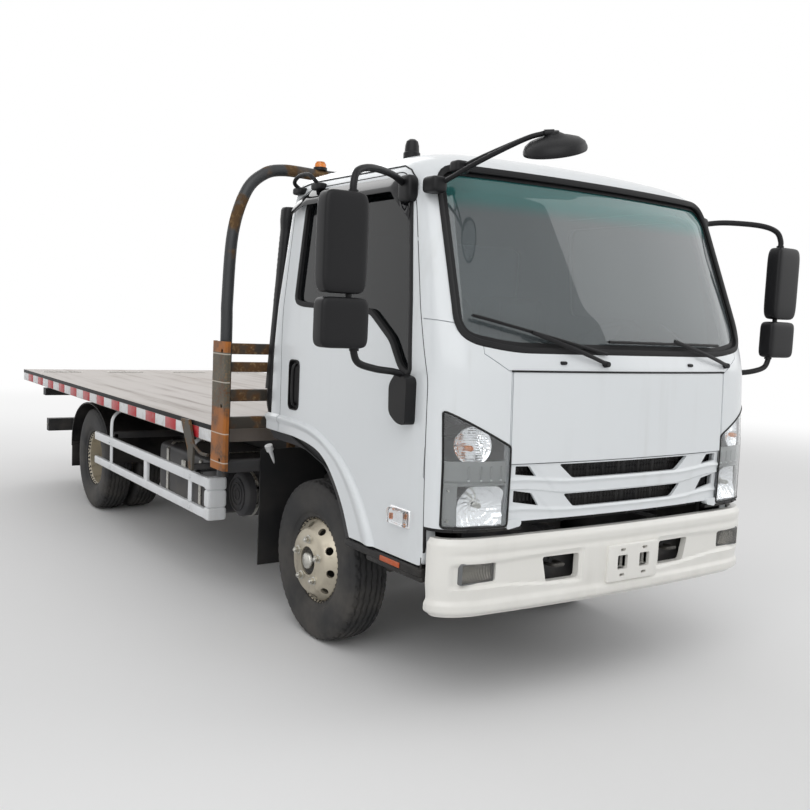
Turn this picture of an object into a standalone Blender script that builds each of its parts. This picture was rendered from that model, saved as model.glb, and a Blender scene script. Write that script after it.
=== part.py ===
"""Light cab-over truck with a flat bed that tilts and slides.

Lengths are in metres. The truck faces -Y, +X is its left side and +Z is up.
Shapes are drawn with the front axle at y = 0 on level ground. The root empty then
moves the whole truck so that the origin lies under the middle of its box.
"""
import math

import bmesh
import bpy
from mathutils import Matrix, Vector

# Layout of the chassis
WHEELBASE = 3.36
SEAT_GAP = 0.0003
RUN_GAP = 0.0005
PIN_GAP = 0.0009
CLEAR = 0.005
WELD = 0.000005
FLAT_ANGLE = 0.0005
FRONT_TYRE_X = 0.752
TWIN_MID_X = 0.7125
TWIN_SPACING = 0.235
REAR_END_Y = 4.85

# Wheels
TYRE_R = 0.3875
TYRE_HALF_WIDTH = 0.1025
TREAD_HALF_WIDTH = 0.083
BEAD_R = 0.2065
BEAD_HALF_WIDTH = 0.0645
FLANGE_R = 0.225
RIM_HALF_WIDTH = 0.078
RIM_WALL = 0.010
FRONT_DISC_OUT = 0.118
DISC_WALL = 0.012
DISC_DEPTH = 0.058
DISC_FLAT_R = 0.150
BEAD_GAP = 0.0035
BEAD_SLOPE = 0.005
HUB_BORE_R = 0.0305
DRUM_R = 0.15
DRUM_DEPTH = 0.06
WHEEL_HOLE_R = 0.0195
WHEEL_HOLES = 10
WHEEL_HOLE_PITCH_R = 0.1715
WHEEL_STEPS = 20
BORE_STEPS = 16

# Ladder frame
RAIL_OUT_X = 0.35
RAIL_WIDTH = 0.07
RAIL_BOTTOM_Z = 0.53
RAIL_TOP_Z = 0.72
RAIL_WALL = 0.008
RAIL_FRONT_Y = -1.05
RAIL_REAR_Y = 4.45

# Cab
CAB_HALF_WIDTH = 0.93
CAB_BOTTOM_Z = 0.77
CAB_FLOOR_Z = 0.986
CAB_REAR_Y = 0.36
ARCH_FOOT_Z = 0.60
CAB_WALL = 0.045
FLOOR_WALL = 0.03
PANEL_WALL = 0.028
DOOR_WALL = 0.05
DOOR_GAP = 0.006
DOOR_BOTTOM_Z = 0.61
DOOR_FRONT_LOW_Y = -1.0
DOOR_REAR_Y = 0.222
HINGE_X = 0.925
HINGE_Y = -0.99
GLASS_INSET = 0.016
GLASS_WALL = 0.006
TUNNEL_HALF_WIDTH = 0.31
TUNNEL_FRONT_Y = -0.80
PIVOT_Y = -1.10
PIVOT_Z = 0.68
PIVOT_R = 0.015
LID_TOP_Z = 1.375
LID_BOTTOM_Z = 1.02
LID_HALF_WIDTH = 0.632
LID_GAP = 0.004
LID_HINGE_Y = -1.176
GRILLE_BOTTOM_Z = 0.79

# Bumper
BUMPER_TOP_Z = 0.735
BUMPER_BOTTOM_Z = 0.425
BUMPER_WALL = 0.025
BUMPER_END_Y = -1.03

# Flat bed and the frame that tilts it
BED_TOP_Z = 0.97
BED_HALF_WIDTH = 1.105
BED_FRONT_Y = 0.64
BED_PLATE = 0.012
BED_EDGE_DEPTH = 0.09
BED_EDGE_WALL = 0.035
BED_BEAM_BOTTOM_Z = 0.83
TAIL_CLEAR = 0.35
CROSS_SILLS = 10
TILT_BEAM_TOP_Z = BED_BEAM_BOTTOM_Z - RUN_GAP
TILT_BEAM_BOTTOM_Z = RAIL_TOP_Z + RUN_GAP
TILT_BEAM_WALL = 0.010
TILT_FRONT_Y = 0.72
TILT_REAR_Y = 4.42
TILT_PIVOT_Y = 4.35
TILT_PIVOT_Z = 0.68
TILT_PIN_R = 0.02

# Tilt cylinders
CYLINDER_X = 0.20
CYLINDER_FOOT_Y = 3.0
CYLINDER_FOOT_Z = 0.58
CYLINDER_EYE_Y = 1.9
CYLINDER_EYE_Z = 0.745
BARREL_R = 0.04
ROD_R = 0.02

# Headboard behind the cab
POST_X = 1.085
POST_Y = 0.54
POST_TUBE_R = 0.03
ARCH_TOP_Z = 2.29
HEADBOARD_TOP_Z = 1.40

# Mirrors, the parts that set the truck's width and its front end
MIRROR_OUT_X = 1.40
MIRROR_WIDTH = 0.20
MIRROR_Y = -0.93
MIRROR_TUBE_R = 0.011
FRONT_MIRROR_X = -0.64
FRONT_MIRROR_Y = -1.288
FRONT_MIRROR_Z = 2.184
FRONT_MIRROR_R = 0.117
FRONT_END_Y = FRONT_MIRROR_Y - FRONT_MIRROR_R

# Axle and steering places
KINGPIN_X = 0.66
KINGPIN_R = 0.022
KINGPIN_HALF = 0.085
EYE_R = 0.040
EYE_HALF = 0.050
FORK_ARM = 0.024
STEER_ARM_Y = 0.14
FRONT_SPRING_X = 0.315
REAR_SPRING_X = 0.415
FRONT_SPRING_ENDS = (-0.61, 0.60)
REAR_SPRING_ENDS = (2.72, 4.06)
HANGER = 0.05
SPRING_STEPS = 8

ORIGIN_SHIFT_Y = -(FRONT_END_Y + REAR_END_Y) / 2


def clear_scene():
    for obj in list(bpy.data.objects):
        bpy.data.objects.remove(obj)


def material(name, colour, roughness, metallic=0.0):
    mat = bpy.data.materials.new(name)
    mat.use_nodes = True
    shader = mat.node_tree.nodes["Principled BSDF"]
    shader.inputs["Base Color"].default_value = (*colour, 1.0)
    shader.inputs["Roughness"].default_value = roughness
    shader.inputs["Metallic"].default_value = metallic
    return mat


def box(low, high):
    """An axis-aligned box from its two corners."""
    xs, ys, zs = zip(low, high)
    points = [Vector((x, y, z)) for x in xs for y in ys for z in zs]
    faces = [(0, 1, 3, 2), (4, 6, 7, 5), (0, 4, 5, 1), (2, 3, 7, 6), (0, 2, 6, 4), (1, 5, 7, 3)]
    return points, faces


def loft(rings, split=False):
    """Closed rings of equal length joined in order, with flat ends.

    Split makes triangles whose diagonals mirror each other about the middle of the ring.
    """
    count = len(rings[0])
    points = [Vector(p) for ring in rings for p in ring]
    faces = [tuple(reversed(range(count)))]
    for level in range(len(rings) - 1):
        start = level * count
        for i in range(count):
            j = (i + 1) % count
            quad = (start + i, start + j, start + count + j, start + count + i)
            if split and i <= count // 2:
                faces += [quad[:3], (quad[0], quad[2], quad[3])]
            elif split:
                faces += [(quad[0], quad[1], quad[3]), quad[1:]]
            else:
                faces.append(quad)
    last = (len(rings) - 1) * count
    faces.append(tuple(range(last, last + count)))
    return points, faces


def prism(outline, axis, start, end):
    """An outline extruded along x, y or z. Its two numbers are the other axes in order."""
    def place(pair, along):
        values = list(pair)
        values.insert("xyz".index(axis), along)
        return values
    return loft([[place(p, start) for p in outline], [place(p, end) for p in outline]])


def lathe(profile, centre, steps=WHEEL_STEPS):
    """A closed (x, radius) profile turned about the x axis through centre."""
    points = []
    for k in range(steps):
        angle = 2 * math.pi * k / steps
        for x, r in profile:
            y = centre[1] + r * math.cos(angle)
            z = centre[2] + r * math.sin(angle)
            points.append(Vector((centre[0] + x, y, z)))
    count = len(profile)
    faces = []
    for k in range(steps):
        a, b = k * count, ((k + 1) % steps) * count
        for i in range(count):
            j = (i + 1) % count
            faces.append((a + i, a + j, b + j, b + i))
    return points, faces


def rod(start, end, radius, sides=10, phase=0.1):
    """A straight round bar between two points, its first facet turned by the phase."""
    start, end = Vector(start), Vector(end)
    turn = (end - start).to_track_quat("Z", "Y").to_matrix()
    ring = []
    for k in range(sides):
        angle = 2 * math.pi * k / sides + phase
        ring.append(turn @ Vector((radius * math.cos(angle), radius * math.sin(angle), 0)))
    return loft([[start + p for p in ring], [end + p for p in ring]])


def smooth_route(route, steps):
    """A Catmull-Rom curve through the route's points."""
    points = [Vector(p) for p in route]
    points = [2 * points[0] - points[1]] + points + [2 * points[-1] - points[-2]]
    out = []
    for a, b, c, d in zip(points, points[1:], points[2:], points[3:]):
        for k in range(steps):
            t = k / steps
            out.append(0.5 * (2 * b + (c - a) * t + (2 * a - 5 * b + 4 * c - d) * t * t
                              + (3 * b - a - 3 * c + d) * t ** 3))
    out.append(points[-2])
    return out


def tube(route, radius, sides=10):
    """A round bar along a route of points, its rings turned with the route."""
    points = [Vector(p) for p in route]
    heading = (points[1] - points[0]).normalized()
    across = heading.orthogonal().normalized()
    rings = []
    for i, point in enumerate(points):
        before = points[max(i - 1, 0)]
        after = points[min(i + 1, len(points) - 1)]
        new_heading = (after - before).normalized()
        across = (across - across.dot(new_heading) * new_heading).normalized()
        up = new_heading.cross(across)
        ring = []
        for k in range(sides):
            angle = 2 * math.pi * k / sides
            ring.append(point + radius * (math.cos(angle) * across + math.sin(angle) * up))
        rings.append(ring)
    return loft(rings)


def rounded(corners, radius, steps=3):
    """An outline of corners, each replaced by an arc of the radius, or less where it is tight."""
    out = []
    for i, corner in enumerate(corners):
        p = Vector(corner)
        a = Vector(corners[i - 1]) - p
        b = Vector(corners[(i + 1) % len(corners)]) - p
        half = a.angle(b) / 2
        reach = min(radius / math.tan(half), a.length * 0.45, b.length * 0.45)
        start, end = p + a.normalized() * reach, p + b.normalized() * reach
        for k in range(steps + 1):
            t = k / steps
            out.append(tuple((1 - t) ** 2 * start + 2 * t * (1 - t) * p + t * t * end))
    return out


def grow(outline, amount):
    """An outline moved outwards by an amount, with its corners mitred."""
    area = sum(a[0] * b[1] - b[0] * a[1] for a, b in zip(outline, outline[1:] + outline[:1]))
    side = amount if area > 0 else -amount
    out = []
    for i, point in enumerate(outline):
        before = (Vector(point) - Vector(outline[i - 1])).normalized()
        after = (Vector(outline[(i + 1) % len(outline)]) - Vector(point)).normalized()
        normal_a = Vector((before.y, -before.x))
        normal_b = Vector((after.y, -after.x))
        bisector = (normal_a + normal_b).normalized()
        out.append(tuple(Vector(point) + bisector * side / max(bisector.dot(normal_a), 0.3)))
    return out


def flip(shape):
    """The shape mirrored to the other side of the truck."""
    points, faces = shape
    return [Vector((-p.x, p.y, p.z)) for p in points], [tuple(reversed(f)) for f in faces]


def mesh_of(shape):
    mesh = bpy.data.meshes.new("shape")
    if isinstance(shape, bpy.types.Mesh):
        return shape.copy()
    mesh.from_pydata([tuple(p) for p in shape[0]], [], shape[1])
    work = bmesh.new()
    work.from_mesh(mesh)
    bmesh.ops.recalc_face_normals(work, faces=work.faces)
    work.to_mesh(mesh)
    work.free()
    return mesh


def boolean(base, others, operation):
    """The exact union, difference or intersection of one shape with a list of shapes."""
    target = bpy.data.objects.new("target", mesh_of(base))
    bpy.context.scene.collection.objects.link(target)
    helpers = []
    for other in others:
        helper = bpy.data.objects.new("helper", mesh_of(other))
        bpy.context.scene.collection.objects.link(helper)
        helpers.append(helper)
        step = target.modifiers.new("boolean", "BOOLEAN")
        step.operation = operation
        step.solver = "EXACT"
        step.object = helper
    graph = bpy.context.evaluated_depsgraph_get()
    mesh = bpy.data.meshes.new_from_object(target.evaluated_get(graph))
    for obj in [target] + helpers:
        bpy.data.objects.remove(obj)
    work = bmesh.new()
    work.from_mesh(mesh)
    bmesh.ops.remove_doubles(work, verts=work.verts, dist=WELD)
    bmesh.ops.dissolve_degenerate(work, edges=work.edges, dist=WELD)
    bmesh.ops.holes_fill(work, edges=[e for e in work.edges if e.is_boundary], sides=6)
    bmesh.ops.dissolve_limit(work, angle_limit=FLAT_ANGLE, verts=work.verts, edges=work.edges)
    work.to_mesh(mesh)
    work.free()
    return mesh


def union(shapes):
    return boolean(shapes[0], shapes[1:], "UNION") if len(shapes) > 1 else mesh_of(shapes[0])


def cut(base, cutters):
    return boolean(base, cutters, "DIFFERENCE")


def common(base, other):
    return boolean(base, [other], "INTERSECT")


def empty(name, place, parent=None):
    """A body's empty, placed on its joint's axis."""
    obj = bpy.data.objects.new(name, None)
    bpy.context.scene.collection.objects.link(obj)
    if parent is None:
        obj.location = place
    else:
        obj.parent = parent
        obj.location = Vector(place) - body_place[parent.name]
    body_place[name] = Vector(place) if parent else Vector((0, 0, 0))
    return obj


def node(name, shape, mat, body, smooth_angle=0.7):
    """One sub-part, drawn in truck coordinates and parented to its body."""
    mesh = mesh_of(shape)
    place = body_place[body.name]
    mesh.transform(Matrix.Translation(-place))
    mesh.name = name
    mesh.materials.clear()
    mesh.materials.append(mat)
    mesh.shade_smooth()
    mesh.set_sharp_from_angle(angle=smooth_angle)
    obj = bpy.data.objects.new(name, mesh)
    bpy.context.scene.collection.objects.link(obj)
    obj.parent = body
    return obj


body_place = {}


def both_sides(maker):
    """Run a maker for the right side, then for the left side."""
    for side, sign in (("right", -1), ("left", 1)):
        maker(side, sign)


def sided(shape, sign):
    """A shape drawn on the left side, put on the side of the sign."""
    return shape if sign > 0 else flip(shape)


def tyre_profile():
    outer = [(BEAD_HALF_WIDTH, BEAD_R), (BEAD_HALF_WIDTH, FLANGE_R + 0.004),
             (TYRE_HALF_WIDTH, 0.300), (TREAD_HALF_WIDTH, TYRE_R - 0.010),
             (TREAD_HALF_WIDTH - 0.022, TYRE_R)]
    return outer + [(-x, r) for x, r in reversed(outer)]


def rim_profile(disc_out, bore_r=HUB_BORE_R):
    """Well and dished disc of a wheel whose hub face lies at disc_out from its middle."""
    w, wall = RIM_HALF_WIDTH, RIM_WALL
    well_r = BEAD_R - BEAD_GAP
    inner_r = well_r - wall
    seat = w - wall - BEAD_SLOPE
    knee = disc_out - DISC_DEPTH
    back = disc_out - DISC_WALL
    well = [(w, FLANGE_R), (seat, well_r), (-seat, well_r), (-w, FLANGE_R), (-w + wall, inner_r)]
    disc = [(knee - DISC_WALL, inner_r), (back, DISC_FLAT_R), (back, bore_r), (disc_out, bore_r),
            (disc_out, DISC_FLAT_R), (knee, inner_r)]
    return well + disc + [(w - wall, inner_r)]


def deep_rim_profile(disc_in, bore_r):
    """Well and disc of a wheel of a twin pair, its hub face sunk to disc_in from its middle."""
    w, wall = RIM_HALF_WIDTH, RIM_WALL
    well_r = BEAD_R - BEAD_GAP
    inner_r = well_r - wall
    seat = w - wall - BEAD_SLOPE
    knee = disc_in + DISC_DEPTH
    well = [(w, FLANGE_R), (seat, well_r), (-seat, well_r), (-w, FLANGE_R), (-w + wall, inner_r)]
    disc = [(knee, inner_r), (disc_in, DISC_FLAT_R), (disc_in, bore_r), (disc_in + DISC_WALL, bore_r),
            (disc_in + DISC_WALL, DISC_FLAT_R), (knee + DISC_WALL, inner_r)]
    return well + disc + [(w - wall, inner_r)]


def wheel_holes(x_low, x_high, centre):
    cutters = []
    for k in range(WHEEL_HOLES):
        angle = 2 * math.pi * (k + 0.25) / WHEEL_HOLES
        y = centre[1] + WHEEL_HOLE_PITCH_R * math.cos(angle)
        z = centre[2] + WHEEL_HOLE_PITCH_R * math.sin(angle)
        cutters.append(rod((x_low, y, z), (x_high, y, z), WHEEL_HOLE_R, 6))
    return cutters


def front_wheel(side, sign):
    place = (sign * FRONT_TYRE_X, 0, TYRE_R)
    knuckle = empty("knuckle_" + side, (sign * KINGPIN_X, 0, TYRE_R), bodies["chassis"])
    wheel = empty("wheel_front_" + side, place, knuckle)
    centre = (FRONT_TYRE_X, 0, TYRE_R)
    node("tyre_front_" + side, sided(lathe(tyre_profile(), centre), sign), paints["rubber"], wheel)
    rim = cut(lathe(rim_profile(FRONT_DISC_OUT), centre),
              wheel_holes(FRONT_TYRE_X, FRONT_TYRE_X + FRONT_DISC_OUT + CLEAR, centre))
    node("rim_front_" + side, mirrored_mesh(rim, sign), paints["rim"], wheel)
    node("steering_knuckle_" + side, mirrored_mesh(mesh_knuckle(), sign), paints["iron"], knuckle)


def mesh_knuckle():
    """The left knuckle: a fork on its kingpin, the brake drum, the spindle and the steering arm."""
    x, z = KINGPIN_X, TYRE_R
    spindle_end = FRONT_TYRE_X + FRONT_DISC_OUT
    drum_in = x + EYE_R + CLEAR
    fork_in = EYE_HALF + RUN_GAP
    fork_out = fork_in + FORK_ARM
    parts = [rod((drum_in, 0, z), (spindle_end, 0, z), HUB_BORE_R - PIN_GAP, BORE_STEPS),
             rod((x, 0, z - KINGPIN_HALF), (x, 0, z + KINGPIN_HALF), KINGPIN_R, BORE_STEPS),
             rod((drum_in, 0, z), (drum_in + DRUM_DEPTH, 0, z), DRUM_R, 16)]
    for low, high in ((fork_in, fork_out), (-fork_out, -fork_in)):
        parts.append(box((x - 0.032, -0.032, z + low), (drum_in + 0.01, 0.032, z + high)))
    arm_low = z - fork_out + 0.002
    parts.append(box((x - 0.022, 0.01, arm_low), (x + 0.022, STEER_ARM_Y, arm_low + 0.018)))
    parts.append(rod((x, STEER_ARM_Y, z - fork_out), (x, STEER_ARM_Y, arm_low + 0.021), 0.028))
    return union(parts)


def mirrored_mesh(mesh, sign):
    """A finished mesh, mirrored to the right side where the sign asks for it."""
    if sign > 0:
        return mesh
    copy = mesh.copy()
    copy.transform(Matrix.Scale(-1, 4, (1, 0, 0)))
    copy.flip_normals()
    return copy


def rear_wheels(side, sign):
    wheel = empty("wheel_rear_" + side, (sign * TWIN_MID_X, WHEELBASE, TYRE_R), bodies["chassis"])
    outer = (TWIN_MID_X + TWIN_SPACING / 2, WHEELBASE, TYRE_R)
    inner = (TWIN_MID_X - TWIN_SPACING / 2, WHEELBASE, TYRE_R)
    node("tyre_rear_outer_" + side, sided(lathe(tyre_profile(), outer), sign), paints["rubber"], wheel)
    node("tyre_rear_inner_" + side, sided(lathe(tyre_profile(), inner), sign), paints["rubber"], wheel)
    dish = -TWIN_SPACING / 2
    profile = deep_rim_profile(dish + 0.0005, 0.020)
    outer_rim = cut(lathe(profile, outer), wheel_holes(outer[0] + dish - 0.02, outer[0] + dish + 0.1, outer))
    inner_profile = [(-x, r) for x, r in reversed(deep_rim_profile(dish + 0.0005, 0.022))]
    inner_rim = lathe(inner_profile, inner)
    collar = [(-0.02, 0.024), (-0.02, 0.075), (0.06, 0.075), (0.07, 0.06), (0.07, 0.024)]
    hub = lathe(collar, (TWIN_MID_X, WHEELBASE, TYRE_R), 12)
    bore = rod((TWIN_MID_X - 0.2, WHEELBASE, TYRE_R), (TWIN_MID_X + 0.2, WHEELBASE, TYRE_R), HUB_BORE_R, BORE_STEPS)
    rims = cut(union([outer_rim, inner_rim, hub]), [bore])
    node("rims_rear_" + side, mirrored_mesh(rims, sign), paints["rim"], wheel)


def frame_rails():
    """Two channel rails with the open side inwards, cross-members and the cab's carriers."""
    parts = []
    for sign in (-1, 1):
        w, t = RAIL_WIDTH, RAIL_WALL
        inner = RAIL_OUT_X - w
        section = [(inner, RAIL_BOTTOM_Z), (RAIL_OUT_X, RAIL_BOTTOM_Z), (RAIL_OUT_X, RAIL_TOP_Z),
                   (inner, RAIL_TOP_Z), (inner, RAIL_TOP_Z - t), (RAIL_OUT_X - t, RAIL_TOP_Z - t),
                   (RAIL_OUT_X - t, RAIL_BOTTOM_Z + t), (inner, RAIL_BOTTOM_Z + t)]
        parts.append(sided(prism(section, "y", RAIL_FRONT_Y, RAIL_REAR_Y), sign))
        bracket = [(RAIL_FRONT_Y + 0.05, RAIL_BOTTOM_Z + 0.013), (RAIL_FRONT_Y + 0.05, RAIL_TOP_Z - 0.013),
                   (PIVOT_Y + 0.01, PIVOT_Z + 0.03), (PIVOT_Y - 0.025, PIVOT_Z + 0.015),
                   (PIVOT_Y - 0.025, PIVOT_Z - 0.02), (RAIL_FRONT_Y - 0.005, RAIL_BOTTOM_Z + 0.013)]
        parts.append(sided(prism(bracket, "x", RAIL_OUT_X - 0.012, RAIL_OUT_X - 0.001), sign))
        top = CAB_FLOOR_Z - SEAT_GAP
        parts.append(sided(box((RAIL_OUT_X - 0.06, 0.20, RAIL_TOP_Z - 0.02), (RAIL_OUT_X - 0.01, 0.26, top)), sign))
        pivot_plate = box((RAIL_OUT_X - 0.012, TILT_PIVOT_Y - 0.06, TILT_PIVOT_Z - 0.1),
                          (RAIL_OUT_X + 0.012, TILT_PIVOT_Y + 0.06, TILT_PIVOT_Z + 0.035))
        parts.append(sided(pivot_plate, sign))
    for y, half, low in ((-0.95, 0.04, 0.545), (0.66, 0.03, 0.645), (1.50, 0.03, 0.645),
                         (CYLINDER_FOOT_Y + 0.09, 0.03, 0.54), (4.40, 0.04, 0.54)):
        parts.append(box((-RAIL_OUT_X + 0.004, y - half, low), (RAIL_OUT_X - 0.004, y + half, low + 0.07)))
    parts.append(rod((-0.42, PIVOT_Y, PIVOT_Z), (0.42, PIVOT_Y, PIVOT_Z), PIVOT_R, BORE_STEPS))
    parts.append(box((-RAIL_OUT_X + 0.02, 0.205, 0.90), (RAIL_OUT_X - 0.02, 0.255, 0.95)))
    for x in (-CYLINDER_X, CYLINDER_X):
        for s in (-1, 1):
            lug = box((x + s * 0.031 - 0.005, CYLINDER_FOOT_Y - 0.035, CYLINDER_FOOT_Z - 0.035),
                      (x + s * 0.031 + 0.005, CYLINDER_FOOT_Y + 0.085, CYLINDER_FOOT_Z + 0.027))
            parts.append(lug)
        parts.append(rod((x - 0.033, CYLINDER_FOOT_Y, CYLINDER_FOOT_Z),
                         (x + 0.033, CYLINDER_FOOT_Y, CYLINDER_FOOT_Z), 0.015))
    pin = rod((-RAIL_OUT_X - 0.045, TILT_PIVOT_Y, TILT_PIVOT_Z), (RAIL_OUT_X + 0.045, TILT_PIVOT_Y, TILT_PIVOT_Z),
              TILT_PIN_R, BORE_STEPS)
    parts.append(pin)
    for sign in (-1, 1):
        for y in (REAR_SPRING_ENDS[0] - HANGER, REAR_SPRING_ENDS[1]):
            hanger = box((RAIL_OUT_X - 0.004, y, RAIL_BOTTOM_Z - 0.10),
                         (REAR_SPRING_X + 0.035, y + HANGER, RAIL_BOTTOM_Z + 0.10))
            parts.append(sided(hanger, sign))
        for y in (FRONT_SPRING_ENDS[0] - HANGER, FRONT_SPRING_ENDS[1]):
            hanger = box((RAIL_OUT_X - 0.068, y, RAIL_BOTTOM_Z - 0.10),
                         (RAIL_OUT_X - 0.002, y + HANGER, RAIL_BOTTOM_Z + 0.02))
            parts.append(sided(hanger, sign))
        stay = box((RAIL_OUT_X - 0.005, 4.353, 0.51), (RAIL_OUT_X + 0.006, 4.433, 0.655))
        parts.append(sided(stay, sign))
    parts.append(box((-0.92, 4.72, 0.43), (0.92, 4.79, 0.54)))
    for sign in (-1, 1):
        stay = [(4.37, 0.52), (4.43, 0.64), (4.78, 0.53), (4.73, 0.44)]
        parts.append(sided(prism(stay, "x", RAIL_OUT_X - 0.003, RAIL_OUT_X + 0.03), sign))
    node("frame_rails", union(parts), paints["frame"], bodies["chassis"])


def leaf_pack(x, y_front, y_rear, z_end, z_mid, wide):
    """Three leaves of a bowed spring, fused as one bar that is thick in the middle."""
    y_front += SEAT_GAP
    y_rear -= SEAT_GAP
    top, bottom = [], []
    for k in range(SPRING_STEPS + 1):
        t = k / SPRING_STEPS
        y = y_front + (y_rear - y_front) * t
        bow = 4 * t * (1 - t)
        z = z_end + (z_mid - z_end) * bow
        top.append((y, z + 0.008))
        bottom.append((y, z - 0.008 - 0.035 * bow ** 2))
    outline = top + bottom[::-1]
    return prism(outline, "x", x - wide / 2, x + wide / 2)


def axles():
    """The front beam between its kingpins and the rear axle with its gear housing."""
    beam_z = TYRE_R - 0.005
    half = KINGPIN_X - 0.02
    outline = [(-half, beam_z + 0.035), (-0.45, beam_z + 0.03), (-0.40, beam_z - 0.03), (0.40, beam_z - 0.03),
               (0.45, beam_z + 0.03), (half, beam_z + 0.035), (half, beam_z - 0.035), (0.50, beam_z - 0.035),
               (0.42, beam_z - 0.095), (-0.42, beam_z - 0.095), (-0.50, beam_z - 0.035), (-half, beam_z - 0.035)]
    parts = [prism(outline, "y", -0.035, 0.035)]
    for sign in (-1, 1):
        spring = leaf_pack(FRONT_SPRING_X, *FRONT_SPRING_ENDS, RAIL_BOTTOM_Z - 0.07, beam_z + 0.06, 0.06)
        parts.append(sided(spring, sign))
        seat = box((FRONT_SPRING_X - 0.04, -0.06, beam_z - 0.05), (FRONT_SPRING_X + 0.04, 0.06, beam_z + 0.04))
        parts.append(sided(seat, sign))
        eye = rod((KINGPIN_X, 0, TYRE_R - EYE_HALF), (KINGPIN_X, 0, TYRE_R + EYE_HALF), EYE_R, 12)
        parts.append(sided(eye, sign))
    bores = [rod((s * KINGPIN_X, 0, 0.2), (s * KINGPIN_X, 0, 0.6), KINGPIN_R + PIN_GAP, BORE_STEPS) for s in (-1, 1)]
    node("front_axle", cut(union(parts), bores), paints["frame"], bodies["chassis"])

    half = TWIN_MID_X + 0.10
    housing = [rod((-half, WHEELBASE, TYRE_R), (half, WHEELBASE, TYRE_R), HUB_BORE_R - PIN_GAP, BORE_STEPS),
               rod((-0.50, WHEELBASE, TYRE_R), (0.50, WHEELBASE, TYRE_R), 0.055, 12),
               rod((0, WHEELBASE - 0.19, TYRE_R), (0, WHEELBASE + 0.13, TYRE_R), 0.15, 16)]
    for sign in (-1, 1):
        spring = leaf_pack(REAR_SPRING_X, *REAR_SPRING_ENDS, RAIL_BOTTOM_Z - 0.06, TYRE_R + 0.085, 0.06)
        housing.append(sided(spring, sign))
        seat = box((REAR_SPRING_X - 0.035, WHEELBASE - 0.06, TYRE_R - 0.07),
                   (REAR_SPRING_X + 0.035, WHEELBASE + 0.06, TYRE_R + 0.10))
        housing.append(sided(seat, sign))
    node("rear_axle", union(housing), paints["frame"], bodies["chassis"])


def drive_line():
    engine = [box((-0.23, -0.56, 0.50), (0.23, 0.17, 0.955)), box((-0.16, 0.15, 0.50), (0.16, 0.56, 0.71))]
    for sign in (-1, 1):
        engine.append(sided(box((0.20, -0.10, 0.58), (RAIL_OUT_X - RAIL_WALL - SEAT_GAP, -0.02, 0.64)), sign))
    shaft_rear = WHEELBASE - 0.19 - 0.003
    engine.append(rod((0, 0.50, 0.60), (0, shaft_rear, TYRE_R + 0.05), 0.035))
    node("engine", union(engine), paints["iron"], bodies["chassis"])


def cab_ring(z, inset, steps=4):
    """Plan outline of the cab at a height, drawn inside the skin by the inset."""
    half, front, corner, rear = cab_section(z)
    half -= inset
    front += inset
    rear -= inset
    corner += inset * 0.6
    shoulder_x = half * 0.72
    bow = (corner - front) * 0.17
    side = []
    for k in range(3):
        t = k / 3
        side.append((shoulder_x * t, front + bow * t * t))
    start = Vector((shoulder_x, front + bow))
    middle = Vector((half, front + bow * 1.6))
    end = Vector((half, corner))
    for k in range(steps + 1):
        t = k / steps
        side.append(tuple((1 - t) ** 2 * start + 2 * t * (1 - t) * middle + t * t * end))
    side.append((half, (corner + rear) / 2))
    back = max(0.05 - inset * 0.5, 0.01)
    for k in range(3):
        angle = math.pi / 2 * k / 2
        side.append((half - back + back * math.cos(angle), rear - back + back * math.sin(angle)))
    left = [(x, y, z) for x, y in side]
    right = [(-x, y, z) for x, y in reversed(side[1:])]
    return left + right


# Height, half width, front at the middle, where the corner meets the side, rear
CAB_LEVELS = [(0.50, 0.926, -1.165, -0.98, 0.365), (0.79, 0.930, -1.175, -0.98, 0.362),
              (1.02, 0.932, -1.180, -0.97, 0.358), (1.375, 0.932, -1.172, -0.93, 0.345),
              (1.46, 0.929, -1.150, -0.92, 0.340), (1.60, 0.922, -1.105, -0.88, 0.332),
              (2.08, 0.872, -0.925, -0.72, 0.300), (2.16, 0.855, -0.890, -0.67, 0.290),
              (2.205, 0.820, -0.850, -0.60, 0.272), (2.245, 0.745, -0.780, -0.50, 0.235),
              (2.275, 0.610, -0.660, -0.38, 0.180), (2.295, 0.360, -0.450, -0.20, 0.080)]


def cab_section(z):
    """Half width, front, corner and rear of the cab at a height, between its levels."""
    for low, high in zip(CAB_LEVELS, CAB_LEVELS[1:]):
        if low[0] <= z <= high[0]:
            t = (z - low[0]) / (high[0] - low[0])
            return [a + (b - a) * t for a, b in zip(low[1:], high[1:])]
    return list(CAB_LEVELS[-1][1:] if z > CAB_LEVELS[-1][0] else CAB_LEVELS[0][1:])


def cab_body(inset, bottom):
    """The cab's full form, drawn inside the skin by an inset, from a bottom height."""
    heights = [bottom] + [level[0] for level in CAB_LEVELS if level[0] > bottom + 0.01]
    rings = []
    for z in heights:
        lowered = z - (inset if z > 2.1 else 0)
        rings.append([(x, y, lowered) for x, y, _ in cab_ring(z, inset)])
    return loft(rings, split=True)


def arch_curve(offset=0.0, steps=7):
    """The edge of the front wheel arch in side view, front end first."""
    out = []
    for k in range(steps + 1):
        angle = math.pi / 2 * k / steps
        y = 0.06 - (0.535 + offset) * math.cos(angle) ** 0.9
        z = ARCH_FOOT_Z + (CAB_FLOOR_Z - ARCH_FOOT_Z + offset) * math.sin(angle) ** 0.82
        out.append((y, z))
    return out


def under_outline(offset=0.0):
    """What is cut away below the cab behind its doors' lower edge, in side view."""
    curve = arch_curve(offset)
    return [(curve[0][0], 0.3)] + curve + [(0.9, CAB_FLOOR_Z + offset), (0.9, 0.3)]


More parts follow.
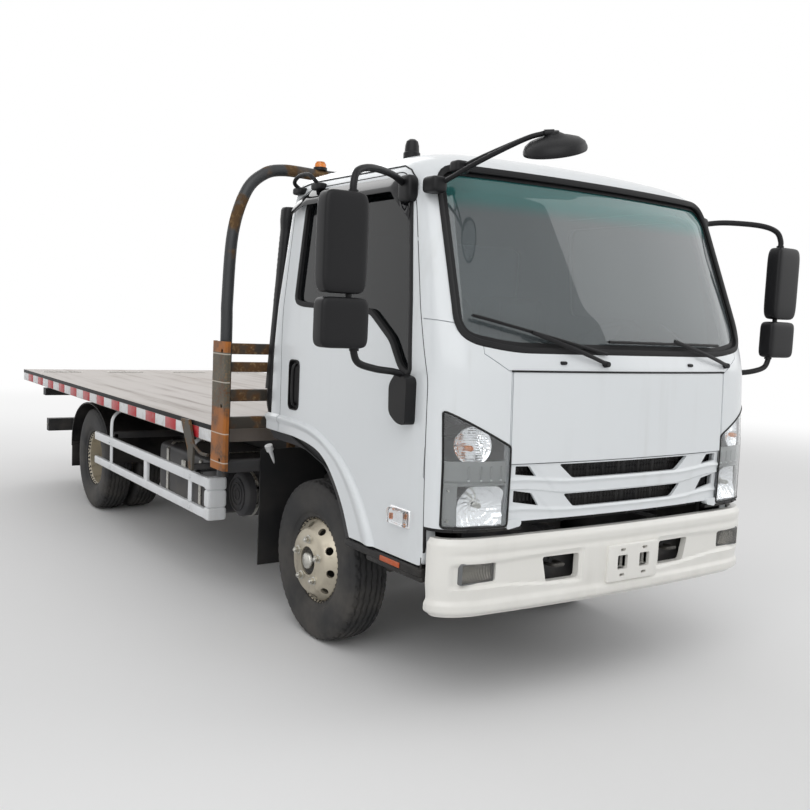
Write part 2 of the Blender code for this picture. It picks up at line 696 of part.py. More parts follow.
def door_outline():
    """The door in side view: front line, roof line, rear line and the arch."""
    rear_top = DOOR_REAR_Y + 0.015
    points = [(DOOR_FRONT_LOW_Y, DOOR_BOTTOM_Z), (-0.978, 1.335), (-0.900, 1.60), (-0.775, 2.02), (-0.735, 2.10),
              (-0.66, 2.150), (0.10, 2.150), (rear_top, 2.10), (rear_top, 1.55), (DOOR_REAR_Y, 1.30),
              (DOOR_REAR_Y, DOOR_BOTTOM_Z)]
    return points


def window_outline():
    corners = [(-0.865, 1.345), (-0.835, 1.61), (-0.735, 2.065), (-0.66, 2.105), (0.08, 2.105), (0.118, 2.07),
               (0.118, 1.625), (0.05, 1.612), (-0.55, 1.59), (-0.72, 1.48), (-0.80, 1.37)]
    return corners


def windscreen_outline():
    return rounded([(-0.845, 1.50), (-0.62, 1.462), (0.62, 1.462), (0.845, 1.50), (0.80, 2.165), (-0.80, 2.165)], 0.07)


def headlamp_outline():
    inner = LID_HALF_WIDTH + LID_GAP
    return [(inner, 0.775), (inner, 1.088), (0.898, 1.222), (0.898, 0.775)]


def mesh_cab():
    """The hollow cab with its windows, doorways, lamp pockets and panel recesses cut."""
    outer = cab_body(0, CAB_BOTTOM_Z)
    flares = [sided(flare_band(), sign) for sign in (-1, 1)]
    skin = union([outer] + flares)
    inner = cab_body(CAB_WALL, CAB_BOTTOM_Z + FLOOR_WALL)
    tunnel_top = CAB_FLOOR_Z + FLOOR_WALL
    inner = cut(inner, [prism(under_outline(FLOOR_WALL), "x", -2, 2),
                        box((-TUNNEL_HALF_WIDTH - FLOOR_WALL, TUNNEL_FRONT_Y - FLOOR_WALL, 0.5),
                            (TUNNEL_HALF_WIDTH + FLOOR_WALL, 0.9, tunnel_top))])
    cutters = [inner, prism(under_outline(), "x", -2, 2),
               box((-TUNNEL_HALF_WIDTH, TUNNEL_FRONT_Y, 0.5), (TUNNEL_HALF_WIDTH, 0.9, CAB_FLOOR_Z)),
               box((-2, -2, 0.2), (2, 2, CAB_BOTTOM_Z)),
               prism(windscreen_outline(), "y", -1.5, -0.70),
               prism(rounded([(-0.60, 1.50), (0.60, 1.50), (0.60, 1.98), (-0.60, 1.98)], 0.06), "y", 0.1, 0.7)]
    for sign in (-1, 1):
        cutters.append(sided(prism(grow(door_outline(), DOOR_GAP), "x", 0.70, 1.2), sign))
        lamp = prism(grow(headlamp_outline(), 0.003), "y", -1.4, -0.98)
        cutters.append(sided(lamp, sign))
    shell = cut(skin, cutters)
    room_x, room_low, room_high = LID_HALF_WIDTH + 0.004, GRILLE_BOTTOM_Z - 0.05, LID_TOP_Z + LID_GAP
    front_room = common(prism([(-room_x, room_low), (room_x, room_low), (room_x, room_high), (-room_x, room_high)],
                              "y", -1.4, -1.0), cab_body(-0.01, 0.55))
    front_room = cut(front_room, [cab_body(PANEL_WALL + 0.001, 0.52)])
    return cut(shell, [front_room])


def flare_band():
    """The raised lip along the wheel arch, on the left side."""
    inner = arch_curve(-0.004) + [(CAB_REAR_Y - 0.004, CAB_FLOOR_Z - 0.004)]
    outer = arch_curve(0.075) + [(CAB_REAR_Y - 0.004, CAB_FLOOR_Z + 0.062)]
    return prism(inner + outer[::-1], "x", CAB_HALF_WIDTH - 0.03, CAB_HALF_WIDTH + 0.010)


def mesh_door():
    """The left door, as thick as the real one, with its window cut."""
    outer = union([cab_body(0, DOOR_BOTTOM_Z), flare_band()])
    slab = cut(outer, [cab_body(DOOR_WALL, DOOR_BOTTOM_Z - 0.05), prism(under_outline(), "x", -2, 2)])
    door = common(slab, prism(door_outline(), "x", 0.60, 1.2))
    return cut(door, [prism(window_outline(), "x", 0.60, 1.2)])


def mesh_door_glass():
    glass = common(cab_body(GLASS_INSET, 1.0), prism(grow(window_outline(), -SEAT_GAP), "x", 0.60, 1.2))
    return cut(glass, [cab_body(GLASS_INSET + GLASS_WALL, 0.9)])


def doors(side, sign):
    door = empty("door_" + side, (sign * HINGE_X, HINGE_Y, 1.3), bodies["cab"])
    bodies["door_" + side] = door
    pin_hole = rod((HINGE_X, HINGE_Y, 0.5), (HINGE_X, HINGE_Y, DOOR_BOTTOM_Z + 0.04), 0.0043, 12)
    leaf = cut(mesh_door(), [pin_hole])
    node("door_panel_" + side, mirrored_mesh(leaf, sign), paints["white"], door)
    node("door_glass_" + side, mirrored_mesh(mesh_door_glass(), sign), paints["glass"], door)
    node("door_mirror_" + side, mirrored_mesh(mesh_mirror(), sign), paints["black"], door)
    step = [box((0.72, -0.975, 0.565), (0.922, -0.50, 0.600)),
            box((0.72, -0.975, 0.590), (0.745, -0.50, CAB_BOTTOM_Z - SEAT_GAP)),
            rod((HINGE_X - 0.01, HINGE_Y + 0.01, 0.575), (HINGE_X - 0.01, HINGE_Y + 0.01, 0.600), 0.02),
            rod((HINGE_X, HINGE_Y, 0.58), (HINGE_X, HINGE_Y, DOOR_BOTTOM_Z + 0.035), 0.004, 12)]
    node("step_" + side, mirrored_mesh(union(step), sign), paints["black"], bodies["cab"])


def mirror_head(out_x, depth, corner, low, high):
    """One housing: a flat box with rounded upright edges."""
    in_x, front, back = MIRROR_OUT_X - MIRROR_WIDTH, MIRROR_Y - 0.045, MIRROR_Y + depth
    return prism(rounded([(in_x, front), (out_x, front), (out_x, back), (in_x, back)], corner, 3), "z", low, high)


def mesh_mirror():
    """Two mirror heads on a bowed tube between two brackets at the door's front edge."""
    parts = [mirror_head(MIRROR_OUT_X, 0.030, 0.025, 1.645, 1.995),
             mirror_head(MIRROR_OUT_X - 0.004, 0.025, 0.020, 1.445, 1.625)]
    stem = [(0.875, -0.68, 2.115), (0.95, -0.76, 2.15), (1.08, -0.85, 2.15), (1.20, -0.93, 2.09),
            (1.24, -0.96, 2.0), (1.25, -0.96, 1.90)]
    stay = [(1.25, -0.95, 1.70), (1.25, -0.95, 1.40), (1.20, -0.955, 1.34), (1.06, -0.955, 1.32),
            (0.955, -0.945, 1.30)]
    parts += [tube(smooth_route(route, 2), MIRROR_TUBE_R, 6) for route in (stem, stay)]
    foot = rounded([(-0.965, 1.19), (-0.86, 1.19), (-0.86, 1.33), (-0.965, 1.345)], 0.02, 3)
    parts.append(prism(foot, "x", 0.9335, 0.985))
    top_foot = rounded([(-0.70, 2.105), (-0.62, 2.105), (-0.62, 2.145), (-0.69, 2.145)], 0.01, 2)
    parts.append(cut(prism(top_foot, "x", 0.84, 0.89), [cab_body(-SEAT_GAP, 1.0)]))
    return union(parts)


def front_mirror():
    """A round mirror on two struts from the top corner of the cab."""
    head = (FRONT_MIRROR_X, FRONT_MIRROR_Y, FRONT_MIRROR_Z)
    disc = [(0.0, 0.020), (0.035, 0.05), (0.055, FRONT_MIRROR_R - 0.007), (0.066, FRONT_MIRROR_R),
            (0.074, FRONT_MIRROR_R - 0.003), (0.074, 0.020)]
    shape = lathe(disc, (0, 0, 0), 12)
    points = [Vector((head[0] + p.y, head[1] + p.z, head[2] + 0.03 - p.x)) for p in shape[0]]
    parts = [(points, shape[1]), rod(head, (head[0], head[1], head[2] + 0.07), 0.021)]
    knee = (head[0] - 0.03, head[1] + 0.02, head[2] + 0.065)
    for foot in ((-0.835, -0.86, 2.085), (-0.72, -0.93, 2.17)):
        parts.append(tube([foot, knee], 0.009, 6))
    parts.append(rod((head[0], head[1], head[2] + 0.065), knee, 0.012))
    pad = cut(box((-0.88, -0.93, 2.06), (-0.68, -0.82, 2.19)), [cab_body(-SEAT_GAP, 1.0)])
    node("front_mirror", union([pad] + parts), paints["black"], bodies["cab"])


def cab():
    bodies["cab"] = empty("cab", (0, PIVOT_Y, PIVOT_Z), bodies["chassis"])
    shell = mesh_cab()
    lugs = []
    for sign in (-1, 1):
        lug = [(PIVOT_Y - 0.020, PIVOT_Z - 0.022), (PIVOT_Y + 0.03, PIVOT_Z - 0.022), (PIVOT_Y + 0.16, CAB_BOTTOM_Z + 0.015),
               (PIVOT_Y, CAB_BOTTOM_Z + 0.015), (PIVOT_Y + 0.026, PIVOT_Z + 0.062), (PIVOT_Y - 0.020, PIVOT_Z + 0.011)]
        lugs.append(sided(prism(lug, "x", RAIL_OUT_X + 0.02, RAIL_OUT_X + 0.035), sign))
    shell = cut(union([shell] + lugs), [rod((-1, PIVOT_Y, PIVOT_Z), (1, PIVOT_Y, PIVOT_Z), PIVOT_R + PIN_GAP, BORE_STEPS)])
    node("cab_shell", shell, paints["white"], bodies["cab"])

    glass = common(cab_body(GLASS_INSET, 1.2), prism(grow(windscreen_outline(), -SEAT_GAP), "y", -1.5, -0.70))
    node("windscreen", cut(glass, [cab_body(GLASS_INSET + GLASS_WALL, 1.1)]), paints["glass"], bodies["cab"])
    pane = grow(rounded([(-0.60, 1.50), (0.60, 1.50), (0.60, 1.98), (-0.60, 1.98)], 0.06), -SEAT_GAP)
    glass = common(cab_body(GLASS_INSET, 1.2), prism(pane, "y", 0.1, 0.7))
    node("rear_window", cut(glass, [cab_body(GLASS_INSET + GLASS_WALL, 1.1)]), paints["glass"], bodies["cab"])
    front_panels()
    both_sides(doors)
    front_mirror()
    cab_inside()


def front_panel_slice(outline):
    panel = common(prism(outline, "y", -1.4, -1.0), cab_body(0, 0.6))
    return cut(panel, [cab_body(PANEL_WALL, 0.55)])


def front_panels():
    lid = empty("front_lid", (0, LID_HINGE_Y, LID_TOP_Z), bodies["cab"])
    bodies["front_lid"] = lid
    w = LID_HALF_WIDTH
    panel = front_panel_slice([(-w, LID_BOTTOM_Z), (w, LID_BOTTOM_Z), (w, LID_TOP_Z), (-w, LID_TOP_Z)])
    node("service_lid", panel, paints["white"], lid)
    top = LID_BOTTOM_Z - LID_GAP
    grille = front_panel_slice([(-w, GRILLE_BOTTOM_Z), (w, GRILLE_BOTTOM_Z), (w, top), (-w, top)])
    slots = [[(-0.40, 1.008), (0.40, 1.008), (0.345, 0.952), (-0.345, 0.952)],
             [(-0.38, 0.905), (0.38, 0.905), (0.325, 0.850), (-0.325, 0.850)]]
    for s in (-1, 1):
        slots.append([(s * 0.625, 0.992), (s * 0.56, 1.0), (s * 0.535, 0.962), (s * 0.625, 0.955)])
        slots.append([(s * 0.625, 0.905), (s * 0.565, 0.908), (s * 0.535, 0.862), (s * 0.625, 0.858)])
    grille = cut(grille, [prism(slot, "y", -1.5, -0.9) for slot in slots])
    node("grille", grille, paints["white"], bodies["cab"])

    def lamp(side, sign):
        body = common(prism(headlamp_outline(), "y", -1.4, -1.0), cab_body(0, 0.6))
        body = cut(body, [cab_body(CAB_WALL - SEAT_GAP, 0.55)])
        node("headlamp_" + side, mirrored_mesh(body, sign), paints["lamp"], bodies["cab"])
    both_sides(lamp)


def cab_inside():
    """Dashboard, seats and steering wheel, seen through the glass."""
    floor = CAB_BOTTOM_Z + FLOOR_WALL
    dash = [(-1.15, 1.20), (-1.15, 1.40), (-0.98, 1.44), (-0.72, 1.42), (-0.66, 1.34), (-0.68, 1.20), (-0.85, 1.10)]
    seat_z = CAB_FLOOR_Z + FLOOR_WALL + SEAT_GAP
    back = [(-0.42, seat_z), (-0.42, seat_z + 0.16), (0.06, seat_z + 0.14), (0.14, seat_z + 0.72), (0.24, seat_z + 0.72),
            (0.24, seat_z)]
    seats = [prism(back, "x", 0.22, 0.74), prism(back, "x", -0.74, 0.20),
             box((-0.70, -0.38, seat_z), (0.70, 0.20, seat_z + 0.10))]
    node("seats", union(seats), paints["seat"], bodies["cab"])
    place = Vector((0.46, -0.52, 1.46))
    wheel = empty("steering", place, bodies["cab"])
    bodies["steering"] = wheel
    tilt = Matrix.Rotation(math.radians(-38), 4, "X")
    ring = []
    for k in range(16):
        angle = 2 * math.pi * k / 16
        ring.append(tilt @ Vector((0.205 * math.cos(angle), 0.205 * math.sin(angle), 0)) + place)
    rings = []
    for k in range(16):
        centre = ring[k]
        out = (centre - place).normalized()
        up = (tilt @ Vector((0, 0, 1)))
        rings.append([centre + 0.014 * (math.cos(2 * math.pi * j / 6) * out + math.sin(2 * math.pi * j / 6) * up)
                      for j in range(6)])
    points = [p for r in rings for p in r]
    faces = []
    for k in range(16):
        a, b = k * 6, ((k + 1) % 16) * 6
        for j in range(6):
            i = (j + 1) % 6
            faces.append((a + j, b + j, b + i, a + i))
    parts = [(points, faces)]
    for angle in (math.radians(0), math.radians(180), math.radians(270)):
        tip = tilt @ Vector((0.20 * math.cos(angle), 0.20 * math.sin(angle), 0)) + place
        parts.append(rod(place, tip, 0.010, 8))
    axis = tilt @ Vector((0, 0, 1))
    parts.append(rod(place - 0.05 * axis, place + 0.02 * axis, 0.035))
    node("steering_wheel", union(parts), paints["dark"], wheel)
    column = rod(place - (0.05 + SEAT_GAP) * axis, place - 0.30 * axis, 0.03)
    top = common(prism(dash, "x", -0.83, 0.83), cab_body(CAB_WALL + SEAT_GAP, CAB_BOTTOM_Z))
    node("dashboard", union([top, column]), paints["dark"], bodies["cab"])


def bumper():
    """A shell that follows the cab's front and wraps round the corners."""
    levels = [(BUMPER_BOTTOM_Z, 0.035), (0.475, 0.004), (0.50, 0.0), (0.69, 0.0), (BUMPER_TOP_Z, 0.014)]
    rings = []
    for z, inset in levels:
        outer = bumper_path(inset)
        inner = bumper_path(inset + BUMPER_WALL)
        rings.append([(x, y, z) for x, y in outer + inner[::-1]])
    shell = loft(rings)
    cutters = []
    for s in (-1, 1):
        mouth = [(s * 0.27, 0.525), (s * 0.48, 0.525), (s * 0.48, 0.640), (s * 0.27, 0.640)]
        cutters.append(prism(rounded(mouth, 0.012, 2), "y", -1.3, -1.0))
        cutters.append(prism(rounded(fog_outline(s), 0.010, 2), "y", -1.3, -0.95))
        cutters.append(box((s * 0.075 - 0.022, -1.3, 0.555), (s * 0.075 + 0.022, -1.0, 0.615)))
    shell = cut(shell, cutters)
    stays = []
    for s in (-1, 1):
        stays.append(box((s * 0.315 - 0.02, -1.165, 0.49), (s * 0.315 + 0.02, -0.98, RAIL_BOTTOM_Z - SEAT_GAP)))
    node("front_bumper", union([shell] + stays), paints["cream"], bodies["chassis"])

    def fog(side, sign):
        outline = grow(rounded(fog_outline(1), 0.010, 2), -SEAT_GAP)
        lamp = prism(outline, "y", -1.118, -1.06)
        node("fog_lamp_" + side, sided(lamp, sign), paints["lamp"], bodies["chassis"])
    both_sides(fog)


def fog_outline(sign):
    return [(sign * 0.685, 0.552), (sign * 0.845, 0.552), (sign * 0.845, 0.642), (sign * 0.685, 0.642)]


def bumper_path(inset):
    """Plan line of the bumper from its right end to its left end, moved inwards."""
    half = CAB_HALF_WIDTH - inset
    front = -1.18 + inset
    side = [(0.0, front), (0.35, front + 0.006), (0.66, front + 0.028)]
    start, middle, end = Vector((0.66, front + 0.028)), Vector((half - 0.01, front + 0.045)), Vector((half, -1.075))
    for k in range(1, 5):
        t = k / 4
        side.append(tuple((1 - t) ** 2 * start + 2 * t * (1 - t) * middle + t * t * end))
    side.append((half, BUMPER_END_Y))
    return [(-x, y) for x, y in reversed(side[1:])] + side


def headboard():
    """Posts and arch tube behind the cab, with slats and folded guard plates."""
    bottom = 0.72
    side = [(POST_X, POST_Y, bottom), (POST_X, POST_Y, 1.45), (POST_X, POST_Y, 1.62), (1.065, POST_Y, 1.95),
            (1.0, POST_Y, 2.16),
            (0.91, POST_Y, 2.255), (0.80, POST_Y, ARCH_TOP_Z), (0.60, POST_Y, ARCH_TOP_Z)]
    route = smooth_route(side, 2)
    other = [Vector((-p.x, p.y, p.z)) for p in reversed(route)]
    parts = [tube(route + other, POST_TUBE_R, 8)]
    reach = POST_X + 0.01
    for low, high in ((0.965, 1.025), (1.105, 1.165), (1.255, 1.305), (1.345, HEADBOARD_TOP_Z)):
        parts.append(box((-reach, POST_Y - 0.02, low), (reach, POST_Y + 0.02, high)))
    parts.append(box((-reach, POST_Y - 0.035, 0.74), (reach, POST_Y + 0.035, 0.80)))
    for x in (-0.70, -0.33, 0.33, 0.70):
        parts.append(box((x - 0.02, POST_Y - 0.015, 0.76), (x + 0.02, POST_Y + 0.015, HEADBOARD_TOP_Z - 0.01)))
    for s in (-1, 1):
        parts.append(box((s * 0.315 - 0.03, POST_Y - 0.035, RAIL_TOP_Z + SEAT_GAP),
                         (s * 0.315 + 0.03, POST_Y + 0.035, 0.78)))
    node("headboard", union(parts), paints["rust"], bodies["chassis"])

    def guard(side, sign):
        outline = []
        folds = 5
        for k in range(folds * 2 + 1):
            z = 0.76 + (1.41 - 0.76) * k / (folds * 2)
            outline.append((POST_X + POST_TUBE_R + SEAT_GAP + (0.004 if k % 2 else 0.0), z))
        inner = [(x, z) for x, z in outline]
        outer = [(x + 0.006, z) for x, z in reversed(outline)]
        plate = prism(inner + outer, "y", POST_Y - 0.12, POST_Y + 0.09)
        node("post_guard_" + side, sided(plate, sign), paints["orange"], bodies["chassis"])
    both_sides(guard)
    lamp = rod((-0.58, POST_Y, ARCH_TOP_Z + POST_TUBE_R + SEAT_GAP), (-0.58, POST_Y, ARCH_TOP_Z + 0.075), 0.035)
    node("marker_lamp", lamp, paints["amber"], bodies["chassis"])


def under_parts():
    """Tank, battery box, side guards, mudguards and the bar across the rear."""
    x = RAIL_OUT_X + SEAT_GAP
    tank = rounded([(x, 0.36), (0.86, 0.36), (0.86, 0.70), (x, 0.70)], 0.05)
    node("fuel_tank", flip(prism(tank, "y", 1.15, 2.15)), paints["dark"], bodies["chassis"])
    battery = rounded([(x, 0.40), (0.84, 0.40), (0.84, 0.70), (x, 0.70)], 0.02)
    node("battery_box", prism(battery, "y", 1.20, 1.95), paints["dark"], bodies["chassis"])

    def side_guard(side, sign):
        out = 1.055
        parts = [box((out - 0.03, 0.80, 0.605), (out, 2.87, 0.662)), box((out - 0.03, 0.80, 0.435), (out, 2.87, 0.486))]
        for y in (1.03, 2.50):
            parts.append(box((out - 0.032, y, 0.44), (out - 0.024, y + 0.05, 0.66)))
            parts.append(box((x, y + 0.01, 0.655), (out - 0.025, y + 0.04, 0.700)))
            parts.append(box((out - 0.06, y + 0.01, 0.64), (out - 0.024, y + 0.04, 0.69)))
        parts.append(box((out - 0.032, 1.78, 0.44), (out - 0.024, 1.83, 0.66)))
        parts.append(box((out - 0.10, 0.80, 0.44), (out - 0.001, 0.83, 0.655)))
        node("side_guard_" + side, mirrored_mesh(union(parts), sign), paints["white"], bodies["chassis"])
    both_sides(side_guard)

    def rear_mudguard(side, sign):
        outer, inner = [], []
        for k in range(11):
            angle = math.radians(180 * k / 10)
            outer.append((WHEELBASE + 0.50 * math.cos(angle), 0.42 + 0.395 * math.sin(angle) ** 0.8))
            inner.append((WHEELBASE + 0.492 * math.cos(angle), 0.42 + 0.387 * math.sin(angle) ** 0.8))
        guard = prism(outer + inner[::-1], "x", 0.47, 0.95)
        flap = box((0.50, WHEELBASE + 0.493, 0.25), (0.95, WHEELBASE + 0.499, 0.45))
        arm = box((x, WHEELBASE + 0.44, 0.56), (0.52, WHEELBASE + 0.482, 0.59))
        shape = mirrored_mesh(union([guard, flap, arm]), sign)
        node("rear_mudguard_" + side, shape, paints["black"], bodies["chassis"])
    both_sides(rear_mudguard)

    def front_mudflap(side, sign):
        flap = box((0.52, 0.485, 0.25), (0.90, 0.493, 0.86))
        arm = box((x, 0.487, 0.62), (0.54, 0.52, 0.66))
        node("front_mudflap_" + side, mirrored_mesh(union([flap, arm]), sign), paints["black"], bodies["chassis"])
    both_sides(front_mudflap)


def tilt_frame():
    """The tilting frame on the rails, its hinge, cylinder brackets and lamp bar."""
    tilt = empty("tilt_frame_body", (0, TILT_PIVOT_Y, TILT_PIVOT_Z), bodies["chassis"])
    bodies["tilt"] = tilt
    parts = []
    low, high = TILT_BEAM_BOTTOM_Z, TILT_BEAM_TOP_Z
    for sign in (-1, 1):
        outline = [(TILT_FRONT_Y, low), (TILT_PIVOT_Y - 0.03, low), (TILT_REAR_Y, low + 0.034), (TILT_REAR_Y, high),
                   (TILT_FRONT_Y, high)]
        parts.append(sided(prism(outline, "x", RAIL_OUT_X - RAIL_WIDTH, RAIL_OUT_X), sign))
        ear = [(TILT_PIVOT_Y - 0.07, high - 0.01), (TILT_PIVOT_Y + 0.06, high - 0.01), (TILT_PIVOT_Y + 0.04, TILT_PIVOT_Z - 0.04),
               (TILT_PIVOT_Y - 0.04, TILT_PIVOT_Z - 0.04)]
        parts.append(sided(prism(ear, "x", RAIL_OUT_X + 0.016, RAIL_OUT_X + 0.032), sign))
        link = box((RAIL_OUT_X - 0.02, TILT_PIVOT_Y - 0.06, high - 0.05),
                   (RAIL_OUT_X + 0.03, TILT_PIVOT_Y + 0.05, high - 0.01))
        parts.append(sided(link, sign))
    for y in (TILT_FRONT_Y + 0.03, CYLINDER_EYE_Y - 0.12, 2.9, TILT_REAR_Y - 0.07):
        parts.append(box((-RAIL_OUT_X + 0.02, y, low + 0.02), (RAIL_OUT_X - 0.02, y + 0.06, low + 0.045)))
    for x in (-CYLINDER_X, CYLINDER_X):
        for s in (-1, 1):
            parts.append(box((x + s * 0.035 - 0.004, CYLINDER_EYE_Y - 0.10, low + 0.005),
                             (x + s * 0.035 + 0.004, CYLINDER_EYE_Y + 0.035, low + 0.055)))
    bore = rod((-1, TILT_PIVOT_Y, TILT_PIVOT_Z), (1, TILT_PIVOT_Y, TILT_PIVOT_Z), TILT_PIN_R + PIN_GAP, BORE_STEPS)
    frame = cut(union(parts), [bore])
    node("tilt_frame", frame, paints["frame"], tilt)
    lamps = [box((-0.95, 4.72, 0.748), (0.95, 4.80, 0.812))]
    for s in (-1, 1):
        lamps.append(box((s * 0.315 - 0.02, TILT_REAR_Y + SEAT_GAP, 0.76), (s * 0.315 + 0.02, 4.74, 0.80)))
    node("tail_lamp_bar", union(lamps), paints["dark"], tilt)


def bed():
    """The deck with its edge rails, cross-members and the beams that slide on the frame."""
    body = empty("bed_body", (0, (BED_FRONT_Y + REAR_END_Y) / 2, BED_TOP_Z), bodies["tilt"])
    bodies["bed"] = body
    w, top = BED_HALF_WIDTH, BED_TOP_Z
    under = top - BED_PLATE
    low = top - BED_EDGE_DEPTH
    parts = [box((-w, BED_FRONT_Y, under), (w, REAR_END_Y, top))]
    for sign in (-1, 1):
        parts.append(sided(box((w - BED_EDGE_WALL, BED_FRONT_Y, low), (w, REAR_END_Y, under + 0.002)), sign))
        beam = box((RAIL_OUT_X - RAIL_WIDTH + 0.01, BED_FRONT_Y, BED_BEAM_BOTTOM_Z),
                   (RAIL_OUT_X - 0.01, REAR_END_Y - TAIL_CLEAR, under + 0.002))
        parts.append(sided(beam, sign))
    parts.append(box((-w, BED_FRONT_Y, low), (w, BED_FRONT_Y + 0.05, under + 0.002)))
    parts.append(box((-w, REAR_END_Y - 0.12, low), (w, REAR_END_Y, under + 0.002)))
    first, last = BED_FRONT_Y + 0.4, REAR_END_Y - 0.45
    for k in range(CROSS_SILLS):
        y = first + (last - first) * k / (CROSS_SILLS - 1)
        parts.append(box((-w + 0.01, y - 0.025, low + 0.01), (w - 0.01, y + 0.025, under + 0.002)))
    node("bed", union(parts), paints["deck"], body)


def cylinders(side, sign):
    """A tilt cylinder: barrel on the frame's pin, rod on a slide in the barrel."""
    x = sign * CYLINDER_X
    foot = Vector((x, CYLINDER_FOOT_Y, CYLINDER_FOOT_Z))
    eye = Vector((x, CYLINDER_EYE_Y, CYLINDER_EYE_Z))
    along = (eye - foot).normalized()
    length = (eye - foot).length
    barrel = empty("barrel_" + side, foot, bodies["chassis"])
    parts = [rod(foot + along * 0.06, foot + along * (length - 0.10), BARREL_R, 12),
             rod(foot + along * 0.01, foot + along * 0.08, ROD_R, 12),
             rod(foot - Vector((0.022, 0, 0)), foot + Vector((0.022, 0, 0)), 0.035, 12)]
    body = cut(union(parts), [rod(foot - Vector((0.1, 0, 0)), foot + Vector((0.1, 0, 0)), 0.0155, 16),
                              rod(foot + along * 0.12, eye, ROD_R + RUN_GAP, 12)])
    node("tilt_barrel_" + side, body, paints["dark"], barrel)
    slide = empty("rod_" + side, eye, barrel)
    stem = [rod(foot + along * 0.62, eye, ROD_R, 12), rod(eye - Vector((0.024, 0, 0)), eye + Vector((0.024, 0, 0)), 0.032, 12)]
    stem = cut(union(stem), [rod(eye - Vector((0.1, 0, 0)), eye + Vector((0.1, 0, 0)), 0.0155, 16)])
    node("tilt_rod_" + side, stem, paints["chrome"], slide)


def tie_rod():
    """The rod between the steering arms, each end on a pin below its arm."""
    z = TYRE_R - EYE_HALF - RUN_GAP - FORK_ARM - SEAT_GAP
    body = empty("tie_rod_body", (KINGPIN_X, STEER_ARM_Y, z), bpy.data.objects["knuckle_left"])
    parts = [rod((-KINGPIN_X, STEER_ARM_Y, z - 0.016), (KINGPIN_X, STEER_ARM_Y, z - 0.016), 0.013, 8)]
    for s in (-1, 1):
        parts.append(rod((s * KINGPIN_X, STEER_ARM_Y, z - 0.032), (s * KINGPIN_X, STEER_ARM_Y, z), 0.022, 12))
    node("tie_rod", union(parts), paints["iron"], body)


bodies = {}
paints = {}


def main():
    clear_scene()
    paints.update({
        "white": material("white_paint", (0.78, 0.80, 0.82), 0.3),
        "cream": material("bumper_white", (0.82, 0.80, 0.76), 0.4),
        "glass": material("glass", (0.30, 0.36, 0.37), 0.05),
        "black": material("black_plastic", (0.02, 0.02, 0.022), 0.5),
        "dark": material("dark_trim", (0.05, 0.05, 0.055), 0.6),
        "seat": material("seat_fabric", (0.12, 0.12, 0.13), 0.9),
        "rubber": material("rubber", (0.03, 0.03, 0.03), 0.85),
        "rim": material("wheel_silver", (0.55, 0.51, 0.43), 0.35, 0.6),
        "iron": material("cast_iron", (0.08, 0.08, 0.085), 0.6, 0.5),
        "frame": material("frame_black", (0.035, 0.035, 0.04), 0.55),
        "deck": material("deck_paint", (0.55, 0.53, 0.51), 0.6),
        "rust": material("rusty_brown", (0.16, 0.10, 0.05), 0.7),
        "orange": material("guard_orange", (0.45, 0.20, 0.03), 0.6),
        "amber": material("amber_lens", (0.8, 0.3, 0.02), 0.2),
        "lamp": material("lamp_glass", (0.6, 0.6, 0.6), 0.1),
        "chrome": material("chrome", (0.8, 0.8, 0.8), 0.1, 1.0),
    })
    bodies["chassis"] = empty("truck", (0, ORIGIN_SHIFT_Y, 0))
    both_sides(front_wheel)
    both_sides(rear_wheels)
    tie_rod()
    frame_rails()
    axles()
    drive_line()
    cab()
    bumper()
    headboard()
    under_parts()
    tilt_frame()
    bed()
    both_sides(cylinders)


main()
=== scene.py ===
import math

import bmesh
import bpy
import numpy as np
from mathutils import Matrix, Vector


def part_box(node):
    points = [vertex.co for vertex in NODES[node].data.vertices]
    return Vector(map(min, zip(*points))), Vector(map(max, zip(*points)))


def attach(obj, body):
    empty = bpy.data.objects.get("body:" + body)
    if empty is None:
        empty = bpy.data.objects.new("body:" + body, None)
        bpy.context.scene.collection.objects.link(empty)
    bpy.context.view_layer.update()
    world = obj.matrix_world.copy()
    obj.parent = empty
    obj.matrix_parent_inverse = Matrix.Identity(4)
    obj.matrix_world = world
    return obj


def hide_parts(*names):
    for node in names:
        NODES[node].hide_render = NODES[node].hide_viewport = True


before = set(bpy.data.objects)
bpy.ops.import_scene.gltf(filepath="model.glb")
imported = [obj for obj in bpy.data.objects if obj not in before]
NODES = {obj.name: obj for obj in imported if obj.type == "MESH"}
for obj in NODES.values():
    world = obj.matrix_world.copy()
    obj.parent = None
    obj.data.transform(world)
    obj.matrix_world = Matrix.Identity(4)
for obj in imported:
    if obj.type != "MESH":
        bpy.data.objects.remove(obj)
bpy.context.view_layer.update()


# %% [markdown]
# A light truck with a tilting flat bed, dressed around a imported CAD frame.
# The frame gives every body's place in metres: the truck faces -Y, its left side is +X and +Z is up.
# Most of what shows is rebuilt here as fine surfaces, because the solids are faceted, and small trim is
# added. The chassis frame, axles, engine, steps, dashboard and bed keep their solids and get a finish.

FRONT_AXLE_Y = (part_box("tyre_front_left")[0].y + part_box("tyre_front_left")[1].y) / 2


# %% [markdown]
# A surface with two parameters is a grid of points. Quads join neighbours, and a grid that closes on
# itself joins its last row or column to its first. One helper turns such an array into a mesh in one go,
# which is quick even for a tyre with tens of thousands of points.

# %% Grids to meshes
def grid_quads(rows, cols, close_rows=False, close_cols=False):
    """Index quads of a rows by cols grid, wrapped where it closes on itself."""
    r = np.arange(rows if close_rows else rows - 1)[:, None]
    c = np.arange(cols if close_cols else cols - 1)[None, :]
    r2, c2 = (r + 1) % rows, (c + 1) % cols
    corners = [r * cols + c, r * cols + c2, r2 * cols + c2, r2 * cols + c]
    return np.stack(corners, -1).reshape(-1, 4)


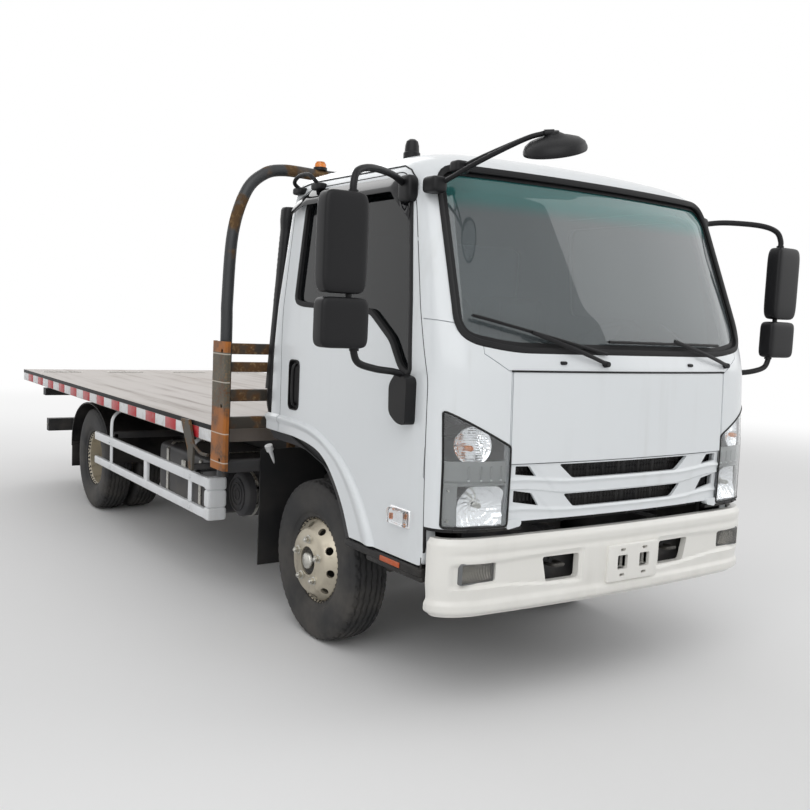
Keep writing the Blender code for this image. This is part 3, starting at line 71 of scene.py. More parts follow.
def mesh_from(points, quads, more=()):
    """A mesh from an array of points, an array of quads and a few extra polygons."""
    mesh = bpy.data.meshes.new("surface")
    faces = [tuple(int(i) for i in f) for f in quads] + [tuple(f) for f in more]
    mesh.from_pydata(np.asarray(points, float).reshape(-1, 3).tolist(), [], faces)
    return mesh


def tidy_mesh(mesh, weld=0.00002):
    """Doubles merged, then the normals turned outwards."""
    work = bmesh.new()
    work.from_mesh(mesh)
    bmesh.ops.remove_doubles(work, verts=work.verts, dist=weld)
    bmesh.ops.dissolve_degenerate(work, edges=work.edges, dist=weld)
    bmesh.ops.recalc_face_normals(work, faces=work.faces)
    work.to_mesh(mesh)
    work.free()
    return mesh


def new_piece(name, mesh, finishes, body, sharp=35.0):
    """A named object that rides on a body; all is drawn from the front axle and moved to its place here."""
    mesh.name = name
    mesh.transform(Matrix.Translation((0, FRONT_AXLE_Y, 0)))
    finishes = finishes if isinstance(finishes, list) else [finishes]
    for index, finish in enumerate(finishes):
        if index < len(mesh.materials):
            mesh.materials[index] = finish
        else:
            mesh.materials.append(finish)
    mesh.shade_smooth()
    mesh.set_sharp_from_angle(angle=math.radians(sharp))
    obj = bpy.data.objects.new(name, mesh)
    bpy.context.scene.collection.objects.link(obj)
    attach(obj, body)
    return obj


def capped(points, weld=0.00002):
    """A solid from a grid whose columns close on themselves, with a face over its first and last row."""
    rows, cols = points.shape[:2]
    ends = [range(cols - 1, -1, -1), range((rows - 1) * cols, rows * cols)]
    return tidy_mesh(mesh_from(points, grid_quads(rows, cols, False, True), ends), weld)


def joined(meshes):
    """Several meshes as one, each a closed body of its own."""
    work = bmesh.new()
    for mesh in meshes:
        work.from_mesh(mesh)
    out = bpy.data.meshes.new("joined")
    work.to_mesh(out)
    work.free()
    return out


def mirrored(mesh):
    """The mesh on the truck's other side, its faces turned back outwards."""
    out = mesh.copy()
    count = len(out.vertices)
    co = np.empty(count * 3, np.float32)
    out.vertices.foreach_get("co", co)
    co = co.reshape(-1, 3) * np.array([-1.0, 1.0, 1.0], np.float32)
    out.vertices.foreach_set("co", co.ravel())
    out.flip_normals()
    return out


def on_both(*meshes, drawn="right"):
    """The name of a side with the meshes drawn for it, then the other side's name with their mirrors."""
    other = "left" if drawn == "right" else "right"
    return (drawn, *meshes), (other, *map(mirrored, meshes))


def new_pair(name, mesh, finishes, body, node="", drawn="right", sharp=35.0):
    """A piece on the side it is drawn for and its mirror on the other; {} in the body stands for the side."""
    for side, form in on_both(mesh, drawn=drawn):
        piece = new_piece(name + "_" + side, form, finishes, body.format(side), sharp)
        if node:
            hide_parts(node + "_" + side)


# %% [markdown]
# Most bars and hoses are a round profile carried along a path. The path is a smooth curve through a few
# points (a Catmull-Rom spline), and at each of its points a circle is set square to the path. The end
# circles are closed by a face, so that the bar is a solid.

# %% Curves, tubes, turned forms and boxes
def smooth_path(points, per_span=8):
    """Catmull-Rom spline: each span blends its four nearest points with cubic weights."""
    p = np.asarray(points, float)
    p = np.vstack([2 * p[0] - p[1], p, 2 * p[-1] - p[-2]])
    t = np.linspace(0, 1, per_span, endpoint=False)[:, None, None]
    a, b, c, d = p[:-3], p[1:-2], p[2:-1], p[3:]
    q = 0.5 * (2 * b + (c - a) * t + (2 * a - 5 * b + 4 * c - d) * t ** 2 + (3 * b - a - 3 * c + d) * t ** 3)
    return np.vstack([q.transpose(1, 0, 2).reshape(-1, p.shape[1]), p[-2]])


def frames_along(path, up):
    """Unit side and up vectors square to the path at each of its points."""
    tangent = np.gradient(path, axis=0)
    tangent /= np.linalg.norm(tangent, axis=1)[:, None]
    side = np.cross(tangent, np.asarray(up, float))
    side /= np.linalg.norm(side, axis=1)[:, None]
    return side, np.cross(side, tangent)


def sweep(path, profile, up=(0, 0, 1), closed=False):
    """A profile of (side, up) offsets carried along a path, its ends closed unless the path is a ring."""
    path = np.asarray(path, float)
    side, lift = frames_along(path, up)
    if closed:
        ring = np.vstack([path[-1], path, path[0]])
        side, lift = (v[1:-1] for v in frames_along(ring, up))
    profile = np.asarray(profile, float)
    points = path[:, None] + profile[None, :, :1] * side[:, None] + profile[None, :, 1:] * lift[:, None]
    if closed:
        return tidy_mesh(mesh_from(points, grid_quads(*points.shape[:2], True, True)))
    return capped(points)


def circle(radius, count=16, turn=0.0):
    """Points on a circle as (side, up) pairs."""
    a = np.arange(count) * 2 * math.pi / count + turn
    return np.stack([radius * np.cos(a), radius * np.sin(a)], -1)


def tube(points, radius, up=(0, 0, 1), sides=14, per_span=8):
    return sweep(smooth_path(points, per_span), circle(radius, sides), up)


def bar(start, end, radius, sides=16):
    """A straight round bar between two points."""
    along = np.subtract(end, start)
    up = (0, 0, 1) if abs(along[2]) < 0.9 * np.linalg.norm(along) else (1, 0, 0)
    return sweep(np.linspace(start, end, 3), circle(radius, sides), up)


def turned(profile, centre, steps=72):
    """An (x, radius) outline turned about the x axis through a centre, closed where it meets the axis."""
    profile = np.asarray(profile, float)
    a = np.arange(steps) * 2 * math.pi / steps
    x = np.broadcast_to(profile[:, 0], (steps, len(profile)))
    y = np.cos(a)[:, None] * profile[None, :, 1]
    z = np.sin(a)[:, None] * profile[None, :, 1]
    points = np.stack([x, y, z], -1) + np.asarray(centre, float)
    return tidy_mesh(mesh_from(points, grid_quads(steps, len(profile), True, False)))


def soft_box(low, high, edge=0.01, steps=3):
    """A box with rounded edges: a superellipse section swept upwards, drawn in at both ends."""
    low, high = np.asarray(low, float), np.asarray(high, float)
    half, middle = (high - low) / 2, (high + low) / 2
    edge = min(edge, *(half * 0.95))
    a = np.linspace(0, math.pi / 2, steps + 1)
    corner = np.stack([half[0] - edge + edge * np.cos(a), half[1] - edge + edge * np.sin(a)], -1)
    quarter = [corner, corner[::-1] * [-1, 1], -corner, corner[::-1] * [1, -1]]
    ring = np.vstack(quarter)
    rise = np.concatenate([-half[2] + edge - edge * np.cos(a), half[2] - edge + edge * np.sin(a)])
    inset = np.concatenate([edge - edge * np.sin(a), edge - edge * np.cos(a)])
    shrink = 1 - inset[:, None] / half[None, :2]
    points = np.empty((len(rise), len(ring), 3))
    points[..., :2] = ring[None] * shrink[:, None, :]
    points[..., 2] = rise[:, None]
    return capped(points + middle)


def rounded(corners, radius, steps=6):
    """Each corner of an outline replaced by a quadratic arc that starts a radius before it."""
    p = np.asarray(corners, float)
    before, after = np.roll(p, 1, 0) - p, np.roll(p, -1, 0) - p
    reach_a = np.minimum(radius, np.linalg.norm(before, axis=1) * 0.45)[:, None]
    reach_b = np.minimum(radius, np.linalg.norm(after, axis=1) * 0.45)[:, None]
    start = p + before / np.linalg.norm(before, axis=1)[:, None] * reach_a
    end = p + after / np.linalg.norm(after, axis=1)[:, None] * reach_b
    t = np.linspace(0, 1, steps + 1)[None, :, None]
    arcs = (1 - t) ** 2 * start[:, None] + 2 * t * (1 - t) * p[:, None] + t ** 2 * end[:, None]
    return arcs.reshape(-1, 2)


def prism(outline, axis, low, high):
    """An outline extruded along x, y or z; its two numbers are the other axes in order."""
    outline = np.asarray(outline, float)
    return capped(np.stack([np.insert(outline, "xyz".index(axis), at, axis=1) for at in (low, high)]))


def carve(mesh, cutters, operation="DIFFERENCE"):
    """The mesh with each cutter taken away, by exact Booleans."""
    target = bpy.data.objects.new("target", mesh)
    bpy.context.scene.collection.objects.link(target)
    helpers = []
    for cutter in cutters:
        helper = bpy.data.objects.new("helper", cutter)
        bpy.context.scene.collection.objects.link(helper)
        helpers.append(helper)
        step = target.modifiers.new("carve", "BOOLEAN")
        step.operation, step.solver, step.object = operation, "EXACT", helper
    graph = bpy.context.evaluated_depsgraph_get()
    out = bpy.data.meshes.new_from_object(target.evaluated_get(graph))
    for obj in [target] + helpers:
        bpy.data.objects.remove(obj)
    return out


# %% [markdown]
# Finishes come first, so that each piece can be given its own. Every finish is a Principled shader whose
# colour, roughness and bump come from noise in Object coordinates, which are metres on this truck. Dust
# gathers low down, so a ramp on the height mixes a dry brown-grey into the paint near the road.

# %% Building blocks for the finishes
def finish_base(name, colour, roughness, metallic=0.0):
    """A material with its node tree, its shader and Object coordinates."""
    mat = bpy.data.materials.new(name)
    mat.use_nodes = True
    tree = mat.node_tree
    shader = tree.nodes["Principled BSDF"]
    shader.inputs["Base Color"].default_value = (*colour, 1)
    shader.inputs["Roughness"].default_value = roughness
    shader.inputs["Metallic"].default_value = metallic
    coords = tree.nodes.new("ShaderNodeTexCoord")
    return mat, tree, shader, coords.outputs["Object"]


def noise(tree, where, scale, detail=4.0, stretch=(1, 1, 1)):
    """Noise of a scale in cycles a metre, stretched along an axis by a Mapping node."""
    mapping = tree.nodes.new("ShaderNodeMapping")
    mapping.inputs["Scale"].default_value = stretch
    tree.links.new(where, mapping.inputs["Vector"])
    node = tree.nodes.new("ShaderNodeTexNoise")
    node.inputs["Scale"].default_value = scale
    node.inputs["Detail"].default_value = detail
    tree.links.new(mapping.outputs["Vector"], node.inputs["Vector"])
    return node.outputs["Fac"]


def ramp(tree, value, low, high, from_value=0.0, to_value=1.0):
    """A value from low to high, mapped smoothly to from_value to to_value."""
    node = tree.nodes.new("ShaderNodeMapRange")
    node.interpolation_type = "SMOOTHSTEP"
    for key, number in (("From Min", low), ("From Max", high), ("To Min", from_value), ("To Max", to_value)):
        node.inputs[key].default_value = number
    tree.links.new(value, node.inputs["Value"])
    return node.outputs["Result"]


def multiply(tree, a, b):
    node = tree.nodes.new("ShaderNodeMath")
    node.operation = "MULTIPLY"
    tree.links.new(a, node.inputs[0])
    if hasattr(b, "node"):
        tree.links.new(b, node.inputs[1])
    else:
        node.inputs[1].default_value = b
    return node.outputs[0]


def mix_colour(tree, factor, under, over):
    """Colour over laid on colour under by a factor; each is a socket or three numbers."""
    node = tree.nodes.new("ShaderNodeMix")
    node.data_type = "RGBA"
    tree.links.new(factor, node.inputs[0])
    for socket, value in ((node.inputs[6], under), (node.inputs[7], over)):
        if hasattr(value, "node"):
            tree.links.new(value, socket)
        else:
            socket.default_value = (*value, 1)
    return node.outputs[2]


def height_of(tree, where):
    node = tree.nodes.new("ShaderNodeSeparateXYZ")
    tree.links.new(where, node.inputs[0])
    return node.outputs


def add_bump(tree, shader, value, strength, distance=0.001):
    bump = tree.nodes.new("ShaderNodeBump")
    bump.inputs["Strength"].default_value = strength
    bump.inputs["Distance"].default_value = distance
    tree.links.new(value, bump.inputs["Height"])
    tree.links.new(bump.outputs["Normal"], shader.inputs["Normal"])


DUST = (0.30, 0.27, 0.23)


def dusty(name, colour, roughness, metallic=0.0, dust_top=0.9, dust_most=0.5, patch=6.0, coat=0.0):
    """Paint or plastic with dust that thins out with height, in patches."""
    mat, tree, shader, where = finish_base(name, colour, roughness, metallic)
    patches = ramp(tree, noise(tree, where, patch, 6), 0.35, 0.75)
    low = ramp(tree, height_of(tree, where)["Z"], 0.15, dust_top, 1.0, 0.0)
    amount = multiply(tree, multiply(tree, patches, low), dust_most)
    tree.links.new(mix_colour(tree, amount, colour, DUST), shader.inputs["Base Color"])
    tree.links.new(ramp(tree, amount, 0.0, 1.0, roughness, 0.95), shader.inputs["Roughness"])
    shader.inputs["Coat Weight"].default_value = coat
    shader.inputs["Coat Roughness"].default_value = 0.06
    return mat, tree, shader, where


# %% [markdown]
# White paint isn't one value: rain leaves faint grey streaks that run down the panels, and the lower
# edges are dirtier than the roof. The streaks are noise squeezed sideways and drawn out in height.

# %% Paints
def streaked_paint(name, colour, roughness, streak_colour, dust_top, dust_most):
    mat, tree, shader, where = dusty(name, colour, roughness, 0.0, dust_top, dust_most, 9.0, 0.35)
    base = shader.inputs["Base Color"].links[0].from_socket
    streaks = ramp(tree, noise(tree, where, 14, 3, (1, 1, 0.06)), 0.52, 0.80)
    film = ramp(tree, noise(tree, where, 1.7, 5), 0.35, 0.75)
    amount = multiply(tree, multiply(tree, streaks, film), 0.30)
    tree.links.new(mix_colour(tree, amount, base, streak_colour), shader.inputs["Base Color"])
    add_bump(tree, shader, noise(tree, where, 900, 1), 0.02, 0.0004)
    return mat


CAB_WHITE = streaked_paint("cab_white", (0.74, 0.77, 0.79), 0.28, (0.50, 0.51, 0.49), 1.0, 0.16)
GUARD_WHITE = streaked_paint("guard_white", (0.76, 0.78, 0.80), 0.40, (0.45, 0.45, 0.43), 0.75, 0.30)
BUMPER_CREAM = streaked_paint("bumper_cream", (0.80, 0.79, 0.75), 0.35, (0.52, 0.50, 0.44), 0.62, 0.45)
FRAME_BLACK = dusty("frame_dust_black", (0.022, 0.022, 0.024), 0.55, 0.0, 1.0, 0.30)[0]
IRON = dusty("oily_iron", (0.05, 0.048, 0.045), 0.5, 0.6, 1.1, 0.45)[0]
DARK_STEEL = dusty("dark_steel", (0.035, 0.035, 0.038), 0.45, 0.2, 0.9, 0.35)[0]


# %% [markdown]
# Black plastic has a fine moulded grain. Its bump is very small noise, and its gloss varies a little, so
# that a mirror's back doesn't look like paint. Rubber is rougher and greyer where it is worn and dusty.

# %% Plastics and rubber
def grained(name, colour, roughness, grain=700.0, strength=0.25, dust_most=0.12):
    mat, tree, shader, where = dusty(name, colour, roughness, 0.0, 1.6, dust_most, 5.0)
    shader.inputs["Specular IOR Level"].default_value = 0.25
    add_bump(tree, shader, noise(tree, where, grain, 2), strength, 0.0004)
    return mat


BLACK_PLASTIC = grained("black_plastic_grain", (0.008, 0.008, 0.009), 0.45)
TRIM_DARK = grained("dark_trim_grain", (0.035, 0.035, 0.038), 0.55)
GREY_BEZEL = grained("bezel_grey", (0.16, 0.165, 0.17), 0.35, 900.0, 0.05, 0.0)
SEAL_RUBBER = grained("seal_rubber", (0.012, 0.012, 0.013), 0.6, 400.0, 0.10, 0.05)


def tyre_rubber():
    mat, tree, shader, where = dusty("tyre_rubber", (0.020, 0.020, 0.021), 0.72, 0.0, 1.1, 0.20, 5.0)
    add_bump(tree, shader, noise(tree, where, 300, 4), 0.25, 0.0006)
    return mat


TYRE_RUBBER = tyre_rubber()


# %% [markdown]
# The wheels are sprayed in a champagne silver: half metal, half paint, with fine flakes and a brown film
# in the dish. The chrome of lamps and cylinder rods is plain metal with a little waviness.

# %% Metals
def wheel_paint():
    mat, tree, shader, where = dusty("wheel_champagne", (0.55, 0.50, 0.40), 0.36, 0.55, 0.8, 0.35, 12.0)
    base = shader.inputs["Base Color"].links[0].from_socket
    stain = multiply(tree, ramp(tree, noise(tree, where, 22, 6), 0.52, 0.80), 0.55)
    tree.links.new(mix_colour(tree, stain, base, (0.20, 0.16, 0.11)), shader.inputs["Base Color"])
    add_bump(tree, shader, noise(tree, where, 500, 2), 0.05, 0.0004)
    return mat


def bright_metal(name, colour, roughness, wave=60.0):
    mat, tree, shader, where = finish_base(name, colour, roughness, 1.0)
    tree.links.new(ramp(tree, noise(tree, where, wave, 3), 0.3, 0.8, roughness * 0.6, roughness * 1.8),
                   shader.inputs["Roughness"])
    add_bump(tree, shader, noise(tree, where, wave * 4, 2), 0.04, 0.0005)
    return mat


WHEEL_SILVER = wheel_paint()
CHROME = bright_metal("bright_chrome", (0.86, 0.86, 0.87), 0.08)
MIRROR_GLASS = bright_metal("mirror_silver", (0.80, 0.83, 0.85), 0.02, 5.0)
ZINC = bright_metal("dull_zinc", (0.55, 0.54, 0.50), 0.35)


# %% [markdown]
# The headboard and its guards are steel that has lost much of its paint. Two noises mix three colours:
# the paint that is left, brown rust and a paler orange bloom. Rust is rougher than paint, and it stands
# proud as a fine crust, so the same noise drives the roughness and the bump.

# %% Worn and rusty steel
def rusty(name, paint, rust, bloom, share, scale=9.0, rough=0.6):
    mat, tree, shader, where = finish_base(name, paint, rough, 0.15)
    big = noise(tree, where, scale, 8)
    fine = noise(tree, where, scale * 7, 6)
    spots = ramp(tree, big, 0.62 - share * 0.35, 0.70 - share * 0.25)
    flecks = ramp(tree, fine, 0.50, 0.72)
    rusted = mix_colour(tree, flecks, rust, bloom)
    tree.links.new(mix_colour(tree, spots, paint, rusted), shader.inputs["Base Color"])
    tree.links.new(ramp(tree, spots, 0.0, 1.0, rough, 0.92), shader.inputs["Roughness"])
    add_bump(tree, shader, multiply(tree, spots, fine), 0.5, 0.0012)
    return mat


SLAT_RUST = rusty("slat_rust", (0.045, 0.038, 0.030), (0.13, 0.065, 0.025), (0.30, 0.19, 0.09), 0.55, 7.0)
TUBE_STEEL = rusty("arch_steel", (0.030, 0.032, 0.034), (0.10, 0.055, 0.022), (0.20, 0.12, 0.05), 0.22, 6.0,
                   0.45)
BRACKET_OLIVE = rusty("bracket_olive_worn", (0.07, 0.062, 0.05), (0.14, 0.07, 0.03), (0.30, 0.20, 0.1), 0.4,
                      14.0)


# %% [markdown]
# The deck is pale painted plate, scuffed along its length by what is winched over it. The edge tape is
# glossy red and white film whose red blocks repeat along the truck.

# %% Deck and tape
def deck_plate():
    mat, tree, shader, where = finish_base("deck_plate", (0.52, 0.49, 0.46), 0.55, 0.1)
    scuffs = ramp(tree, noise(tree, where, 16, 8, (1, 0.05, 1)), 0.45, 0.85)
    stains = ramp(tree, noise(tree, where, 1.6, 6), 0.45, 0.75)
    worn = mix_colour(tree, multiply(tree, scuffs, 0.3), (0.33, 0.295, 0.27), (0.20, 0.175, 0.155))
    tree.links.new(mix_colour(tree, multiply(tree, stains, 0.35), worn, (0.25, 0.20, 0.16)),
                   shader.inputs["Base Color"])
    tree.links.new(ramp(tree, scuffs, 0.0, 1.0, 0.5, 0.75), shader.inputs["Roughness"])
    add_bump(tree, shader, noise(tree, where, 60, 6), 0.15, 0.001)
    return mat


def plain_film(name, colour):
    """Reflective tape: gloss over a fine honeycomb that shows as a faint cell pattern."""
    mat, tree, shader, where = finish_base(name, colour, 0.4)
    shader.inputs["Specular IOR Level"].default_value = 0.3
    cells = tree.nodes.new("ShaderNodeTexVoronoi")
    cells.feature = "DISTANCE_TO_EDGE"
    cells.inputs["Scale"].default_value = 240
    tree.links.new(where, cells.inputs["Vector"])
    edge = ramp(tree, cells.outputs["Distance"], 0.0, 0.12, 0.25, 0.0)
    dirt = multiply(tree, ramp(tree, noise(tree, where, 18, 6), 0.45, 0.8), 0.4)
    celled = mix_colour(tree, edge, colour, tuple(c * 0.5 for c in colour))
    tree.links.new(mix_colour(tree, dirt, celled, (0.33, 0.29, 0.25)), shader.inputs["Base Color"])
    shader.inputs["Coat Weight"].default_value = 0.15
    return mat


DECK_PLATE = deck_plate()
TAPE_RED = plain_film("tape_red", (0.46, 0.010, 0.018))
TAPE_WHITE = plain_film("tape_white", (0.74, 0.75, 0.76))
ORANGE_REFLECTOR = plain_film("reflector_orange", (0.50, 0.09, 0.02))


# %% [markdown]
# Glass is where a truck looks real or not. The windscreen mirrors the sky, so it reads pale grey with a
# green sun band along its top; its pale grey is painted into the colour as a painted sky reflection,
# paler in patches. The door glass is tinted and mirrors dark surroundings, so it reads nearly black.
# Both are transmitting shaders.

# %% Glass and lamps
def clear_glass(name, tint, transmission, ior=1.5, roughness=0.0, specular=0.5):
    mat, tree, shader, where = finish_base(name, tint, roughness)
    shader.inputs["Specular IOR Level"].default_value = specular
    shader.inputs["Transmission Weight"].default_value = transmission
    shader.inputs["IOR"].default_value = ior
    return mat, tree, shader, where


def windscreen_glass(band_low, band_high):
    # Painted reflection: the pale greys stand in for the mirrored sky, paler in noise patches.
    mat, tree, shader, where = clear_glass("windscreen_glass", (0.26, 0.30, 0.315), 0.72, ior=1.55)
    band = ramp(tree, height_of(tree, where)["Z"], band_low, band_high)
    painted_sky_patches = ramp(tree, noise(tree, where, 2.5, 3), 0.3, 0.8, 0.0, 0.35)
    pane = mix_colour(tree, painted_sky_patches, (0.25, 0.29, 0.305), (0.31, 0.35, 0.36))
    tree.links.new(mix_colour(tree, band, pane, (0.10, 0.36, 0.35)), shader.inputs["Base Color"])
    return mat


WINDSCREEN_GLASS = windscreen_glass(1.985, 2.06)
DOOR_GLASS = clear_glass("door_glass_tint", (0.022, 0.027, 0.030), 0.85, specular=0.22)[0]
LAMP_LENS = clear_glass("lamp_lens", (0.93, 0.95, 0.96), 0.97)[0]
AMBER_LENS = clear_glass("amber_lens_clear", (0.95, 0.30, 0.03), 0.6, roughness=0.08)[0]


# %% [markdown]
# Seat cloth is woven: two crossed waves a few millimetres apart give the threads, and noise breaks them up.

# %% Cloth
def woven_cloth():
    mat, tree, shader, where = finish_base("seat_cloth", (0.06, 0.062, 0.07), 0.9)
    threads = []
    for axis in ("X", "Z"):
        wave = tree.nodes.new("ShaderNodeTexWave")
        wave.bands_direction = axis
        wave.inputs["Scale"].default_value = 160
        wave.inputs["Distortion"].default_value = 0.4
        tree.links.new(where, wave.inputs["Vector"])
        threads.append(wave.outputs["Fac"])
    weave = multiply(tree, threads[0], threads[1])
    tree.links.new(mix_colour(tree, weave, (0.035, 0.036, 0.042), (0.10, 0.105, 0.12)),
                   shader.inputs["Base Color"])
    shader.inputs["Sheen Weight"].default_value = 0.3
    add_bump(tree, shader, weave, 0.4, 0.0008)
    return mat


SEAT_CLOTH = woven_cloth()
print("finishes", len(bpy.data.materials))


# %% [markdown]
# The cab is one blown form. At every height its plan is a front with a slight bow, a wide round corner, a
# straight flank and a tight rear corner. A short table of levels says how wide it is and where front,
# corner and rear lie; between the levels the values run on smoothly. All cab pieces are sliced from this
# one surface, drawn in by an inset, so that doors, lamps and glass share its curvature.

# %% The cab's surface
CAB_LEVELS = np.array([
    [0.50, 0.926, -1.165, -0.98, 0.365], [0.79, 0.930, -1.175, -0.98, 0.362],
    [1.02, 0.932, -1.180, -0.97, 0.358], [1.375, 0.932, -1.172, -0.93, 0.345],
    [1.46, 0.929, -1.150, -0.92, 0.340], [1.60, 0.922, -1.105, -0.88, 0.332],
    [2.08, 0.872, -0.925, -0.72, 0.300], [2.16, 0.855, -0.890, -0.67, 0.290],
    [2.205, 0.820, -0.850, -0.60, 0.272], [2.245, 0.745, -0.780, -0.50, 0.235],
    [2.275, 0.610, -0.660, -0.38, 0.180], [2.295, 0.360, -0.450, -0.20, 0.080]])
LEVEL_BLUR = 0.022
SHOULDER = 0.72
REAR_CORNER = 0.05


def cab_section(z):
    """Half width, front, corner and rear at heights z: the table's lines, averaged over a short span."""
    z = np.asarray(z, float)
    spans = np.linspace(-LEVEL_BLUR, LEVEL_BLUR, 7)
    sample = z[..., None] + spans
    return [np.interp(sample, CAB_LEVELS[:, 0], CAB_LEVELS[:, k]).mean(-1) for k in range(1, 5)]


def corner_controls(half, front, corner):
    """The three heights along y that steer the corner's quadratic arc."""
    bow = (corner - front) * 0.17
    return front + bow, front + bow * 1.6, corner


def front_y(x, z):
    """Where the skin's front lies at (x, z): a parabola in the middle, then the corner's arc."""
    half, front, corner, _ = cab_section(z)
    y0, y1, y2 = corner_controls(half, front, corner)
    x = np.abs(np.asarray(x, float))
    middle = front + (y0 - front) * np.minimum(x / (half * SHOULDER), 1) ** 2
    t = 1 - np.sqrt(np.clip((half - x) / (half * (1 - SHOULDER)), 0, 1))
    arc = (1 - t) ** 2 * y0 + 2 * t * (1 - t) * y1 + t ** 2 * y2
    return np.where(x < half * SHOULDER, middle, arc)


def side_x(y, z):
    """How far out the skin's flank lies at (y, z): flat, or on the corner's arc near the front."""
    half, front, corner, _ = cab_section(z)
    y0, y1, y2 = corner_controls(half, front, corner)
    a, b, c = y0 - 2 * y1 + y2, 2 * (y1 - y0), y0 - np.minimum(y, y2)
    t = np.clip((-b + np.sqrt(np.maximum(b * b - 4 * a * c, 0))) / (2 * a), 0, 1)
    return half - half * (1 - SHOULDER) * (1 - t) ** 2


def cab_rings(heights, inset, density=1.0):
    """Rows of closed plan outlines at the heights: bow, corner arc, flank, rear corner, back."""
    half, front, corner, rear = (v[:, None] for v in cab_section(heights))
    half, front, rear, corner = half - inset, front + inset, rear - inset, corner + inset * 0.6
    y0, y1, y2 = corner_controls(half, front, corner)

    def steps(count, last=False):
        return np.linspace(0, 1, max(int(count * density), 3), endpoint=last)[None, :]
    t = steps(14)
    bow = (half * SHOULDER * t, front + (y0 - front) * t ** 2)
    t = steps(16)
    arc = (half - half * (1 - SHOULDER) * (1 - t) ** 2,
           (1 - t) ** 2 * y0 + 2 * t * (1 - t) * y1 + t ** 2 * y2)
    t = steps(22)
    back = max(REAR_CORNER - inset * 0.5, 0.01)
    flank = (half + 0 * t, corner + (rear - back - corner) * t)
    t = steps(7) * math.pi / 2
    turn = (half - back + back * np.cos(t), rear - back + back * np.sin(t))
    t = steps(10, True)
    rear_wall = ((half - back) * (1 - t), rear + 0 * t)
    x = np.hstack([part[0] for part in (bow, arc, flank, turn, rear_wall)])
    y = np.hstack([part[1] + 0 * half for part in (bow, arc, flank, turn, rear_wall)])
    x = np.hstack([x, -x[:, -2:0:-1]])
    y = np.hstack([y, y[:, -2:0:-1]])
    lowered = heights - np.interp(heights, [2.08, 2.16], [0, inset])
    return np.stack([x, y, np.broadcast_to(lowered[:, None], x.shape)], -1)


def cab_solid(inset, bottom, density=1.0, inner=False):
    """The whole cab as a closed solid: rings up to the roof, then rings that shrink to its middle."""
    low = np.linspace(bottom, 2.05, max(int(46 * density), 6))
    heights = np.concatenate([low, np.linspace(2.06, 2.295, max(int(26 * density), 8))])
    rings = cab_rings(heights, inset, density)
    top = rings[-1]
    middle = top.mean(0)
    shrink = np.linspace(0.85, 0.12, 6)[:, None, None]
    cap = middle + (top[None] - middle) * shrink
    cap[..., 2] += 0.006 * (1 - shrink[..., 0] ** 2)
    return with_index(capped(np.vstack([rings, cap]), 0.000001), 1 if inner else 0)


def with_index(mesh, index):
    """Every face set to one material slot; a cut then keeps the cutter's slot on its walls."""
    mesh.materials.append(None)
    mesh.materials.append(None)
    mesh.polygons.foreach_set("material_index", np.full(len(mesh.polygons), index, np.int32))
    return mesh


# %% [markdown]
# The outlines of door, window, arch and lamps are drawn in side or front view and pushed through the
# skin. They repeat the frame's own values, so each piece lands on the solid that it stands for.

# %% Outlines on the cab
CAB_BOTTOM, CAB_FLOOR, ARCH_FOOT = 0.77, 0.986, 0.60
CAB_WALL, DOOR_WALL, PANEL_WALL = 0.045, 0.05, 0.028
DOOR_REAR = 0.222
LID_HALF, LID_TOP, GRILLE_BOTTOM = 0.632, 1.375, 0.79
GAP = 0.004


def arch_curve(offset=0.0, steps=40):
    """The wheel arch's edge, front end first: a quarter of a superellipse."""
    a = np.linspace(0, math.pi / 2, steps + 1)
    y = 0.06 - (0.535 + offset) * np.clip(np.cos(a), 0, 1) ** 0.9
    z = ARCH_FOOT + (CAB_FLOOR - ARCH_FOOT + offset) * np.sin(a) ** 0.82
    return np.stack([y, z], -1)


def under_outline():
    curve = arch_curve()
    return np.vstack([[curve[0][0], 0.3], curve, [0.9, CAB_FLOOR], [0.9, 0.3]])


DOOR_OUTLINE = rounded([(-1.0, 0.61), (-0.978, 1.335), (-0.900, 1.60), (-0.775, 2.02), (-0.735, 2.10),
                        (-0.66, 2.150), (0.10, 2.150), (DOOR_REAR + 0.015, 2.10), (DOOR_REAR + 0.015, 1.55),
                        (DOOR_REAR, 1.30), (DOOR_REAR, 0.61)], 0.035)
WINDOW_OUTLINE = rounded([(-0.865, 1.345), (-0.835, 1.61), (-0.735, 2.065), (-0.66, 2.105), (0.08, 2.105),
                          (0.118, 2.07), (0.118, 1.625), (0.05, 1.612), (-0.55, 1.59), (-0.72, 1.48),
                          (-0.80, 1.37)], 0.03)
SCREEN_OUTLINE = rounded([(-0.845, 1.50), (-0.62, 1.462), (0.62, 1.462), (0.845, 1.50), (0.80, 2.165),
                          (-0.80, 2.165)], 0.09)
REAR_PANE = rounded([(-0.60, 1.50), (0.60, 1.50), (0.60, 1.98), (-0.60, 1.98)], 0.06)
LAMP_OUTLINE = rounded([(0.636, 0.775), (0.636, 1.088), (0.898, 1.222), (0.898, 0.775)], 0.012)


def grown(outline, amount):
    """An outline moved outwards along its own normals."""
    p = np.asarray(outline, float)
    ahead, behind = np.roll(p, -1, 0) - p, p - np.roll(p, 1, 0)
    tangent = (ahead / np.linalg.norm(ahead, axis=1)[:, None]
               + behind / np.linalg.norm(behind, axis=1)[:, None])
    tangent /= np.linalg.norm(tangent, axis=1)[:, None]
    area = np.sum(p[:, 0] * np.roll(p[:, 1], -1) - np.roll(p[:, 0], -1) * p[:, 1])
    return p + np.stack([tangent[:, 1], -tangent[:, 0]], -1) * amount * np.sign(area)


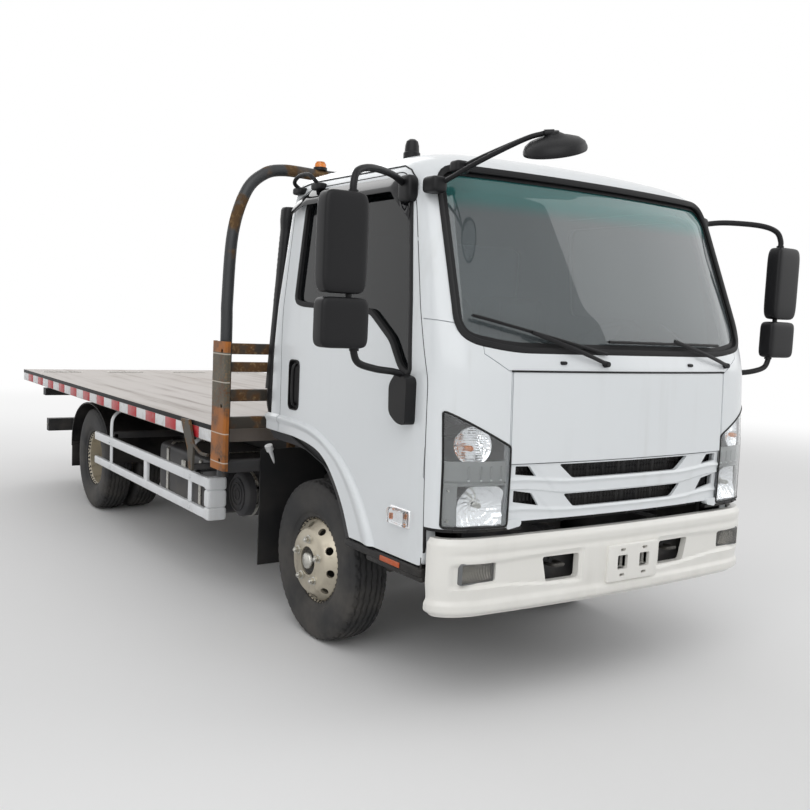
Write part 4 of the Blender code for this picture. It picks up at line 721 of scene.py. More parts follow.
def seam(points, width, depth, axis="y"):
    """A groove cutter along a line in front or side view, as deep as wanted below the skin."""
    line = np.asarray(points, float)
    ahead = np.gradient(line, axis=0)
    ahead /= np.linalg.norm(ahead, axis=1)[:, None]
    across = np.stack([ahead[:, 1], -ahead[:, 0]], -1) * width / 2
    strip = prism(np.vstack([line + across, (line - across)[::-1]]), axis,
                  *((-1.5, -0.6) if axis == "y" else (0.5, 1.2)))
    return carve(strip, [cab_solid(depth, 0.55, 0.5)])


# %% [markdown]
# The shell is the outer form minus the inner form, minus everything that opens in it: windscreen, doors,
# arches, lamps and the front opening. The inner form's faces keep the second slot, so the inside comes
# out in dark trim while the outside stays white. Narrow grooves mark where the fixed panels meet.

# %% The cab's shell
def cab_shell():
    tunnel = soft_box((-0.31, -0.80, 0.3), (0.31, 0.9, CAB_FLOOR), 0.02)
    inner = cab_solid(CAB_WALL, CAB_BOTTOM + 0.03, 0.6, True)
    floor_rise = prism(np.vstack([[arch_curve(0.03)[0][0], 0.3], arch_curve(0.03), [0.9, CAB_FLOOR + 0.03],
                                  [0.9, 0.3]]),
                       "x", -2, 2)
    hump = soft_box((-0.34, -0.83, 0.3), (0.34, 0.9, CAB_FLOOR + 0.03), 0.02)
    inner = carve(inner, [floor_rise, hump])
    cutters = [inner, prism(under_outline(), "x", -2, 2), tunnel,
               prism([(-2, -2), (2, -2), (2, 2), (-2, 2)], "z", 0.2, CAB_BOTTOM),
               prism(SCREEN_OUTLINE, "y", -1.5, -0.70), prism(REAR_PANE, "y", 0.1, 0.7)]
    for side in (-1, 1):
        cutters.append(prism(grown(DOOR_OUTLINE, 0.005), "x", *sorted((side * 0.70, side * 1.2))))
        cutters.append(prism(grown(LAMP_OUTLINE, 0.003) * [side, 1], "y", -1.4, -0.98))
    shell = carve(cab_solid(0, CAB_BOTTOM), cutters)
    wide = LID_HALF + GAP
    opening = prism([(-wide, 0.7), (wide, 0.7), (wide, LID_TOP + GAP), (-wide, LID_TOP + GAP)], "y", -1.4,
                    -1.0)
    opening = carve(opening, [cab_solid(PANEL_WALL + 0.001, 0.52, 0.6)])
    cowl = [(-0.755, 1.49), (-0.755, 1.442), (-0.652, 1.379), (0.652, 1.379), (0.755, 1.442), (0.755, 1.49)]
    vents = prism([(-0.618, 0.75), (0.618, 0.75), (0.618, 1.016), (-0.618, 1.016)], "y", -1.4, -1.075)
    seams = [opening, vents, seam(cowl, 0.004, 0.006)]
    for side in (-1, 1):
        seams.append(seam([(side * 0.92, 1.565), (side * 0.84, 1.552)], 0.004, 0.006))
        seams.append(seam([(side * 0.640, 1.376), (side * 0.640, 1.09)], 0.004, 0.006))
    return carve(shell, seams)


cab_skin = new_piece("cab_skin", cab_shell(), [CAB_WHITE, TRIM_DARK], "cab")
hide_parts("cab_shell")
print("cab skin", len(cab_skin.data.polygons), "faces")


# %% [markdown]
# A door is a slice of the same form, as thick as the real door, with its window cut. Outside it is white
# and inside it is dark trim. One door is made and then mirrored for the other side.

# %% Doors and glass
HANDLE_OUTLINE = rounded([(0.036, 1.106), (0.140, 1.106), (0.140, 1.346), (0.036, 1.346)], 0.034)


def door_leaf():
    slab = carve(cab_solid(0, 0.60),
                 [cab_solid(DOOR_WALL, 0.50, 0.6, True), prism(under_outline(), "x", -2, 2)])
    leaf = carve(slab, [prism(DOOR_OUTLINE, "x", -1.2, -0.60)], "INTERSECT")
    hinge_room = soft_box((-1.0, -1.02, 0.955), (-0.85, -0.983, 1.075), 0.004)
    return carve(leaf, [prism(WINDOW_OUTLINE, "x", -1.2, -0.60),
                        prism(grown(HANDLE_OUTLINE, -0.003), "x", -1.2, -0.60),
                        hinge_room])


def pane(outline, axis, low, high, inset=0.016, wall=0.006):
    """Glass that follows the skin, a little inside it."""
    solid = carve(cab_solid(inset, 1.0, 0.8), [prism(grown(outline, -0.0005), axis, low, high)], "INTERSECT")
    return carve(solid, [cab_solid(inset + wall, 0.9, 0.8)])


new_pair("door_skin", door_leaf(), [CAB_WHITE, TRIM_DARK], "door_{}", "door_panel")
new_pair("door_window", pane(WINDOW_OUTLINE, "x", -1.2, -0.60), DOOR_GLASS, "door_{}", "door_glass")
screen = new_piece("windscreen_pane", pane(SCREEN_OUTLINE, "y", -1.5, -0.70), WINDSCREEN_GLASS, "cab")
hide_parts("windscreen")
rear_pane = new_piece("rear_pane", pane(REAR_PANE, "y", 0.1, 0.7), DOOR_GLASS, "cab")
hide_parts("rear_window")
print("doors and glass done")


# %% [markdown]
# A tyre is one section carried round the axle. The section runs from the inner bead over the sidewall,
# the shoulder and the tread to the other bead. The tread's grooves are a second function of the angle and
# of the place across the tread, taken off the radius, so that they stay even all the way round.

# %% Tyres
TYRE_R = 0.3875
FRONT_TYRE_X, TWIN_MID_X, TWIN_STEP = 0.752, 0.7125, 0.235
FRONT_AXLE, REAR_AXLE = (0.0, TYRE_R), (3.36, TYRE_R)
TYRE_ANGLES, PITCHES = 192, 48


def tyre(x_middle, axle):
    """r(angle, s) = section(s) - groove(angle, s): rows go round the axle, columns across the section."""
    side = smooth_path([(0.060, 0.2065), (0.076, 0.209), (0.081, 0.222), (0.087, 0.232), (0.090, 0.236),
                        (0.097, 0.258), (0.1005, 0.285), (0.102, 0.306), (0.1005, 0.332), (0.096, 0.354),
                        (0.090, 0.3695), (0.083, 0.3785)], 3)
    ribs = sum(0.0011 * np.exp(-((side[:, 1] - at) / width) ** 2)
               for at, width in ((0.250, 0.0022), (0.345, 0.003)))
    side = side + np.stack([ribs, 0 * ribs], -1)
    across = np.linspace(0.079, -0.079, 45)
    crown = np.stack([across, TYRE_R - 0.0085 * (np.abs(across) / 0.083) ** 2.6], -1)
    section = np.vstack([side, crown, (side * [-1, 1])[::-1]])
    angle = np.arange(TYRE_ANGLES)[:, None] * 2 * math.pi / TYRE_ANGLES
    x, r = section[None, :, 0] + 0 * angle, section[None, :, 1] + 0 * angle
    on_tread = (np.abs(x) < 0.0795) * 1.0
    zigzag = 0.0022 * np.sin(angle * PITCHES * 0.75)
    groove = np.zeros_like(x)
    for centre, half in ((0.0, 0.0035), (0.030, 0.0045), (-0.030, 0.0045), (0.057, 0.0035), (-0.057, 0.0035)):
        groove = np.maximum(groove, (np.abs(x - centre - zigzag * np.sign(centre + 0.5)) < half) * 0.009)
    turn = angle * PITCHES / (2 * math.pi) + np.abs(x) * 9
    sipe = (np.abs(turn % 1 - 0.5) < 0.13) * (np.abs(x) > 0.061) * 0.007
    shoulder = (np.abs(turn % 1 - 0.5) < 0.17) * (np.abs(x) >= 0.0795) * (r > 0.352) * 0.0045
    r = r - np.maximum(groove * on_tread, np.maximum(sipe * on_tread, shoulder))
    y, z = axle[0] + r * np.cos(angle), axle[1] + r * np.sin(angle)
    points = np.stack([x_middle + x, y, z], -1)
    return mesh_from(points, grid_quads(TYRE_ANGLES, section.shape[0], True, True)[:, ::-1])


def closed_tyre(x_middle, axle):
    return tidy_mesh(tyre(x_middle, axle), 0.000001)


OUTER_X, INNER_X = TWIN_MID_X + TWIN_STEP / 2, TWIN_MID_X - TWIN_STEP / 2
FRONT_HUB, REAR_HUB = "wheel_front_{}", "wheel_rear_{}"
for place, x_middle, axle, hub in (("front", FRONT_TYRE_X, FRONT_AXLE, FRONT_HUB),
                                   ("rear_outer", OUTER_X, REAR_AXLE, REAR_HUB),
                                   ("rear_inner", INNER_X, REAR_AXLE, REAR_HUB)):
    new_pair(place + "_tyre", closed_tyre(x_middle, axle), TYRE_RUBBER, hub, "tyre_" + place, "left")
print("tyres done")


# %% [markdown]
# A pressed steel wheel is a well with rolled lips and a dished disc. On the front the disc stands proud of
# the lip, and on the rear pair it is turned round, so the outer one is deep. Both are outlines turned
# about the axle. The ten holes are cut through the cone of the disc, square to it.

# %% Rims
RIM_HALF, DISC_R = 0.078, 0.150
HOLE_PITCH, HOLE_R, HOLES, NUTS, NUT_PITCH = 0.1705, 0.0195, 10, 5, 0.104


def well_outline(half=RIM_HALF):
    """The well's outer side from lip to lip, with rolled lips."""
    outer = [(half - 0.004, 0.2235), (half, 0.2225), (half + 0.0015, 0.2190), (half - 0.002, 0.2150)]
    back = [(half - 0.006, 0.2262), (half - 0.0105, 0.2245), (half - 0.0125, 0.2165), (half - 0.016, 0.2040)]
    return outer, back


def rim(x_middle, axle, disc_x, out):
    """Well and disc in one outline; disc_x is the hub face from the middle, and out is +1 if it is proud."""
    lip, back = well_outline()
    inner = 0.1945
    knee = disc_x - out * 0.055
    wall = 0.010
    outside = lip + [(RIM_HALF - 0.010, 0.2065), (RIM_HALF - 0.020, 0.2000), (RIM_HALF - 0.024, inner)]
    front = [(knee + out * 0.004, inner), (knee + out * 0.010, inner - 0.005),
             (disc_x - out * 0.010, DISC_R + 0.008), (disc_x - out * 0.003, DISC_R + 0.002),
             (disc_x, DISC_R - 0.006), (disc_x, 0.080), (disc_x + out * 0.004, 0.074),
             (disc_x + out * 0.004, 0.068)]
    rear = [(disc_x - out * wall, 0.068), (disc_x - out * wall, DISC_R - 0.012),
            (knee - out * 0.012, inner - 0.004), (knee - out * 0.016, inner)]
    behind = [(-RIM_HALF + 0.024, inner), (-RIM_HALF + 0.020, 0.2000), (-RIM_HALF + 0.010, 0.2065)]
    if out < 0:
        front, rear = [(a + out * wall, b) for a, b in front], [(a + out * wall, b) for a, b in rear]
        front, rear = rear[::-1], front[::-1]
    left_lip = [(-a, b) for a, b in lip[::-1]]
    across = [(-a, b) for a, b in back] + [(a, b) for a, b in back[::-1]]
    outline = outside + front + rear + behind + left_lip + across
    body = turned(outline, (x_middle, *axle), 120)
    a = (np.arange(HOLES) + 0.25) * 2 * math.pi / HOLES
    slope = math.atan2(0.055, inner - DISC_R)
    cutters = []
    for angle in a:
        spot = np.array([x_middle + (disc_x + knee) / 2, axle[0] + HOLE_PITCH * math.cos(angle),
                         axle[1] + HOLE_PITCH * math.sin(angle)])
        aim = np.array([math.cos(slope * 0.75), out * math.sin(slope * 0.75) * math.cos(angle),
                        out * math.sin(slope * 0.75) * math.sin(angle)])
        cutters.append(bar(spot - aim * 0.05, spot + aim * 0.05, HOLE_R, 32))
    return carve(body, [joined(cutters)])


def hexagon_nut(x, spot, axle, height=0.020, across=0.0165):
    """A wheel nut with a washer and a domed end, its six sides turned to the axle."""
    y, z = axle[0] + spot[0], axle[1] + spot[1]
    washer = turned([(x, 0), (x, 0.021), (x + 0.003, 0.021), (x + 0.0045, 0.017), (x + 0.0045, 0)], (0, y, z),
                    24)
    nut = sweep(np.stack([np.array([0.003, height * 0.8, height]) + x, [y] * 3, [z] * 3], -1),
                circle(across, 6, 0.3), (0, 0, 1))
    stud = turned([(x + 0.004, 0), (x + 0.004, 0.0095), (x + height + 0.006, 0.0095),
                   (x + height + 0.009, 0.007), (x + height + 0.009, 0)], (0, y, z), 16)
    return [washer, nut, stud]


def nuts(x, axle, count=NUTS, pitch=NUT_PITCH):
    a = np.arange(count) * 2 * math.pi / count + math.pi / 2
    return joined([m for t in a for m in hexagon_nut(x, (pitch * math.cos(t), pitch * math.sin(t)), axle)])


FRONT_HUB_FACE, REAR_HUB_FACE = 0.118, -0.1135
new_pair("front_rim", rim(FRONT_TYRE_X, FRONT_AXLE, FRONT_HUB_FACE, 1), WHEEL_SILVER, FRONT_HUB,
         "rim_front", "left")
twin_rims = joined([rim(OUTER_X, REAR_AXLE, REAR_HUB_FACE + 0.006, -1),
                    rim(INNER_X, REAR_AXLE, -REAR_HUB_FACE - 0.006, 1)])
new_pair("rear_rims", twin_rims, WHEEL_SILVER, REAR_HUB, "rims_rear", "left")
hub_x, rear_x = FRONT_TYRE_X + FRONT_HUB_FACE, OUTER_X - 0.1035
new_pair("front_nuts", nuts(hub_x, FRONT_AXLE), ZINC, FRONT_HUB, drawn="left")
new_pair("rear_nuts", nuts(rear_x, REAR_AXLE), ZINC, REAR_HUB, drawn="left")

hub_cup = turned([(hub_x - 0.05, 0), (hub_x - 0.05, 0.066), (hub_x - 0.004, 0.066), (hub_x - 0.002, 0.061),
                  (hub_x - 0.012, 0.052), (hub_x - 0.012, 0)], (0, *FRONT_AXLE))
hub_cap = turned([(hub_x - 0.014, 0), (hub_x - 0.014, 0.040), (hub_x + 0.006, 0.040), (hub_x + 0.012, 0.036),
                  (hub_x + 0.014, 0.026), (hub_x + 0.018, 0.020), (hub_x + 0.019, 0)], (0, *FRONT_AXLE))
new_pair("front_hub_cup", hub_cup, IRON, FRONT_HUB, drawn="left")
new_pair("front_hub_cap", hub_cap, ZINC, FRONT_HUB, drawn="left")
rear_hub = turned([(rear_x - 0.02, 0), (rear_x - 0.02, 0.067), (rear_x + 0.030, 0.064),
                   (rear_x + 0.048, 0.058), (rear_x + 0.050, 0.048), (rear_x + 0.058, 0.046),
                   (rear_x + 0.060, 0)], (0, *REAR_AXLE))
a = np.arange(8) * 2 * math.pi / 8
rear_bolts = [bar((rear_x + 0.045, REAR_AXLE[0] + 0.053 * c, REAR_AXLE[1] + 0.053 * s),
                  (rear_x + 0.058, REAR_AXLE[0] + 0.053 * c, REAR_AXLE[1] + 0.053 * s), 0.006, 6)
              for c, s in zip(np.cos(a), np.sin(a))]
new_pair("rear_hub", joined([rear_hub] + rear_bolts), IRON, REAR_HUB, drawn="left")
print("wheels done")


# %% [markdown]
# The bumper is a thick moulded skin: in plan it bows like the cab's front, then turns back round the corner.
# Its front is a function of the place along it and of the height. A crease runs above the lower lip, the
# lamp corners are drawn in, and two shallow wings narrow towards the middle. Lamps, hook holes and plate
# slots are cut through afterwards, because their edges are sharp.

# %% The bumper
BUMPER_TOP, BUMPER_BOTTOM, BUMPER_DEEP = 0.733, 0.425, 0.030
CREASE_Z, LIP_Z = 0.497, 0.472


def smooth_step(value, low, high):
    """0 below low, 1 above high, and 3t^2 - 2t^3 between."""
    t = np.clip((value - low) / (high - low), 0, 1)
    return t * t * (3 - 2 * t)


def bumper_plan(count=120):
    """Half plan from the middle to the end: a bow, a corner of a quarter ellipse, a short flank."""
    x = np.linspace(0, 0.700, count // 2)
    bow = np.stack([x, -1.178 + 0.026 * (x / 0.7) ** 2], -1)
    t = np.linspace(0, math.pi / 2, count // 3)[1:]
    corner = np.stack([0.700 + 0.230 * np.sin(t), -1.152 + 0.118 * (1 - np.cos(t))], -1)
    flank = np.stack([np.full(8, 0.930), np.linspace(corner[-1, 1], -1.022, 9)[1:]], -1)
    half = np.vstack([bow, corner, flank])
    return np.vstack([(half * [-1, 1])[:0:-1], half])


def bumper_front(depth=0.0):
    """Rows of height by columns along the plan; each point is moved back along the plan's normal."""
    plan = bumper_plan()
    ahead = np.gradient(plan, axis=0)
    ahead /= np.linalg.norm(ahead, axis=1)[:, None]
    normal = np.stack([ahead[:, 1], -ahead[:, 0]], -1)
    z = np.concatenate([np.linspace(BUMPER_BOTTOM, LIP_Z, 8), np.linspace(LIP_Z, CREASE_Z, 9)[1:],
                        np.linspace(CREASE_Z, BUMPER_TOP, 36)[1:]])[:, None]
    x = np.abs(plan[:, 0])[None, :]
    tuck = (0.030 * (1 - smooth_step(z, BUMPER_BOTTOM, 0.455)) ** 1.5
            + 0.014 * smooth_step(z, BUMPER_TOP - 0.030, BUMPER_TOP) ** 2)
    lip = 0.010 * (smooth_step(z, LIP_Z, CREASE_Z) - smooth_step(z, CREASE_Z, 0.56) * 0.55)
    top_edge = 0.640 - 0.020 * smooth_step(x, 0.2, 0.9)
    low_edge = 0.512 + 0.026 * smooth_step(x, 0.25, 0.70)
    wing = (smooth_step(z, low_edge, low_edge + 0.012) * (1 - smooth_step(z, top_edge, top_edge + 0.022))
            * smooth_step(x, 0.225, 0.235) * (1 - smooth_step(x, 0.855, 0.885)))
    dish = 0.012 * wing
    hollow = 0.006 * np.exp(-((z - 0.672) / 0.012) ** 2)
    back = depth + tuck + lip + dish + hollow * (1 - smooth_step(x, 0.80, 0.92))
    points = np.empty((z.shape[0], plan.shape[0], 3))
    points[..., 0] = plan[None, :, 0] - normal[None, :, 0] * back
    points[..., 1] = plan[None, :, 1] - normal[None, :, 1] * back
    points[..., 2] = z
    return points


def bumper():
    """The front and, a wall behind it, a plainer back, joined round all four edges."""
    outer, inner = bumper_front(), bumper_front(BUMPER_DEEP)
    rows, cols = outer.shape[:2]
    count = rows * cols
    quads = np.vstack([grid_quads(rows, cols), grid_quads(rows, cols)[:, ::-1] + count])
    index = np.arange(count).reshape(rows, cols)
    rim_line = np.concatenate([index[0], index[1:, -1], index[-1, -2::-1], index[-2:0:-1, 0]])
    ahead = np.roll(rim_line, -1)
    edge = np.stack([rim_line, rim_line + count, ahead + count, ahead], -1)
    return tidy_mesh(mesh_from(np.stack([outer, inner]), np.vstack([quads, edge])), 0.000001)


def bumper_y(x):
    """Where the bumper's front lies at x."""
    plan = bumper_plan()
    return float(np.interp(abs(x), plan[plan[:, 0] >= 0][:, 0], plan[plan[:, 0] >= 0][:, 1]))


FOG = rounded([(0.672, 0.560), (0.672, 0.636), (0.838, 0.640), (0.838, 0.560)], 0.014)
HOOK_HOLE = rounded([(0.245, 0.530), (0.245, 0.634), (0.442, 0.634), (0.418, 0.530)], 0.014)
cuts = []
for side in (-1, 1):
    cuts += [prism(FOG * [side, 1], "y", -1.4, -0.9), prism(HOOK_HOLE * [side, 1], "y", -1.4, -0.9)]
PLATE_HOLES = [(-0.012, 0.628), (0.122, 0.628), (-0.012, 0.520), (0.122, 0.520)]
cuts += [soft_box((x - 0.016, -1.4, z - 0.007), (x + 0.016, -1.0, z + 0.007), 0.004) for x, z in PLATE_HOLES]
cuts += [soft_box((x - 0.030, -1.4, 0.545), (x + 0.030, -1.0, 0.605), 0.006) for x in (-0.012, 0.122)]
bumper_skin = new_piece("bumper_skin", carve(bumper(), [joined(cuts)]), BUMPER_CREAM, "chassis")
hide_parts("front_bumper")

plate_front = bumper_y(0.05)
holder = carve(soft_box((-0.095, plate_front - 0.010, 0.492), (0.205, plate_front + 0.020, 0.652), 0.006),
               [joined([soft_box((x - 0.030, -1.4, 0.545), (x + 0.030, -1.0, 0.605), 0.006)
                        for x in (-0.012, 0.122)]
                       + [soft_box((x - 0.015, -1.4, z - 0.006), (x + 0.015, -1.0, z + 0.006), 0.004)
                          for x, z in PLATE_HOLES])])
new_piece("plate_holder", holder, BUMPER_CREAM, "chassis")
new_piece("bumper_beam", soft_box((-0.78, -1.085, 0.47), (0.78, -1.045, 0.715), 0.015), FRAME_BLACK,
          "chassis")


def fog_lamp():
    """A housing, a reflector that is one cylinder-curved trough with upright flutes, and a smoked glass."""
    y = bumper_y(0.755) + 0.012
    body = soft_box((0.674, y + 0.004, 0.556), (0.838, y + 0.055, 0.643), 0.008)
    pocket = soft_box((0.682, y - 0.02, 0.564), (0.831, y + 0.040, 0.636), 0.006)

    def trough(x, z):
        return y + 0.034 - 0.022 * ((z - 0.600) / 0.036) ** 2 + 0.0012 * np.sin(x * 2 * math.pi / 0.012)

    reflector = relief((0.683, 0.830), (0.565, 0.635), (62, 20), trough, lambda x, z: y + 0.042 + 0 * x)
    glass = soft_box((0.680, y + 0.004, 0.562), (0.833, y + 0.009, 0.638), 0.002)
    return carve(body, [pocket]), reflector, glass


def spun(profile, axis, centre, steps=40):
    """An outline of (along, radius) turned about an axis through a centre."""
    mesh = turned(profile, (0, 0, 0), steps)
    order = {"x": Matrix.Identity(4), "y": Matrix.Rotation(math.pi / 2, 4, "Z"),
             "z": Matrix.Rotation(-math.pi / 2, 4, "Y")}
    mesh.transform(Matrix.Translation(centre) @ order[axis])
    return mesh


hook_y = bumper_y(0.34) + 0.035
hook = tube([(-0.37, hook_y + 0.10, 0.585), (-0.37, hook_y, 0.590), (-0.345, hook_y - 0.012, 0.592),
             (-0.318, hook_y, 0.590), (-0.318, hook_y + 0.10, 0.585)], 0.008, (0, 0, 1))
new_piece("tow_hook", joined([hook, mirrored(hook)]), IRON, "chassis")
print("bumper done")


# %% [markdown]
# Grille, lamp reflectors and the mesh behind the grille are all reliefs: a flat grid of x and z whose depth
# is a formula. Two such sheets, a front and a back, are joined round their edge into a solid. A bent sheet
# such as a rain visor is made the same way, but its second sheet lies a wall's thickness along the normals.

# %% Reliefs and shells
def closed_pair(outer, inner):
    """Two grids of equal size joined round their four edges."""
    rows, cols = outer.shape[:2]
    count = rows * cols
    index = np.arange(count).reshape(rows, cols)
    edge = np.concatenate([index[0], index[1:, -1], index[-1, -2::-1], index[-2:0:-1, 0]])
    ahead = np.roll(edge, -1)
    quads = np.vstack([grid_quads(rows, cols), grid_quads(rows, cols)[:, ::-1] + count,
                       np.stack([edge, edge + count, ahead + count, ahead], -1)])
    return tidy_mesh(mesh_from(np.stack([outer, inner]), quads), 0.000001)


def relief(x_span, z_span, shape, front, back):
    """Grid over x and z; front and back give y there."""
    x, z = np.meshgrid(np.linspace(*x_span, shape[0]), np.linspace(*z_span, shape[1]))
    return closed_pair(np.stack([x, front(x, z), z], -1), np.stack([x, back(x, z), z], -1))


def shell(points, wall):
    """A bent sheet with a wall: its second side lies along the grid's normals."""
    rows, cols = points.shape[:2]
    along, across = np.gradient(points, axis=0), np.gradient(points, axis=1)
    normal = np.cross(along, across)
    normal /= np.maximum(np.linalg.norm(normal, axis=2), 1e-9)[..., None]
    return closed_pair(points, points + normal * wall)


def hump(value, centre, half):
    """A bell: one at the centre, nearly nothing beyond two halves."""
    return np.exp(-((value - centre) / half) ** 2)


# %% [markdown]
# The grille is two swept bars with openings between them. Its surface follows the cab's front. Each bar has
# a rounded ridge under its opening and slopes back to a crease. The openings are cut afterwards, so that
# their edges stay crisp, and black ribbed mesh lies five centimetres behind them.

# %% Grille and lid
def bar_line(x, middle, end):
    """Height of a line that is level in the middle and rises to the sides."""
    return middle + (end - middle) * smooth_step(np.abs(x), 0.30, 0.60)


def grille_front(x, z):
    ridges = (hump(z, bar_line(x, 0.940, 0.955), 0.0075) + hump(z, bar_line(x, 0.823, 0.838), 0.0075)
              + 0.5 * hump(z, bar_line(x, 1.018, 1.018), 0.005))
    upper = smooth_step(z, bar_line(x, 0.892, 0.917) - 0.0015, bar_line(x, 0.892, 0.917) + 0.0015)
    slope = np.clip((z - bar_line(x, 0.892, 0.917)) / 0.05, 0, 1) * upper
    lower = np.clip((z - 0.785) / 0.045, 0, 1) * (1 - upper)
    diagonal = np.abs(x) - np.where(z > bar_line(x, 0.892, 0.917), 0.452 + (z - 0.949) * 1.05,
                                    0.430 + (z - 0.831) * 1.05)
    crease = 0.003 * smooth_step(diagonal, -0.003, 0.003) * smooth_step(np.abs(x), 0.40, 0.42)
    return front_y(x, z) + 0.005 - 0.007 * ridges + 0.004 * (slope + lower) - 0.004 * upper + crease


GRILLE_HOLES = [
    rounded([(-0.392, 1.010), (-0.316, 0.950), (0.316, 0.950), (0.392, 1.010)], 0.016),
    rounded([(-0.357, 0.887), (-0.300, 0.832), (0.300, 0.832), (0.357, 0.887)], 0.016)]
for side in (-1, 1):
    GRILLE_HOLES.append(rounded([(side * 0.604, 1.009), (side * 0.537, 1.007), (side * 0.500, 0.965),
                                 (side * 0.604, 0.975)], 0.004))
    GRILLE_HOLES.append(rounded([(side * 0.604, 0.912), (side * 0.515, 0.898), (side * 0.477, 0.846),
                                 (side * 0.604, 0.866)], 0.004))
GRILLE_HALF = 0.630
grille_sheet = relief((-GRILLE_HALF, GRILLE_HALF), (GRILLE_BOTTOM, 1.0155), (134, 64), grille_front,
                      lambda x, z: front_y(x, z) + 0.022)
grille_skin = new_piece("grille_skin",
                        carve(grille_sheet, [joined([prism(h, "y", -1.4, -0.95) for h in GRILLE_HOLES])]),
                        CAB_WHITE, "cab", 40)
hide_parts("grille")


def mesh_depth(x, z):
    """Black mesh: fine upright bars, broad posts at intervals, and two cross bars."""
    upright = 0.004 * (np.sin(x * 2 * math.pi / 0.018) > 0.1)
    post = 0.006 * (np.abs((np.abs(x) + 0.03) % 0.092 - 0.046) < 0.007)
    cross = 0.005 * (hump(z, 0.982, 0.004) + hump(z, 0.860, 0.004))
    return front_y(x, z) + 0.052 - np.maximum(np.maximum(upright, post), cross)


grille_back = relief((-0.612, 0.612), (0.795, 1.014), (273, 28), mesh_depth,
                     lambda x, z: front_y(x, z) + 0.060)
new_piece("grille_mesh", grille_back, BLACK_PLASTIC, "cab", 30)

lid_outline = rounded([(-LID_HALF, 1.0195), (LID_HALF, 1.0195), (LID_HALF, LID_TOP), (-LID_HALF, LID_TOP)],
                      0.006)
lid = carve(cab_solid(0, 0.9), [prism(lid_outline, "y", -1.4, -1.0)], "INTERSECT")
lid_skin = new_piece("lid_skin", carve(lid, [cab_solid(0.020, 0.85, 0.6)]), CAB_WHITE, "front_lid")
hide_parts("service_lid")


def on_skin(outline, axis, lift=0.0, count=None):
    """An outline in front view (axis y) or side view (axis x, right side) laid on the cab's skin."""
    p = np.asarray(outline, float)
    if count:
        p = resampled(p, count)
    if axis == "y":
        return np.stack([p[:, 0], front_y(p[:, 0], p[:, 1]) - lift, p[:, 1]], -1)
    return np.stack([-side_x(p[:, 0], p[:, 1]) - lift, p[:, 0], p[:, 1]], -1)


def resampled(p, count, closed=True):
    """Points at even steps along an outline."""
    line = np.vstack([p, p[:1]]) if closed else p
    run = np.concatenate([[0], np.cumsum(np.linalg.norm(np.diff(line, axis=0), axis=1))])
    at = np.linspace(0, run[-1], count, endpoint=not closed)
    return np.stack([np.interp(at, run, line[:, k]) for k in range(line.shape[1])], -1)


def lip_profile(half, height, count=10):
    """A flat oval: half wide to the sides, height high."""
    a = np.arange(count) * 2 * math.pi / count
    return np.stack([half * np.sign(np.cos(a)) * np.abs(np.cos(a)) ** 0.6, height * np.sin(a)], -1)


lid_seal_path = np.stack([np.linspace(-0.640, 0.640, 60),
                          front_y(np.linspace(-0.64, 0.64, 60), 1.379) - 0.001,
                          np.full(60, 1.3785)], -1)
new_piece("lid_seal", sweep(lid_seal_path, lip_profile(0.004, 0.004), (0, -1, 0)), SEAL_RUBBER, "cab")

gap_back = relief((-0.62, 0.62), (0.752, 0.802), (80, 8),
                  lambda x, z: front_y(x, 0.79) + 0.100 - 0.012 * hump(np.abs(x) % 0.21, 0.1, 0.012),
                  lambda x, z: front_y(x, 0.79) + 0.118)
new_piece("valance_back", gap_back, BLACK_PLASTIC, "cab")
strut = bar((-0.50, front_y(-0.50, 0.79) + 0.088, 0.766), (-0.42, front_y(-0.42, 0.79) + 0.060, 0.796), 0.006)
new_piece("lid_prop", strut, IRON, "cab")
print("grille and lid done")


# %% [markdown]
# A headlamp is a hollow in the corner, with everything inside it behind one clear cover. From top to
# bottom: a round ribbed dish with the orange bulb of the indicator, a grey band with four notches, and the
# main reflector, which is a bowl broken into facets that throw the light in different directions.

